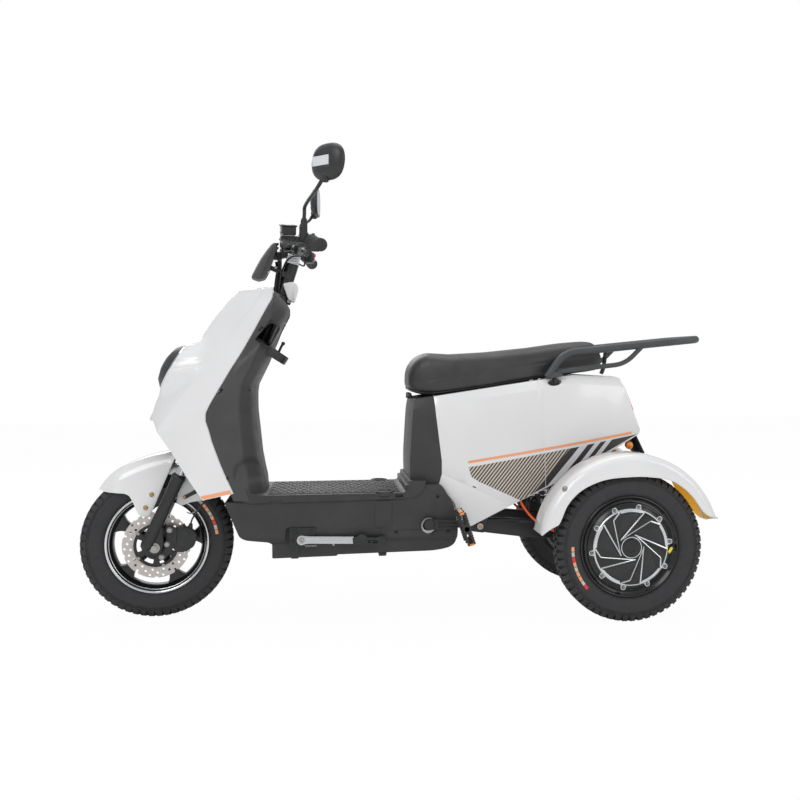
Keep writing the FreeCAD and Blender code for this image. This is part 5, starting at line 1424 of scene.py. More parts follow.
def rear_body():
    """Hollow body split into its covers; returns the uncut body that the films follow."""
    whole = keep_inside(rear_solid(0), slab("body_outline", BODY_OUTLINE, -200, 200))
    modify(whole, "BEVEL", width=0.009, segments=4, limit_method="ANGLE", angle_limit=math.radians(52))
    with editing(close_up(whole)) as bm:
        bmesh.ops.triangulate(bm, faces=bm.faces)
    plain = clone(whole, "body_face")
    inner = keep_inside(rear_solid(3), slab("hollow_outline", [
        (711, 340), (709, 436), (717, 570), (720, 604), (722, 730), (1320, 730), (1322, 662), (1338, 637),
        (1364, 567),
        (1384, 515), (1376, 501), (1290, 430), (1090, 300), (900, 220)], -200, 200))
    opening = slab("top_opening", [(782, 560), (782, 740), (1160, 740), (1160, 560)], -106, 106)
    carve(whole, inner, opening)
    feet = []
    for side in SIDES:
        oval = [[at(1123 + 21 * math.cos(a), side * (135.5 + 9 * math.sin(a)), z)
                 for a in (math.radians(15 * k) for k in range(24))] for z in (600, 700)]
        feet.append(skin("rack_slot", oval, closed=True, ends=True))
    window = slab("lamp_window", [(1308, 634), (1420, 634), (1420, 570), (1308, 570)], -97, 97)
    carve(whole, *feet, window)
    parts = {}
    for name, outline in SPLITS.items():
        piece = keep_inside(clone(whole, name), slab("split", outline, -220, 220))
        soften(piece, 0.0009, 2, 30)
        parts[name] = piece
    bpy.data.objects.remove(whole)
    slots = [slab("panel_slot", [(883, 361), (893, 357), (894, 360), (884, 364)], side * 120, side * 160)
             for side in SIDES]
    carve(parts["side_covers"], *slots)
    finish(parts["seat_box_cover"], "chassis", "black_plastic", DARK_MOULDING, ["seat_box_front"])
    for name, replaced in (("side_covers", ["side_panel_left", "side_panel_right"]),
                           ("lower_covers", ["lower_panels"]), ("tail_cover", ["tail_panel"])):
        finish(parts[name], "chassis", "white_paint", WHITE, replaced)
    return plain


REAR_FACE = rear_body()


def tail_lamp():
    lamp = keep_inside(rear_solid(0), slab("lamp_zone",
                                           [(1330, 632), (1350, 632), (1357, 619), (1374, 576), (1373, 572),
                                                         (1330, 572)], -95.5, 95.5))
    soften(lamp, 0.002)
    ribs = []
    for y in range(-84, 85, 12):
        rib = bar("lamp_rib", [at(1354, y, 626), at(1374, y, 577)], 1.0, 8, smooth=False)
        ribs.append(paint(rib, RED_LENS))
    back = slab("lamp_back", [(1323, 637), (1330.5, 637), (1330.5, 567), (1323, 567)], -100, 100)
    assemble("tail_lamp_lens", [paint(lamp, RED_LENS), paint(back, BLACK_PLASTIC), *ribs], "chassis",
             "red_lens", "tail_lamp")


tail_lamp()


# Films on the side panels: plain stripes, hatching and bars

def line_cross(a, b, c, d):
    """Where the lines a-b and c-d meet."""
    r, s = b - a, d - c
    t = ((c - a).x * s.y - (c - a).y * s.x) / (r.x * s.y - r.y * s.x)
    return a + r * t


def side_films(plain):
    """Films on both flanks, each a thin sheet cut from the body's own surface."""
    top = (Vector((872, 417)), Vector((1364, 501)))
    rise = (Vector((1022, 320)), Vector((1380, 506)))
    films = []

    seam = [(1075.3, 656), (1076.7, 656), (1091.7, 494), (1094.7, 415), (1096.7, 353), (1095.3, 353),
            (1093.3, 415),
            (1090.3, 494)]

    def film(outline, material):
        sheet = keep_inside(clone(plain, "film"), slab("film_edge", [tuple(p) for p in outline], -200, 200))
        carve(sheet, slab("film_seam", seam, -210, 210))
        with editing(sheet) as bm:
            hidden = [f for f in bm.faces if abs(f.normal.y) < 0.3 or abs(f.calc_center_median().y) < 0.05]
            bmesh.ops.delete(bm, geom=hidden, context="FACES")
        films.append(paint(soften(wall(sheet, 0.00034, 1.0), 0), material))

    def band(x):
        """Slanting line from the upper edge at x to the rising lower edge."""
        up = line_cross(top[0], top[1], Vector((x, 0)), Vector((x, 1000)))
        return up, line_cross(up, up - Vector((1, 1.18)), *rise)
    film([(870, 435.5), (1361, 512.5), (1362, 505), (870, 428)], ORANGE)
    film([(872, 417), (879, 391), (901, 376), (1022, 320), band(1168)[1], band(1168)[0]], HATCH)
    edges = (1168, 1196, 1222, 1244, 1262, 1280, 1298)
    for index, (start, end) in enumerate(zip(edges, edges[1:])):
        film([band(start)[0], band(start)[1], band(end)[1], band(end)[0]],
             LIGHT_GREY if index % 2 else DECAL_BLACK)
    film([band(1298)[0], band(1298)[1], (1378, 504), (1364, 501)], DECAL_BLACK)
    bpy.data.objects.remove(plain)
    assemble("side_panel_films", films, "chassis", "white_paint")


side_films(REAR_FACE)


# Fenders

SKIRT = [(17.4, 257), (18.2, 250), (19.6, 240), (23, 227), (29, 221), (41, 219), (58, 214), (75, 200),
         (95, 195),
         (115, 205), (133, 216), (146, 219), (154.5, 216.5), (160.8, 217.6), (163, 224), (165, 233),
         (168, 246),
         (170.6, 257)]


SKIRT_LINE = [(p.x, p.y) for p in through([(degrees, edge, 0) for degrees, edge in SKIRT], 320)]


def rear_fender(side, hand):
    y_in = side * 210.5

    def on_arch(degrees, r, dy):
        """Point of the arch; towards the tip the inboard side reaches lower."""
        angle = math.radians(degrees - 5 * smooth_share(40, 17, degrees) * (1 - dy / 112))
        return at(WHEELBASE + math.cos(angle) * r, y_in + side * dy, WHEEL_RADIUS + math.sin(angle) * r)
    rows = []
    for step in range(91):
        degrees = 17.4 + step * 153.2 / 90
        edge = value_at(SKIRT_LINE, degrees)[0]
        section = [(249, 0), (256, 0.6), (258, 6), (258.4, 30), (258.4, 74), (257.8, 91), (255, 101),
                   (250, 107.4),
                   (244, 110.6), (241.5, 111.8), (239, 112)]
        section = [(max(r, edge + 1.4 - 0.04 * k), dy) for k, (r, dy) in enumerate(section)]
        last = section[-1][0]
        for share in (0.25, 0.5, 0.75):
            section.append((last + (edge + 1 - last) * share, 112 + 0.8 * math.sin(math.pi * share)))
        section += [(edge + 1, 111.6), (edge, 110)]
        rows.append([on_arch(degrees, r, dy) for r, dy in section])
    if side > 0:
        rows = [list(reversed(row)) for row in rows]
    fender = skin(f"rear_fender_{hand}_skin", rows)
    outward = sum(1 for p in fender.data.polygons if (p.center - at(WHEELBASE, y_in + side * 50,
                                                                    WHEEL_RADIUS)).dot(
        p.normal) > 0) > len(fender.data.polygons) / 2
    if not outward:
        fender.data.flip_normals()
    wall(fender, 0.0028)
    soften(fender, 0.0006, 2, 50)
    parts = [paint(fender, WHITE)]
    # Ochre lining inside the fender. Its material glows, which is painted light on this shaded face.
    lining = []
    for step in range(31):
        degrees = 18.3 + step * 1.6
        low = value_at(SKIRT_LINE, degrees)[0] + 3
        lining.append([on_arch(degrees, max(r, low), dy)
                       for r, dy in ((254.6, 2), (255, 40), (255, 80), (253.4, 96), (246, 105), (240, 108.2),
                                     (low - 0.1, 108.4))])
    film = skin("lining", lining)
    wall(film, 0.0006, 0)
    add(parts, soften(film, 0), OCHRE_FILM_PAINTED_GLOW)
    parts.append(studs("fender_bolts", bolt_head(6, 4, side), [at(1109, side * 318.2, 374)], STEEL_BOLT))
    washer = plug("fender_washer", 8.4, 0, side * 1.2, at(1109, side * 317.6, 374), 24)
    # Ochre inboard wall seen past the tyre. It glows like the lining, which is painted light in the fender's
    # shade.
    crescent = []
    for step in range(25):
        share = step / 24
        low = 254 - 38 * math.sin(math.pi * share) ** 0.6
        crescent.append([on_arch(18 + 38 * share, r, 1.6) for r in (254.5, (254.5 + low) / 2, low)])
    inboard = wall(skin("inboard_wall", crescent), 0.0012, 0)
    add(parts, soften(inboard, 0), OCHRE_FILM_PAINTED_GLOW)
    add(parts, washer, STEEL_BOLT)
    assemble(f"rear_fender_{hand}_shell", parts, "chassis", "white_paint", f"rear_fender_{hand}")


for side, hand in HANDS:
    rear_fender(side, hand)


def fender_shell():
    """Front fender: blade ahead of the fork, and the tail behind it on its cheeks and struts."""
    crown = [(-157, 365), (-140, 389), (-117, 411), (-92, 426), (-67, 438), (-38, 450), (-8, 459), (20, 465),
             (52, 469)]
    hem = [(-157, 364), (-140, 358), (-128, 357), (-105, 356), (-82, 354), (-70, 347), (-60, 326),
           (-52, 303), (-44, 291),
           (-30, 288), (-20, 289), (-14, 294), (0, 328), (22, 382), (40, 425), (52, 453)]
    top = through([Vector((x, 0, z)) for x, z in crown], 200)
    low = [Vector((x, 0, z)) for x, z in hem]

    def height_on(line, x):
        for a, b in zip(line, line[1:]):
            if a.x <= x <= b.x:
                return a.z + (b.z - a.z) * (x - a.x) / max(b.x - a.x, 1e-6)
        return line[-1].z if x > line[-1].x else line[0].z
    rows = []
    stations = [-156.5, -154, -150, -144] + [-138 + 6 * k for k in range(32)] + [51.5]
    for x in stations:
        share = (x + 156.5) / 208
        z_top, z_hem = height_on(top, x), height_on(low, x)
        wide = 20 + 36.5 * smooth_share(-0.08, 0.30, share)
        drop = min(36, (z_top - z_hem) * 0.8)
        half = [(0, z_top), (wide * 0.3, z_top - drop * 0.03), (wide * 0.55, z_top - drop * 0.12),
                (wide * 0.76, z_top - drop * 0.3), (wide * 0.9, z_top - drop * 0.56),
                (wide * 0.985, z_top - drop * 0.9),
                (wide, z_top - drop * 1.0)]
        last = half[-1][1]
        for t in (0.2, 0.4, 0.6, 0.8, 1.0):
            half.append((wide + 0.6 * math.sin(math.pi * t), last + (z_hem - last) * t))
        row = [at(x, y, z) for y, z in half]
        rows.append([at(x, -y, z) for y, z in reversed(half[1:])] + row)
    shell = skin("front_fender_skin", rows)
    slopes = [p.normal.z for p in shell.data.polygons if abs(p.normal.z) > 0.05]
    if sum(1 for slope in slopes if slope > 0) <= len(slopes) / 2:
        shell.data.flip_normals()
    wall(shell, 0.0026)
    soften(shell, 0.0005, 2, 50)
    parts = [paint(shell, WHITE)]
    for side in SIDES:
        spots = [at(x, side * 57.2, z) for x, z in ((-12, 350), (-28, 314))]
        parts.append(studs("blade_bolts", bolt_head(6.4, 3.4, side), spots, ZINC))
    assemble("front_fender_blade", parts, "steering", "white_paint", "front_fender")
    rear = []
    for step in range(19):
        angle = math.radians(46 + (88 - 46) * step / 18)
        radius = 226
        x0, z0 = math.cos(angle) * radius + 4, WHEEL_RADIUS + math.sin(angle) * radius
        rear.append([at(x0 - math.cos(angle) * d, y, z0 - math.sin(angle) * d) for y, d in (
            (-52, 26), (-50, 12), (-42, 4), (-20, 0.6), (0, 0), (20, 0.6), (42, 4), (50, 12), (52, 26))])
    back = skin("fender_tail", rear)
    if sum(p.normal.z for p in back.data.polygons) < 0:
        back.data.flip_normals()
    wall(back, 0.0026)
    soften(back, 0.0005, 2, 50)
    parts = [paint(back, WHITE)]
    for side in SIDES:
        cheek = slab("tail_cheek", [(54, 326, 3), (70, 316, 6), (90, 325, 14), (126, 329, 6), (140, 348, 4),
                                    (166, 378, 8), (128, 410, 10),
                                    (84, 428, 10), (68, 400, 6)], side * 52.4, side * 54.8)
        add(parts, soften(cheek, 0.0007), WHITE)
        strap = slab("fender_strut", [(70, 341, 5), (76, 333, 5), (124, 358, 3), (120, 368, 3)], side * 54,
                     side * 58)
        add(parts, soften(strap, 0.0008), BLACK_PLASTIC)
        parts.append(studs("strut_bolt", bolt_head(4.6, 3, side), [at(76, side * 58, 340)], ZINC))
    assemble("front_fender_tail", parts, "steering", "white_paint")


fender_shell()


# Steering: fork, brake, handlebar and mirrors

def turned(name, start, way, profile, segments=40):
    """Solid turned about the line from start; the profile is (millimetres along, radius)."""
    way = Vector(way).normalized()
    across = way.orthogonal().normalized()
    other = way.cross(across)
    rows = [[start + (way * along + across * math.cos(a) * radius + other * math.sin(a) * radius) / 1000
             for a in (2 * math.pi * k / segments for k in range(segments))] for along, radius in profile]
    return shade(skin(name, rows, closed=True, ends=True), 38)


def block_between(name, centre, size, matrix=None, radius=2):
    """Box of a size in millimetres about a point, its edges rounded."""
    x, y, z = (value / 2000 for value in size)
    corners = [(-x, -z), (x, -z), (x, z), (-x, z)]
    box = skin(name, [[Vector((a, side * y, b)) for a, b in corners] for side in SIDES], closed=True,
               ends=True)
    soften(box, radius / 1000, 3)
    if matrix is not None:
        move(box, matrix)
    return shift(box, centre)


def on_leg(height, y, lead=50):
    return at(axis_x(height) - lead / math.cos(RAKE), y, height)


def fork_legs():
    """Cast sliders with their axle, polished stanchions and the lower yoke."""
    parts = []
    for side in SIDES:
        foot, head = on_leg(205, side * 88), on_leg(405, side * 88)
        length = (head - foot).length * 1000
        leg = turned("slider", foot, head - foot, [
            (0, 13), (3, 16), (12, 17.6), (length - 52, 16.6), (length - 44, 17.4), (length - 12, 18.6),
            (length - 6, 19.8), (length - 1.5, 20), (length, 19.2), (length + 0.4, 13.6),
            (length - 3, 13.4)], 48)
        add(parts, leg, POWDER)
        seal = turned("seal", head, head - foot,
                      [(-1, 13.2), (-1, 17.5), (2.6, 16.6), (3.4, 14), (3.4, 13.2)], 48)
        add(parts, seal, RUBBER)
        lug = slab("axle_lug", [(-36, 211, 12), (-14, 187, 14), (14, 186, 14), (24, 214, 14), (22, 268, 12),
                                (4, 280, 12)],
                   side * 88 - 8, side * 88 + 8)
        add(parts, soften(lug, 0.004, 4), POWDER)
        low, high = sorted((side * 51.5, side * 54.5))
        cheek = slab("fork_cheek", [(-40, 318, 5), (-30, 300, 5), (6, 316, 8), (44, 356, 8), (30, 368, 8),
                                    (-18, 362, 6)],
                     low, high)
        add(parts, soften(cheek, 0.0008), POWDER)
        add(parts, turned("cheek_boss", on_leg(350, side * 54), (0, side, 0), [(0, 9), (22, 9)]), POWDER)
        cap = turned("axle_nut", at(0, side * 95, WHEEL_RADIUS), (0, side, 0),
                     [(0, 11.5), (1.6, 11.5), (1.8, 9.6), (6.4, 9.6), (7.4, 8.4), (7.4, 0.1)], 6)
        add(parts, soften(cap, 0.0006), STEEL_BOLT)
        washer = turned("axle_washer", at(0, side * 94.5, WHEEL_RADIUS), (0, side, 0),
                        [(0, 14), (1.8, 14), (2.2, 13), (2.2, 0.1)], 36)
        add(parts, washer, STEEL_BOLT)
        add(parts, turned("axle", at(0, 0, WHEEL_RADIUS), (0, side, 0), [(0, 7), (96, 7)]), STEEL_BOLT)
        pinch = turned("pinch_bolt", at(-8, side * 95.5, 238), (0, side, 0),
                       [(0, 5), (3, 5), (3.6, 4.2), (3.6, 0.1)], 6)
        add(parts, pinch, STEEL_BOLT)
    assemble("fork_leg_castings", parts, "steering", "frame_black", "fork_lowers")
    parts = []
    for side in SIDES:
        tube = turned("stanchion", on_leg(301, side * 88), on_leg(536, 0) - on_leg(301, 0),
                      [(0, 12.6), (258, 12.6), (259, 11.6), (259, 0.1)], 48)
        add(parts, tube, CHROME)
    centre = at(axis_x(499), 0, 499)
    yoke = [(-84, -106, 14), (-34, -108, 16), (-8, -60, 26), (28, -30, 22), (30, 30, 22), (-8, 60, 26),
            (-34, 108, 16),
            (-84, 106, 14), (-70, 40, 20), (-26, 22, 20), (-26, -22, 20), (-70, -40, 20)]
    ring = [Vector((p.x, p.y, 0)) / 1000 for p in rounded([(a, b, r) for a, b, r in yoke], 4, 6)]
    plate = skin("lower_yoke", [[p + Vector((0, 0, dz)) for p in ring] for dz in (-0.011, 0.011)],
                 closed=True, ends=True)
    soften(plate, 0.0035, 3)
    move(plate, Matrix.Rotation(RAKE, 4, "Y"))
    add(parts, shift(plate, centre), POWDER)
    steerer = turned("steerer", at(axis_x(498), 0, 498), STEER_AXIS, [(0, 14), (470, 14)], 40)
    add(parts, steerer, STEEL_BOLT)
    add(parts, turned("lower_race", at(axis_x(512), 0, 512), STEER_AXIS, [(0, 21), (6, 23), (9, 23)]), POWDER)
    for side in SIDES:
        clamp = bolt_head(5.6, 5)
        move(clamp, Matrix.Rotation(RAKE - math.pi / 2, 4, "Y") @ Matrix.Rotation(-math.pi / 2, 4, "Z"))
        add(parts, shift(clamp, on_leg(500, side * 72) + Vector((0.018, 0, 0.012))), STEEL_BOLT)
    assemble("fork_yoke", parts, "steering", "frame_black", "fork_crown")


fork_legs()


def caliper():
    """Two-piston caliper behind the left fork leg, with its hose and bolts."""
    parts = []
    body = slab("caliper_body", [(46, 200, 5), (58, 190, 6), (78, 189, 6), (104, 204, 9), (112, 238, 9),
                                 (92, 258, 8),
                                 (62, 262, 7), (50, 246, 5)], -77, -54)
    soften(body, 0.003, 3)
    add(parts, body, POWDER)
    inner = slab("caliper_half", [(62, 204, 4), (80, 196, 6), (102, 210, 8), (108, 236, 8), (92, 252, 8),
                                  (70, 250, 6)],
                 -46, -35)
    add(parts, soften(inner, 0.003, 3), POWDER)
    bridge = slab("caliper_bridge", [(86, 208, 3), (101, 212, 5), (107, 234, 5), (95, 250, 5)], -56, -44)
    add(parts, soften(bridge, 0.002), POWDER)
    for x, z in ((74, 212), (80, 240)):
        piston = turned("piston_cap", at(x, -76.6, z), (0, -1, 0),
                        [(0, 10.5), (1.6, 10.2), (2.4, 8.8), (2.4, 0.1)], 40)
        add(parts, piston, BLACK_PLASTIC)
    arm = slab("caliper_arm", [(6, 166, 9), (26, 172, 7), (44, 196, 10), (56, 216, 8), (58, 258, 7),
                               (34, 268, 8),
                               (22, 256, 6), (30, 226, 9), (18, 196, 10), (2, 184, 7)], -80, -74.5)
    add(parts, soften(arm, 0.0014), POWDER)
    for x, z in ((38, 253), (31, 214), (17, 179)):
        head = turned("caliper_bolt", at(x, -80, z), (0, -1, 0),
                      [(0, 7.6), (1.2, 7.6), (1.4, 6.3), (5.6, 6.3), (6.4, 5.6), (6.4, 3.2), (4, 3),
                       (4, 0.1)], 24)
        add(parts, head, STEEL_BOLT)
    banjo = turned("banjo", at(92, -66, 256), (0.2, 0, 1),
                   [(-2, 7), (2, 7), (6, 5.6), (10, 5.4), (12, 3), (12, 0.1)], 24)
    add(parts, banjo, BLACK_PLASTIC)
    nipple = turned("bleed_nipple", at(78, -66, 258), (-0.3, 0, 1),
                    [(-2, 4), (4, 4), (5, 2.6), (10, 2.4), (10, 0.1)], 16)
    add(parts, nipple, BLACK_PLASTIC)
    hose = bar("brake_hose", [at(93, -66, 262), at(98, -68, 280), at(114, -68, 306), at(132, -64, 330),
                              at(146, -60, 366),
                              at(150, -50, 420), at(152, -40, 470), at(166, -30, 520)], 2.4, 12)
    add(parts, hose, BLACK_PLASTIC)
    guide = bar("hose_guide", [at(84, -72, 300), at(94, -70, 296), at(106, -68, 300)], 1.7, 10)
    add(parts, guide, STEEL_BOLT)
    assemble("caliper_assembly", parts, "steering", "frame_black", "brake_caliper")


caliper()

BAR = [(340, 442, 1028), (168, 409, 1054), (112, 390, 1054), (62, 386, 1033)]


def on_bar(side, distance):
    end, knee = at(BAR[0][1], side * BAR[0][0], BAR[0][2]), at(BAR[1][1], side * BAR[1][0], BAR[1][2])
    return end + (knee - end).normalized() * distance / 1000


def inward_along(side):
    """Direction of the bar from its end to the middle."""
    return (on_bar(side, 100) - on_bar(side, 0)).normalized()


def handlebar():
    """Bent tube and the ribbed rubber sleeves."""
    line = [at(x, -y, z) for y, x, z in BAR] + [at(x, y, z) for y, x, z in reversed(BAR)]
    tube = bar("bar", bend(line, 46, 9), 11, 32, smooth=False)
    parts = [paint(tube, POWDER)]
    assemble("handlebar_tube", parts, "steering", "frame_black", "handlebar")
    sleeves = []
    for side in SIDES:
        inward = inward_along(side)
        profile = [(-2, 0.1), (-2, 9), (-1.2, 13), (0.8, 16.2), (4, 17.6), (9, 17.6), (11, 15.6)]
        for k in range(15):
            t = 12 + k * 5.4
            profile += [(t, 15.4), (t + 0.9, 16.8), (t + 3.0, 16.9), (t + 4.0, 15.4)]
        profile += [(95, 15.8), (98, 18), (103, 20.8), (107.4, 20.8), (108, 19.6), (108, 11.2)]
        sleeves.append(paint(turned("sleeve", on_bar(side, 0), inward, profile, 48), RUBBER))
        for k in range(12):
            a = 2 * math.pi * k / 12
            across = inward.orthogonal().normalized()
            other = inward.cross(across)
            out = across * math.cos(a) + other * math.sin(a)
            sleeves.append(paint(bar("grip_rib",
                                     [on_bar(side, 14) + out * 0.0158, on_bar(side, 92) + out * 0.0158], 1.6,
                                     6, smooth=False), RUBBER))
    assemble("grip_sleeves", sleeves, "steering", "soft_rubber", "grips")


handlebar()


def bar_matrix(side, distance):
    """Frame on the bar: X across it to the rear, Y along it outward on the right, Z up."""
    along = (on_bar(side, 0) - on_bar(side, 100)).normalized() * side
    up = (Vector((0, 0, 1)) - along * along.z).normalized()
    rear = along.cross(up)
    return Matrix.Translation(on_bar(side, distance)) @ Matrix((
        (rear.x, along.x, up.x, 0), (rear.y, along.y, up.y, 0), (rear.z, along.z, up.z, 0), (0, 0, 0, 1)))


def controls():
    """Switch cases with their leads and mirror bosses, then the levers with their cylinders and hoses."""
    parts = []
    for side in SIDES:
        inward = inward_along(side)
        case = turned("switch_case", on_bar(side, 109), inward, [
            (0, 18), (1.2, 20.4), (4, 21.4), (15, 21.6), (15.4, 21), (16.2, 21), (16.6, 21.6), (28, 21.4),
            (30.6, 20.2),
            (31.4, 17.6), (31.4, 11.2)], 56)
        add(parts, case, BLACK_PLASTIC)
        under = bar_matrix(side, 125)
        pod = block_between("switch_block", Vector((0.010, 0, -0.014)), (27, 30, 22), None, 4)
        add(parts, move(pod, under), BLACK_PLASTIC)
        rear = block_between("switch_face", Vector((0.0225, 0, -0.006)), (7, 27, 26), None, 2.4)
        add(parts, move(rear, under), GLOSS_BLACK)
        if side > 0:
            button = turned("red_button", Vector((0.0255, -0.004, -0.001)), (1, 0, 0),
                            [(0, 6.2), (3.6, 6.2), (5, 5.2), (5.4, 0.1)], 32)
            add(parts, move(button, under), RED_BUTTON)
            slider = block_between("switch_slider", Vector((0.027, 0.004, -0.014)), (5, 11, 5), None, 1.4)
            add(parts, move(slider, under), LIGHT_GREY)
        else:
            for dz, width in ((2, 12), (-7, 15), (-15, 9)):
                key = block_between("switch_key", Vector((0.027, 0, dz / 1000)), (4.4, width, 5.4), None, 1.3)
                add(parts, move(key, under), CHARCOAL)
        boss = on_bar(side, 125) + Vector((-0.017, 0, 0.002))
        sleeve = turned("mirror_boss", boss, (0, 0, 1),
                        [(0, 12), (20, 12), (24, 9.4), (54, 9), (57, 8.2), (58, 6),
                                                         (58, 0.1)], 36)
        add(parts, sleeve, RUBBER)
        screw = turned("clamp_screw", on_bar(side, 118) + Vector((0.006, 0, 0.0205)), (0.1, 0, 1),
                       [(0, 4.6), (2.6, 4.6), (3.2, 3.6), (3.2, 0.1)], 20)
        add(parts, screw, BLACK_PLASTIC)
        tail = on_bar(side, 131) + Vector((-0.002, 0, -0.020))
        lead = [tail, tail + Vector((-0.006, -side * 0.02, -0.016)), at(378, side * 96, 1018),
                at(358, side * 48, 1008),
                at(346, side * 22, 984), at(335, side * 12, 950), at(330, side * 8, 914)]
        add(parts, bar("switch_lead", lead, 2.6, 10), BLACK_PLASTIC)
    assemble("switch_cases", parts, "steering", "black_plastic", "switch_housings")
    parts = []
    for side in SIDES:
        inward = inward_along(side)
        here = bar_matrix(side, 147)
        ring = turned("lever_clamp", on_bar(side, 140.8), inward,
                      [(0, 15.4), (1, 17), (12, 17), (13, 15.4), (13, 11.2)], 40)
        add(parts, ring, POWDER)

        def put(obj, material=POWDER):
            add(parts, move(obj, here), material)
        put(turned("master_cylinder", Vector((-0.030, side * 0.020, 0.004)), (-0.05, -side, 0),
                   [(0, 6), (2, 9.5), (36, 9.5), (42, 8.4), (50, 8), (52, 5), (52, 0.1)], 36))
        put(block_between("lever_bracket", Vector((-0.042, side * 0.004, 0.006)), (72, 22, 15), None, 4))
        put(block_between("reservoir", Vector((-0.056, -side * 0.004, 0.0270)), (38, 38, 25), None, 4.5),
            BLACK_PLASTIC)
        put(block_between("reservoir_lid", Vector((-0.056, -side * 0.004, 0.0400)), (42, 42, 4.6), None,
                          1.8), POWDER)
        put(turned("sight_glass", Vector((-0.0735, -side * 0.004, 0.0265)), (-1, 0, 0),
                   [(0, 6), (1.6, 6), (2, 4.8), (2, 0.1)], 28), STEEL_BOLT)
        for dx, dy in ((-14, -14), (14, -14), (14, 14), (-14, 14)):
            put(turned("lid_screw", Vector((-0.056 + dx / 1000, -side * 0.004 + dy / 1000, 0.0421)),
                       (0, 0, 1),
                       [(0, 2.6), (1, 2.6), (1.3, 1.9), (1.3, 0.1)], 14), STEEL_BOLT)
        put(turned("lever_pivot", Vector((-0.074, side * 0.008, -0.006)), (0, 0, 1),
                   [(0, 5.4), (1.4, 5.4), (1.6, 4.4), (20, 4.4), (20.4, 5.6), (24, 5.6), (24.6, 4.6),
                    (24.6, 0.1)], 24),
            STEEL_BOLT)
        grip_end = [on_bar(side, 141) + Vector((-0.072, 0, 0.004)),
                    on_bar(side, 122) + Vector((-0.071, 0, 0.004)),
                    on_bar(side, 98) + Vector((-0.066, 0, 0.001)),
                    on_bar(side, 66) + Vector((-0.056, 0, -0.002)),
                    on_bar(side, 36) + Vector((-0.049, 0, -0.002)),
                    on_bar(side, 13) + Vector((-0.049, 0, -0.002))]
        blade = bar("lever_blade", grip_end, 5.6, 20, taper=lambda t: 1.25 - 0.42 * smooth_share(0, 0.5, t))
        add(parts, blade, POWDER)
        knob = turned("lever_ball", on_bar(side, 17) + Vector((-0.049, 0, -0.002)), -inward,
                      [(-4, 3), (-2, 5.6), (1, 7), (4, 7), (7, 5.6), (9, 3), (9.6, 0.1)], 28)
        add(parts, knob, POWDER)
        hose = [on_bar(side, 170) + Vector((-0.024, 0, 0.002)), at(372, side * 136, 1050),
                at(352, side * 92, 1040),
                at(342, side * 48, 1022), at(341, side * 27, 985), at(337, side * 19, 940),
                at(331, side * 15, 905)]
        add(parts, bar("lever_hose", hose, 2.7, 12), BLACK_PLASTIC)
    assemble("lever_sets", parts, "steering", "frame_black", "brake_levers")


controls()


def stem():
    """Riser with its collar and the silver bar clamp."""
    foot, head = at(axis_x(888), 0, 888), at(377, 0, 1012)
    length = (head - foot).length * 1000
    way = head - foot
    tube = turned("riser", foot, way, [(0, 14.2), (0, 22), (1.4, 23), (22, 23), (24, 21.6), (25, 19),
                                       (length - 4, 19),
                                       (length - 4, 4)], 48)
    parts = [paint(tube, POWDER)]
    lower = block_between("riser_lug", foot + way.normalized() * 0.012 + Vector((0.020, 0, -0.006)),
                          (18, 22, 18),
                          Matrix.Rotation(RAKE, 4, "Y"), 2.5)
    add(parts, lower, POWDER)
    pin = turned("riser_bolt", foot + way.normalized() * 0.012 + Vector((0.022, -0.016, -0.006)), (0, 1, 0),
                 [(0, 0.1), (0, 5), (4, 5), (4, 3), (28, 3), (28, 5), (32, 5), (32, 0.1)], 20)
    add(parts, pin, STEEL_BOLT)
    latch = turned("riser_knob", at(362, 0, 956), (1, 0, -0.35),
                   [(0, 4), (9, 4), (9.5, 7.4), (15, 7.4), (16, 6), (16, 0.1)], 24)
    add(parts, latch, POWDER)
    rake = Matrix.Rotation(math.radians(14), 4, "Y")
    holder = block_between("bar_clamp", at(376, 0, 1014), (38, 50, 27), rake, 2.5)
    shoe = block_between("bar_clamp_cap", at(388, 0, 1042), (37, 50, 9), rake, 2.5)
    bore = turned("bar_hole", at(386, -40, 1033), (0, 1, 0), [(0, 11.1), (80, 11.1)], 40)
    cut = [slab("clamp_line", [(345, 1005 + k * 7), (415, 1001 + k * 7), (415, 1002.4 + k * 7),
                               (345, 1006.4 + k * 7)],
                -26, -23.6) for k in range(3)]
    carve(holder, bore, *cut)
    bore = turned("bar_hole", at(386, -40, 1033), (0, 1, 0), [(0, 11.1), (80, 11.1)], 40)
    carve(shoe, bore)
    parts += [paint(soften(holder, 0.0006), ALLOY), paint(soften(shoe, 0.0006), POWDER)]
    for dx in (-13, 13):
        for dy in (-17, 17):
            screw = turned("clamp_bolt", at(390 + dx, dy, 1046.5 - dx * 0.25), (0.24, 0, 1),
                           [(0, 4.6), (3.4, 4.6), (4, 3.8), (4, 2.2), (2, 2.2), (2, 0.1)], 20)
            add(parts, screw, STEEL_BOLT)
    assemble("stem_riser", parts, "steering", "frame_black", "steering_stem")
    view = [(346, 944, 6), (374, 950, 8), (389, 940, 10), (391, 925, 8), (380, 889, 5), (361, 898, 5)]
    shell = slab("cover", view, -28, 28)
    hollow = slab("cover_hollow", [(330, 942), (371, 947), (384.6, 938), (387.4, 925), (374, 870),
                                   (330, 870)], -25.5, 25.5)
    soften(shell, 0.006, 4, 50)
    carve(shell, hollow, turned("cover_hole", foot - way.normalized() * 0.02, way,
                                [(0, 24.5), (length + 10, 24.5)], 40))
    soften(shell, 0.0006)
    parts = [paint(shell, WHITE)]
    for z in (902, 934):
        pad = block_between("cover_clip", at(349 + (z - 902) * 0.2, 0, z), (12, 48, 5),
                            Matrix.Rotation(-0.3, 4, "Y"), 1)
        add(parts, pad, POWDER)
    assemble("stem_cover_shell", parts, "steering", "white_paint", "stem_cover")


stem()


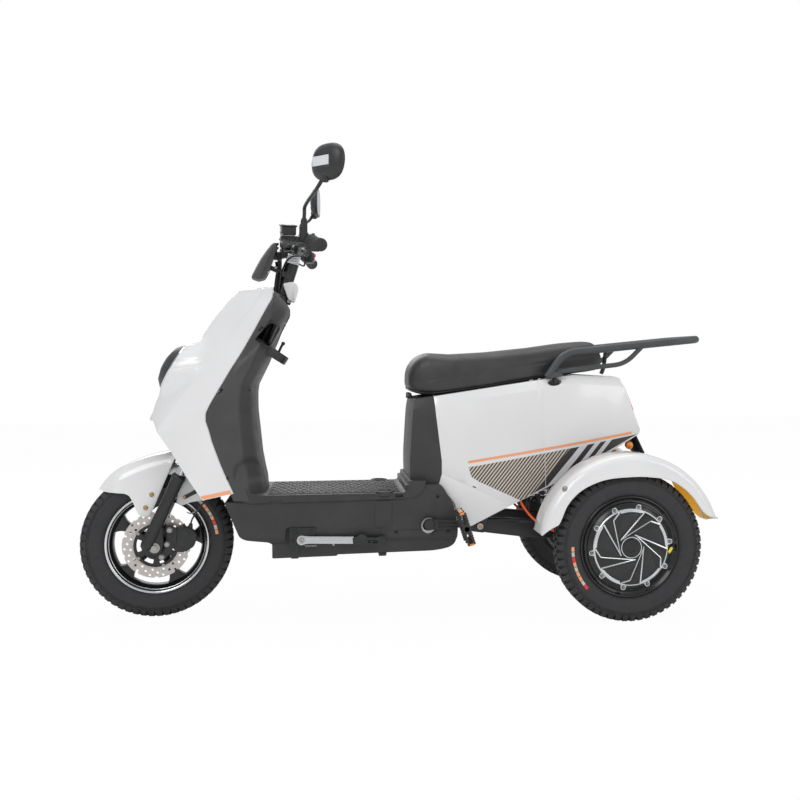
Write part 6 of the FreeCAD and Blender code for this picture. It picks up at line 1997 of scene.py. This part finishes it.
def display():
    """Curved display pod ahead of the clamp: hood, dark glass, chin and arm."""
    rows = []
    for step in range(23):
        u = -1 + 2 * (step / 22)
        y = 62 * u
        pull = 22 * abs(u) ** 3.2
        view = [(258, 957), (259, 967), (270, 989), (285, 1017), (301, 1040), (316, 1059), (324, 1060),
                (328, 1048),
                (319, 1020), (311, 999), (303, 976), (293, 957), (272, 952)]
        shape = rounded([(x + pull * (1 if i < 6 else 0.15), z - 0.14 * pull * (1 if 4 <= i <= 7 else 0))
                         for i, (x, z) in enumerate(view)], 6, 3)
        rows.append([at(p.x, y, p.y) for p in shape])
    hood = skin("display_hood", rows, closed=True, ends=True)
    soften(hood, 0.004, 4, 60)
    parts = [paint(hood, CHARCOAL)]
    face = slab("display_glass", [(300, 976), (320, 1042), (329, 1042), (309, 976)], -50, 50)
    soften(face, 0.003, 3)
    add(parts, face, SMOKED_LENS)
    seam = bar("display_seam", [at(285, -62.2, 960), at(297, -62.2, 984), at(309, -62.2, 1016),
                                at(321, -62, 1050)], 0.9, 8)
    add(parts, seam, BLACK_PLASTIC)
    for dy in (-17, 17):
        arm = bar("display_arm", [at(302, dy, 994), at(322, dy, 986), at(342, dy, 976),
                                  at(350, dy * 0.9, 966)], 6, 14)
        add(parts, arm, POWDER)
    yoke = slab("display_yoke", [(306, 1018, 5), (310, 1032, 5), (372, 1040, 5), (372, 1026, 5),
                                 (330, 1012, 8)], -18, 18)
    add(parts, soften(yoke, 0.002), POWDER)
    grip = turned("display_collar", at(350, 0, 962), (math.tan(RAKE), 0, 1),
                  [(0, 20), (0, 23), (16, 23), (16, 20)], 36)
    add(parts, grip, POWDER)
    for x, z in ((300, 1002), (326, 990)):
        pin = turned("arm_screw", at(x, -23, z), (0, -1, 0), [(0, 4), (2, 4), (2.4, 3), (2.4, 0.1)], 18)
        add(parts, pin, STEEL_BOLT)
    boot = bar("loom_boot", [at(331, -4, 1008), at(336, -4, 976), at(333, -3, 940), at(322, -2, 906)], 11, 24,
               taper=lambda t: 0.62 + 0.4 * t)
    add(parts, boot, RUBBER)
    for k, y in enumerate((-15, 0, 14)):
        wire = bar("loom", [at(326, y * 2.2, 1044), at(334 + k, y * 1.4, 1012), at(331 - 2 * k, y, 962),
                            at(321, y, 905)],
                   2.5, 12)
        add(parts, wire, BLACK_PLASTIC)
    assemble("display_unit", parts, "steering", "black_plastic", "display_pod")


display()

MIRROR_TOE = {-1: 38, 1: 8}


def mirror(side, hand):
    """Moulded head with a recessed back and a pale reflector, glass to the rear, on a bent stem."""
    foot = on_bar(side, 125) + Vector((-0.017, 0, 0.058))
    centre = at(455, side * 391, 1234)
    place = Matrix.Translation(centre) @ Matrix.Rotation(math.radians(90 - side * MIRROR_TOE[side]), 4, "Z")

    def ring(radius, y, pull=1.0, count=64):
        points = []
        for k in range(count):
            a = 2 * math.pi * k / count
            c, s = math.cos(a), math.sin(a)
            size = (abs(c) ** 2.6 + abs(s) ** 2.6) ** (-1 / 2.6)
            x = 1.26 * radius * size * c * (1 - 0.10 * pull * (c * s > 0) * abs(c * s))
            points.append(Vector((x, y, radius * size * s)) / 1000)
        return points
    profile = [(40, -8.2), (42.6, -9.4), (44.6, -9.6), (46.6, -8), (47.4, -4), (46.4, 0), (43.4, 5), (37, 10),
               (31, 13.2), (26, 14.6), (20, 15), (10, 15), (0.6, 15)]
    bowl = skin("mirror_bowl", [ring(r, y) for r, y in profile] , closed=True, ends=True)
    dent = block_between("mirror_dent", Vector((-0.012 * side, 0.0185, 0.004)), (76, 12, 44), None, 5.6)
    carve(bowl, dent)
    soften(bowl, 0.0014, 3, 34)
    parts = [paint(move(bowl, place), BLACK_PLASTIC)]
    strip = block_between("reflector", Vector((-0.010 * side, 0.0125, 0.002)), (62, 4.4, 25), None, 1.8)
    add(parts, move(strip, place), LIGHT_GREY)
    socket = turned("mirror_socket", centre + Vector((-0.006, 0, -0.052)), (0.1, 0, 1),
                    [(0, 0.1), (0, 7), (2, 9.5), (10, 10), (18, 12), (22, 11), (22, 0.1)], 32)
    add(parts, socket, BLACK_PLASTIC)
    stalk = [foot + Vector((0.0, 0, -0.004)), foot + Vector((0.001, 0, 0.018)),
             foot + Vector((0.004, side * 0.014, 0.040)),
             at(432, side * 366, 1172), centre + Vector((-0.006, 0, -0.034))]
    add(parts, bar("mirror_stalk", stalk, 5, 20), POWDER)
    nut = turned("stalk_nut", foot, (0, 0, 1), [(0, 7.6), (5, 7.6), (5.6, 6.6), (5.6, 0.1)], 6)
    add(parts, nut, POWDER)
    assemble(f"mirror_head_{hand}", parts, "steering", "black_plastic", f"mirror_{hand}")
    glass = skin("glass", [ring(40.4, -9.0), ring(40.4, -9.9), ring(39.4, -10.3), ring(0.6, -10.3)],
                 closed=True, ends=True)
    return paint(move(glass, place), MIRROR)


assemble("mirror_panes", [mirror(side, hand) for side, hand in HANDS], "steering",
       "mirror_glass", "mirror_glasses")


# Seat, rack and running gear

SEAT_SECTIONS = [
    # x, underside, top, half width, shoulder drop
    (694, 646, 686, 70, 20), (700, 641, 704, 82, 28), (712, 635, 722, 92, 34), (728, 631, 734, 101, 36),
    (750, 629, 742, 108, 36), (785, 631, 740, 116, 36), (820, 636, 738, 122, 36), (925, 650, 744, 124, 34),
    (1060, 672, 758, 116, 34), (1150, 686, 771, 106, 34), (1225, 695, 778, 99, 33), (1246, 698, 776, 96, 32),
    (1259, 702, 765, 91, 26), (1267, 705, 748, 85, 16), (1271, 709, 736, 78, 10),
]


SEAT_BACK = Matrix.Translation((0.010, 0, 0))


def crease_height(x):
    """Height of the sewn line along the seat's side."""
    return 664 + max(-12, (x - 741) * 51 / 346)


def cushion_row(x):
    """Half section (y, z) of the seat from the middle of its top to the middle of its underside."""
    low, high, wide, drop = value_at(SEAT_SECTIONS, x)
    fold = min(max(crease_height(x), low + 9), high - drop)
    return [(0, high + 1.5), (wide * 0.35, high + 1), (wide * 0.62, high - 1),
            (wide - 20, high - drop * 0.16),
            (wide - 9, high - drop * 0.46), (wide - 3, high - drop * 0.86),
            (wide - 0.5, (fold + high - drop) / 2),
            (wide, fold + 2), (wide - 1.4, fold - 5), (wide - 4, (fold + low) / 2), (wide - 7, low + 4),
            (wide - 11, low), (wide * 0.5, low)]


def cushion():
    """Foam seat: a voxel skin, inflated by cloth pressure while its hem and crease are held."""
    stations = [694.6, 697, 700, 706, 712, 720, 728, 739, 750, 768, 785, 802, 820, 855, 890, 925, 970, 1015,
                1060, 1105,
                1150, 1188, 1225, 1246, 1253, 1259, 1264, 1268, 1271]
    rows = []
    for x in stations:
        half = cushion_row(x)
        rows.append([at(x, y, z) for y, z in half] + [at(x, -y, z) for y, z in reversed(half[1:])])
    seat = skin("seat_cushion_skin", rows, closed=True, ends=True)
    modify(seat, "REMESH", mode="VOXEL", voxel_size=0.0055)
    modify(seat, "SMOOTH", factor=0.5, iterations=3)
    before = [v.co.copy() for v in seat.data.vertices]
    hold = seat.vertex_groups.new(name="hold")
    for vertex in seat.data.vertices:
        x, z = vertex.co.x * 1000 - FRONT_AXLE, vertex.co.z * 1000
        low = value_at(SEAT_SECTIONS, x)[0]
        near = abs(z - crease_height(x))
        weight = 1.0 if z < low + 6 else 0.9 if near < 4 and x > 741 else 0.12
        hold.add([vertex.index], weight, "REPLACE")
    cloth = seat.modifiers.new("stuffing", "CLOTH")
    for key, value in {"quality": 4, "mass": 0.4, "tension_stiffness": 40, "compression_stiffness": 40,
                       "bending_stiffness": 20, "use_pressure": True, "uniform_pressure_force": 2.5,
                       "vertex_group_mass": "hold"}.items():
        setattr(cloth.settings, key, value)
    cloth.settings.effector_weights.gravity = 0
    cloth.collision_settings.use_self_collision = False
    cloth.point_cache.frame_start = 1
    cloth.point_cache.frame_end = 14
    scene = bpy.context.scene
    for step in range(1, 15):
        scene.frame_set(step)
    settle(seat)
    cap = 0.0022
    for vertex, old in zip(seat.data.vertices, before):
        swell = vertex.co - old
        if swell.length > cap:
            vertex.co = old + swell.normalized() * cap
        vertex.co.z = min(vertex.co.z, old.z + 0.001)
    scene.frame_set(1)
    seat.vertex_groups.clear()
    modify(seat, "SMOOTH", factor=0.5, iterations=5)
    modify(seat, "SUBSURF", levels=1, render_levels=1)
    for vertex in seat.data.vertices:
        x, z = vertex.co.x * 1000 - FRONT_AXLE, vertex.co.z * 1000
        wide = value_at(SEAT_SECTIONS, x)[2]
        near = abs(z - crease_height(x)) / 5.5
        if near < 1 and abs(vertex.co.y) * 1000 > wide - 16:
            inward = 0.0021 * (1 - near * near) ** 2 * smooth_share(736, 752, x) * smooth_share(1110, 1080, x)
            vertex.co.y -= math.copysign(inward, vertex.co.y)
    move(seat, SEAT_BACK)
    seat.data.shade_smooth()
    finish(seat, "seat", "seat_vinyl", VINYL, ["seat_cushion"])


cushion()


def seat_trim():
    """Lip of the seat pan and its welt, under the cushion's hem."""
    low, high = -6, 0.5
    rows = []
    for x in (697, 704, 712, 728, 750, 785, 820, 925, 1060, 1150, 1225, 1250, 1262, 1268):
        base, _, wide, _ = value_at(SEAT_SECTIONS, x)
        half = [(wide - 18, base + high), (wide - 17, base + low * 0.4), (wide - 21, base + low),
                (wide * 0.4, base + low)]
        rows.append([at(x, y, z) for y, z in [(0, base + high)] + half + [(0, base + low)]]
                    + [at(x, -y, z) for y, z in reversed(half)])
    parts = [paint(soften(skin("seat_pan", rows, closed=True, ends=True), 0.0016), BLACK_PLASTIC)]
    for side in SIDES:
        line = []
        for x in (712, 728, 750, 785, 820, 925, 1060, 1150, 1225, 1250):
            base, _, wide, _ = value_at(SEAT_SECTIONS, x)
            line.append(at(x, side * (wide - 11), base - 0.6))
        add(parts, bar("seat_welt", line, 1.3, 8), BLACK_PLASTIC)
    finish(move(weld("seat_pan_trim", parts), SEAT_BACK), "seat", "black_plastic", replaces=["seat_base"])


seat_trim()


def rack():
    """Bent carrier loop on its braces, feet and gussets."""
    parts = []
    near = [at(1101, -137, 674), at(1152, -137, 744), at(1561, -137, 785)]
    far = [Vector((p.x, -p.y, p.z)) for p in reversed(near)]
    add(parts, bar("rack_loop", bend(near + far, 38, 9), 11, 32, smooth=False), RACK_COAT)
    for side in SIDES:
        brace = [at(1113, side * 137, 682), at(1149, side * 137, 692), at(1335, side * 137, 712),
                 at(1389, side * 137, 766)]
        add(parts, bar("rack_brace", bend(brace, 34, 7), 7, 24, smooth=False), RACK_COAT)
        foot = slab("rack_foot", [(1096, 678, 5), (1098, 669, 3), (1146, 676, 3), (1146, 684, 4),
                                  (1112, 690, 5)],
                    side * 137 - 9, side * 137 + 9)
        add(parts, soften(foot, 0.001), RACK_COAT)
        gusset = slab("rack_gusset", [(1106, 688, 5), (1110, 676, 5), (1150, 684, 6), (1148, 698, 6),
                                      (1126, 700, 6)],
                      side * 137 - 2, side * 137 + 2)
        add(parts, soften(gusset, 0.0008), RACK_COAT)
        post = turned("rack_post", at(1125, side * 135.5, 622), (0, 0, 1),
                      [(0, 7), (34, 7), (35, 8), (48, 8), (50, 0.1)],
                      28)
        add(parts, post, POWDER)
    for x in (1339, 1449):
        z = 748 + (x - 1181) * 36 / 376
        add(parts, turned("rack_bar", at(x, -137, z), (0, 1, 0), [(0, 8), (274, 8)], 24), RACK_COAT)
    stay = bar("seat_stay", [at(1284, -60, 682), at(1292, -60, 704), at(1298, -60, 752)], 6, 12)
    add(parts, stay, POWDER)
    assemble("rear_carrier", parts, "chassis", "frame_black", "rear_rack")


rack()


def shocks():
    """Coil dampers between the trailing arms and the frame."""
    parts = []
    for side in SIDES:
        low, high = at(1111, side * 104, 285), at(1103, side * 104, 418)
        way = high - low
        length = way.length * 1000
        across = Vector((0, 1, 0))
        other = way.normalized().cross(across)
        add(parts, turned("damper_rod", low + way * 0.1, way, [(0, 6), (length * 0.8, 6)], 28), CHROME)
        body = turned("damper_body", low + way * 0.5, way, [(0, 9), (1, 12.4), (46, 12.4), (48, 9)], 36)
        add(parts, body, POWDER)
        for share, radius, height in ((0.20, 19.5, 6), (0.9, 20.5, 7)):
            cup = turned("spring_cup", low + way * share, way,
                         [(-height, 12), (-height, radius), (0, radius), (1, radius - 2),
                                                             (1, 12)], 40)
            add(parts, cup, ALLOY)
        turns, steps = 6.2, 150
        line = []
        for step in range(steps + 1):
            t = step / steps
            a = 2 * math.pi * turns * t
            place = low + way * (0.215 + 0.635 * t)
            line.append(place + (across * math.cos(a) + other * math.sin(a)) * 0.0168)
        add(parts, bar("spring", line, 2.9, 10, smooth=False), CHROME)
        for point in (low, high):
            eye = turned("shock_eye", point - across * 0.010, across, [(0, 5), (0, 10), (20, 10), (20, 5)],
                         28)
            add(parts, eye, POWDER)
            pin = turned("shock_pin", point - across * 0.014, across,
                         [(0, 0.1), (0, 5.6), (4, 6.4), (24, 6.4), (28, 5.6), (28, 0.1)], 6)
            add(parts, pin, STEEL_BOLT)
    assemble("coil_dampers", parts, "chassis", "frame_black", "rear_shocks")


shocks()


def swing_arm():
    """Trailing arms with their pivots and lugs, and the axle beam across them."""
    parts = []
    pivot_x, pivot_z = 907, 246
    for side in SIDES:
        arm = slab("trailing_arm", [(889, 250, 12), (903, 267, 8), (997, 264, 3), (1309, 231.5, 10),
                                    (1309, 187.5, 10),
                                    (1027, 210, 3), (901, 228, 10)], side * 96 - 11, side * 96 + 11)
        soften(arm, 0.004, 3)
        cutters = []
        for x in (1000, 1066):
            cutters.append(slab("arm_slot", [(x, 257 - (x - 997) * 0.1, 2),
                                             (x + 34, 254 - (x - 997) * 0.1, 2),
                                             (x + 34, 250 - (x - 997) * 0.1, 2),
                                             (x, 253 - (x - 997) * 0.1, 2)],
                                side * 107 - 2, side * 107 + 2))
        for x, z in ((1156, 214), (1160, 203), (1200, 202)):
            cutters.append(turned("arm_hole", at(x, side * 107 - 2.5, z), (0, 1, 0), [(0, 4), (5, 4)], 20))
        carve(arm, *cutters)
        soften(arm, 0.0006)
        add(parts, arm, POWDER)
        ring = turned("pivot_ring", at(pivot_x, side * 100, pivot_z), (0, side, 0),
                      [(0, 17), (8, 18.5), (12, 18.5), (13, 17.5), (13, 12)], 48)
        add(parts, ring, POWDER)
        cap = turned("pivot_bolt", at(pivot_x, side * 112, pivot_z), (0, side, 0),
                     [(0, 14.6), (2.4, 14.6), (3, 13.6), (3, 11), (11, 10.4), (14, 8.8), (14, 5), (12, 4.6),
                      (12, 0.1)], 40)
        add(parts, cap, STEEL_BOLT)
        core = turned("pivot_centre", at(pivot_x, side * 123.5, pivot_z), (0, side, 0),
                      [(0, 5), (2, 4.8), (2.6, 3.6), (2.6, 0.1)], 6)
        add(parts, core, ZINC)
        for height, radius, low in ((284, 10, -13), (296, 12, 12)):
            lug = slab("shock_lug", [(1093, 238, 4), (1095, height, radius), (1127, height, radius),
                                     (1139, 234, 4)],
                       side * 103 + low, side * 103 + low + 4)
            add(parts, soften(lug, 0.001), POWDER)
        stub = turned("axle_stub", at(WHEELBASE, side * 200, WHEEL_RADIUS), (0, side, 0),
                      [(0, 12), (14, 12), (15, 8), (62, 8)], 32)
        add(parts, stub, STEEL_BOLT)
        plate = slab("beam_plate", [(1272, 232, 6), (1330, 236, 8), (1332, 180, 8), (1270, 184, 6)],
                     side * 118 - 4, side * 118 + 4)
        add(parts, soften(plate, 0.001), POWDER)
    beam = turned("axle_beam", at(WHEELBASE, -212, WHEEL_RADIUS), (0, 1, 0),
                  [(0, 14), (0, 20), (3, 22), (421, 22), (424, 20), (424, 14)], 48)
    add(parts, beam, POWDER)
    shaft = turned("pivot_shaft", at(pivot_x, -112, pivot_z), (0, 1, 0), [(0, 8), (224, 8)], 28)
    add(parts, shaft, STEEL_BOLT)
    assemble("swing_arm_frame", parts, "chassis", "frame_black", "swing_arm")


swing_arm()


def crank():
    """Spindle, two grooved arms and the pedal pins."""
    hub = at(755, 0, 263)
    parts = [paint(turned("spindle", hub - Vector((0, 0.176, 0)), (0, 1, 0), [(0, 9), (352, 9)], 32),
                   STEEL_BOLT)]
    for side in SIDES:
        way = -side
        low, high = sorted((side * 164, side * 177))
        outline = [(755 - way * 15, 263, 8), (755 - way * 6, 247, 8), (755 + way * 18, 249, 8),
                   (755 + way * 93, 253, 8),
                   (755 + way * 106, 263, 10), (755 + way * 93, 273, 8), (755 + way * 18, 277, 8),
                   (755 - way * 6, 279, 8)]
        arm = slab("crank_arm", outline, low, high)
        trough = [slab("crank_groove", [(755 + way * 26, 263 + dz - 2.4, 2),
                                        (755 + way * 80, 263 + dz * 0.8 - 2, 2),
                                        (755 + way * 80, 263 + dz * 0.8 + 2, 2),
                                        (755 + way * 26, 263 + dz + 2.4, 2)],
                       side * 177 - 2.5, side * 177 + 2.5) for dz in (-5.5, 5.5)]
        carve(arm, *trough)
        add(parts, soften(arm, 0.0024, 3), POWDER)
        cap = turned("crank_cap", at(755, side * 163, 263), (0, side, 0),
                     [(0, 15), (15, 15.6), (17.4, 14), (18.4, 10), (18.4, 0.1)], 40)
        add(parts, cap, BLACK_PLASTIC)
        pin = turned("pedal_pin", at(755 + way * 93, side * 170, 263), (0, side, 0),
                     [(0, 8.4), (9.4, 8.4), (9.8, 6), (98, 6)], 28)
        add(parts, pin, STEEL_BOLT)
    assemble("crank_arms", parts, "crank", "frame_black", "crank_set")


crank()


def pedal(side, hand):
    """Cage pedal: notched rims, windows, barrel and an amber reflector at each end."""
    teeth = []
    for k in range(13):
        x = -42 + k * 7
        teeth += [(x - 3.4, 9.2), (x - 1.6, 11.4), (x + 1.6, 11.4), (x + 3.4, 9.2)]
    rim = [(-46, -8)] + [(x, -z) for x, z in teeth] + [(46, -8), (46, 8)] + list(reversed(teeth)) + [(-46, 8)]
    centre = at(755 - side * 93, 0, 263)
    tilt = Matrix.Translation(centre) @ Matrix.Rotation(math.radians(-108), 4, "Y")
    parts = []

    def plate(outline, low, high, holes=()):
        low, high = sorted((side * low, side * high))
        body = skin("cage", [[Vector((x, y, z)) / 1000 for x, z in outline] for y in (low, high)],
                    closed=True, ends=True)
        if holes:
            carve(body, *[skin("cage_hole", [[Vector((p.x, y, p.y)) / 1000 for p in rounded(hole, 3, 3)]
                                             for y in (low - 2, high + 2)], closed=True,
                                             ends=True) for hole in holes])
        add(parts, move(soften(body, 0.0007), tilt), BLACK_PLASTIC)
    windows = [[(a, -5.4), (b, -5.4), (b, 5.4), (a, 5.4)] for a, b in ((-39, -13), (13, 39))]
    plate(rim, 264, 270, windows)
    plate(rim, 181, 186, windows)
    plate(rim, 222, 226, windows)
    for low, high in ((-46, -42), (42, 46), (-13, -9), (9, 13)):
        plate([(low, -7.4), (high, -7.4), (high, 7.4), (low, 7.4)], 184, 266)
    barrel = turned("barrel", Vector((0, side * 0.180, 0)), (0, side, 0),
                    [(0, 6.3), (0, 9.6), (84, 9.6), (88, 8), (90, 7), (90, 0.1)], 32)
    add(parts, move(barrel, tilt), BLACK_PLASTIC)
    for end in (-1, 1):
        # The amber lens material glows a little. On these reflectors, which are no lamp, that glow is painted
        # light.
        lamp = block_between("pedal_reflector", Vector((end * 0.0462, side * 0.225, 0)), (3.4, 58, 11), None,
                             1)
        add(parts, move(lamp, tilt), AMBER_LENS)
        face = block_between("pedal_edge", Vector((end * 0.0444, side * 0.268, 0)), (5, 6, 12), None, 1)
        add(parts, move(face, tilt), AMBER_LENS)
    assemble(f"pedal_cage_{hand}", parts, f"pedal_{hand}", "black_plastic", f"pedal_{hand}")


for side, hand in HANDS:
    pedal(side, hand)


def stand():
    """Alloy prop stand on its bracket plate, with a black sprung foot."""
    x0, z0 = 404, 229
    leg = slab("stand_leg", [(x0 - 12, z0 - 6, 7), (x0, z0 - 13, 8), (x0 + 16, z0 - 10, 6),
                             (x0 + 142, z0 - 14, 2),
                             (x0 + 142, z0 + 6, 2), (x0 + 16, z0 + 10, 6), (x0, z0 + 13, 8),
                             (x0 - 12, z0 + 6, 7)], -172, -159)
    carve(leg, turned("eye", at(x0, -180, z0), (0, 1, 0), [(0, 5.2), (40, 5.2)], 28))
    soften(leg, 0.0026, 4)
    parts = [paint(leg, ALLOY)]
    rib = slab("stand_rib", [(x0 + 18, z0 - 1, 1), (x0 + 140, z0 - 5, 1), (x0 + 140, z0 - 6.6, 1),
                             (x0 + 18, z0 - 2.6, 1)],
               -173, -171)
    add(parts, rib, ALLOY)
    ear = turned("stand_ear", at(x0, -173.4, z0), (0, 1, 0), [(0, 8), (0, 13), (15, 13), (15, 6)], 40)
    add(parts, ear, ALLOY)
    foot = slab("stand_foot", [(x0 + 138, z0 + 3, 3), (x0 + 150, z0 + 4, 3), (x0 + 160, z0 + 13, 4),
                               (x0 + 172, z0 + 10, 4),
                               (x0 + 178, z0 + 2, 3), (x0 + 205, z0 + 1, 3), (x0 + 214, z0 + 5, 4),
                               (x0 + 228, z0 + 3, 5),
                               (x0 + 232, z0 - 10, 6), (x0 + 222, z0 - 26, 5), (x0 + 206, z0 - 22, 5),
                               (x0 + 140, z0 - 15, 3)],
                -174, -157)
    cut = slab("foot_slot", [(x0 + 180, z0 - 4, 3), (x0 + 208, z0 - 5, 3), (x0 + 206, z0 - 14, 3),
                             (x0 + 180, z0 - 12, 3)],
               -180, -150)
    carve(foot, cut)
    add(parts, soften(foot, 0.0022, 3), RUBBER)
    post = turned("foot_bolt", at(x0 + 190, -175, z0 - 9), (0, 1, 0), [(0, 0.1), (0, 4), (18, 4), (18, 0.1)],
                  20)
    add(parts, post, POWDER)
    knob = turned("stand_stud", at(x0 + 86, -165, z0 - 12), (0, 0, -1), [(0, 4), (5, 4), (6, 2), (6, 0.1)],
                  16)
    add(parts, knob, STEEL_BOLT)
    spring = []
    for step in range(91):
        a = 2 * math.pi * 9 * step / 90
        spring.append(at(x0 + 8 + step * 0.36, -163.8 + 3.2 * math.cos(a), z0 - 17 + 3.2 * math.sin(a)))
    add(parts, bar("stand_spring", spring, 0.9, 6, smooth=False), STEEL_BOLT)
    assemble("stand_arm", parts, "side_stand", "cast_alloy", "side_stand")
    plate = slab("stand_plate", [(x0 - 34, z0 + 32, 4), (x0 + 38, z0 + 32, 4), (x0 + 38, z0 + 12, 4),
                                 (x0 + 2, z0 - 4, 4),
                                 (x0 - 8, z0 - 34, 5), (x0 - 34, z0 - 34, 5)], -158, -154.4)
    parts = [paint(soften(plate, 0.001), POWDER)]
    for x, z in ((x0 - 18, z0 + 21), (x0 - 27, z0 - 5), (x0 + 26, z0 + 22)):
        head = turned("plate_bolt", at(x, -158, z), (0, -1, 0),
                      [(0, 5.6), (1, 5.6), (1.2, 4.4), (4, 4.4), (4.6, 3.8), (4.6, 0.1)], 6)
        add(parts, head, POWDER)
    pin = turned("stand_pivot", at(x0, -154, z0), (0, -1, 0),
                 [(0, 5), (20.4, 5), (20.4, 8.4), (24.6, 8.4), (25.4, 7.4),
                                                              (25.4, 3.6), (22.4, 3.4), (22.4, 0.1)], 6)
    add(parts, soften(pin, 0.0004), STEEL_BOLT)
    assemble("stand_bracket_plate", parts, "chassis", "frame_black", "stand_bracket")


stand()


def tail_plate():
    """Bracket under the tail, its blank plate and the two turn signals."""
    parts = []
    arm = slab("plate_arm", [(1340, 481, 2), (1376, 503, 4), (1386, 500, 4), (1414, 444, 2), (1406, 440, 2),
                             (1378, 493, 4),
                             (1343, 474, 2)], -30, 30)
    add(parts, soften(arm, 0.0012), POWDER)
    board = slab("blank_plate", [(1383, 500, 2), (1387.5, 501, 2), (1415.5, 444, 2), (1411, 442, 2)], -75, 75)
    add(parts, soften(board, 0.0006), BLACK_PLASTIC)
    add(parts, turned("signal_rod", at(1360, -95, 484), (0, 1, 0), [(0, 4), (190, 4)], 16), POWDER)
    for side in SIDES:
        shell = turned("signal_shell", at(1357, side * 90, 471), (0, side, 0),
                       [(0, 0.1), (0, 6), (3, 10), (12, 11.6), (13, 11.6), (13, 0.1)], 36)
        add(parts, shell, BLACK_PLASTIC)
        glass = turned("signal_lens", at(1357, side * 103, 471), (0, side, 0),
                       [(0, 0.1), (0, 11.4), (5, 11.2), (9, 9.4), (11, 5), (11.4, 0.1)], 36)
        add(parts, glass, AMBER_LENS)
        neck = turned("signal_neck", at(1360, side * 92, 484), (-0.2, 0, -1), [(0, 4), (12, 4)], 16)
        add(parts, neck, RUBBER)
    assemble("tail_bracket", parts, "chassis", "frame_black", "plate_bracket")


tail_plate()


# Motor leads: free cords from the frame rail to the ends of the axle beam

LEAD = [(1000, 115.5, 432), (1001, 126, 424), (1008, 129, 380), (1020, 129.5, 318), (1053, 132, 271),
        (1088, 137, 243),
        (1130, 142, 226), (1190, 152, 222), (1250, 176, 228), (1290, 201, 229)]


def lead_length(points):
    """Length of the quadratic spline that these control points make."""
    ends = [points[0]] + [(a + b) / 2 for a, b in zip(points[1:-2], points[2:-1])] + [points[-1]]
    total = 0.0
    for start, middle, end in zip(ends, points[1:-1], ends[1:]):
        last = start
        for step in range(1, 33):
            t = step / 32
            here = on_curve(start, middle, end, t)
            total += (here - last).length
            last = here
    return total


def motor_lead(side, hand):
    points = [at(x, side * y, z) for x, y, z in LEAD]
    curve = bpy.data.curves.new(f"motor_lead_{hand}", "CURVE")
    curve.dimensions = "3D"
    curve.bevel_depth = 0.0035
    curve.bevel_resolution = 5
    curve.resolution_u = 12
    curve.use_fill_caps = True
    spline = curve.splines.new("NURBS")
    spline.points.add(len(points) - 1)
    for target, point in zip(spline.points, points):
        target.co = (point.x, point.y, point.z, 1)
    spline.order_u = 3
    spline.use_endpoint_u = True
    lead = bpy.data.objects.new(f"motor_lead_{hand}", curve)
    bpy.context.scene.collection.objects.link(lead)
    curve.materials.append(CABLE_ORANGE)
    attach(lead, "chassis")
    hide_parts(f"motor_cable_{hand}")
    lead_length(points)


for side, hand in HANDS:
    motor_lead(side, hand)


# Finishes for the part's own solids that stay in sight

OWN_FINISHES = {"main_frame": POWDER, "seat_hinge": POWDER}


def dress_nodes():
    for name in nodes:
        obj = bpy.data.objects.get(name)
        if obj is not None and obj.type == "MESH":
            paint(obj, OWN_FINISHES.get(name, BLACK_PLASTIC))


dress_nodes()
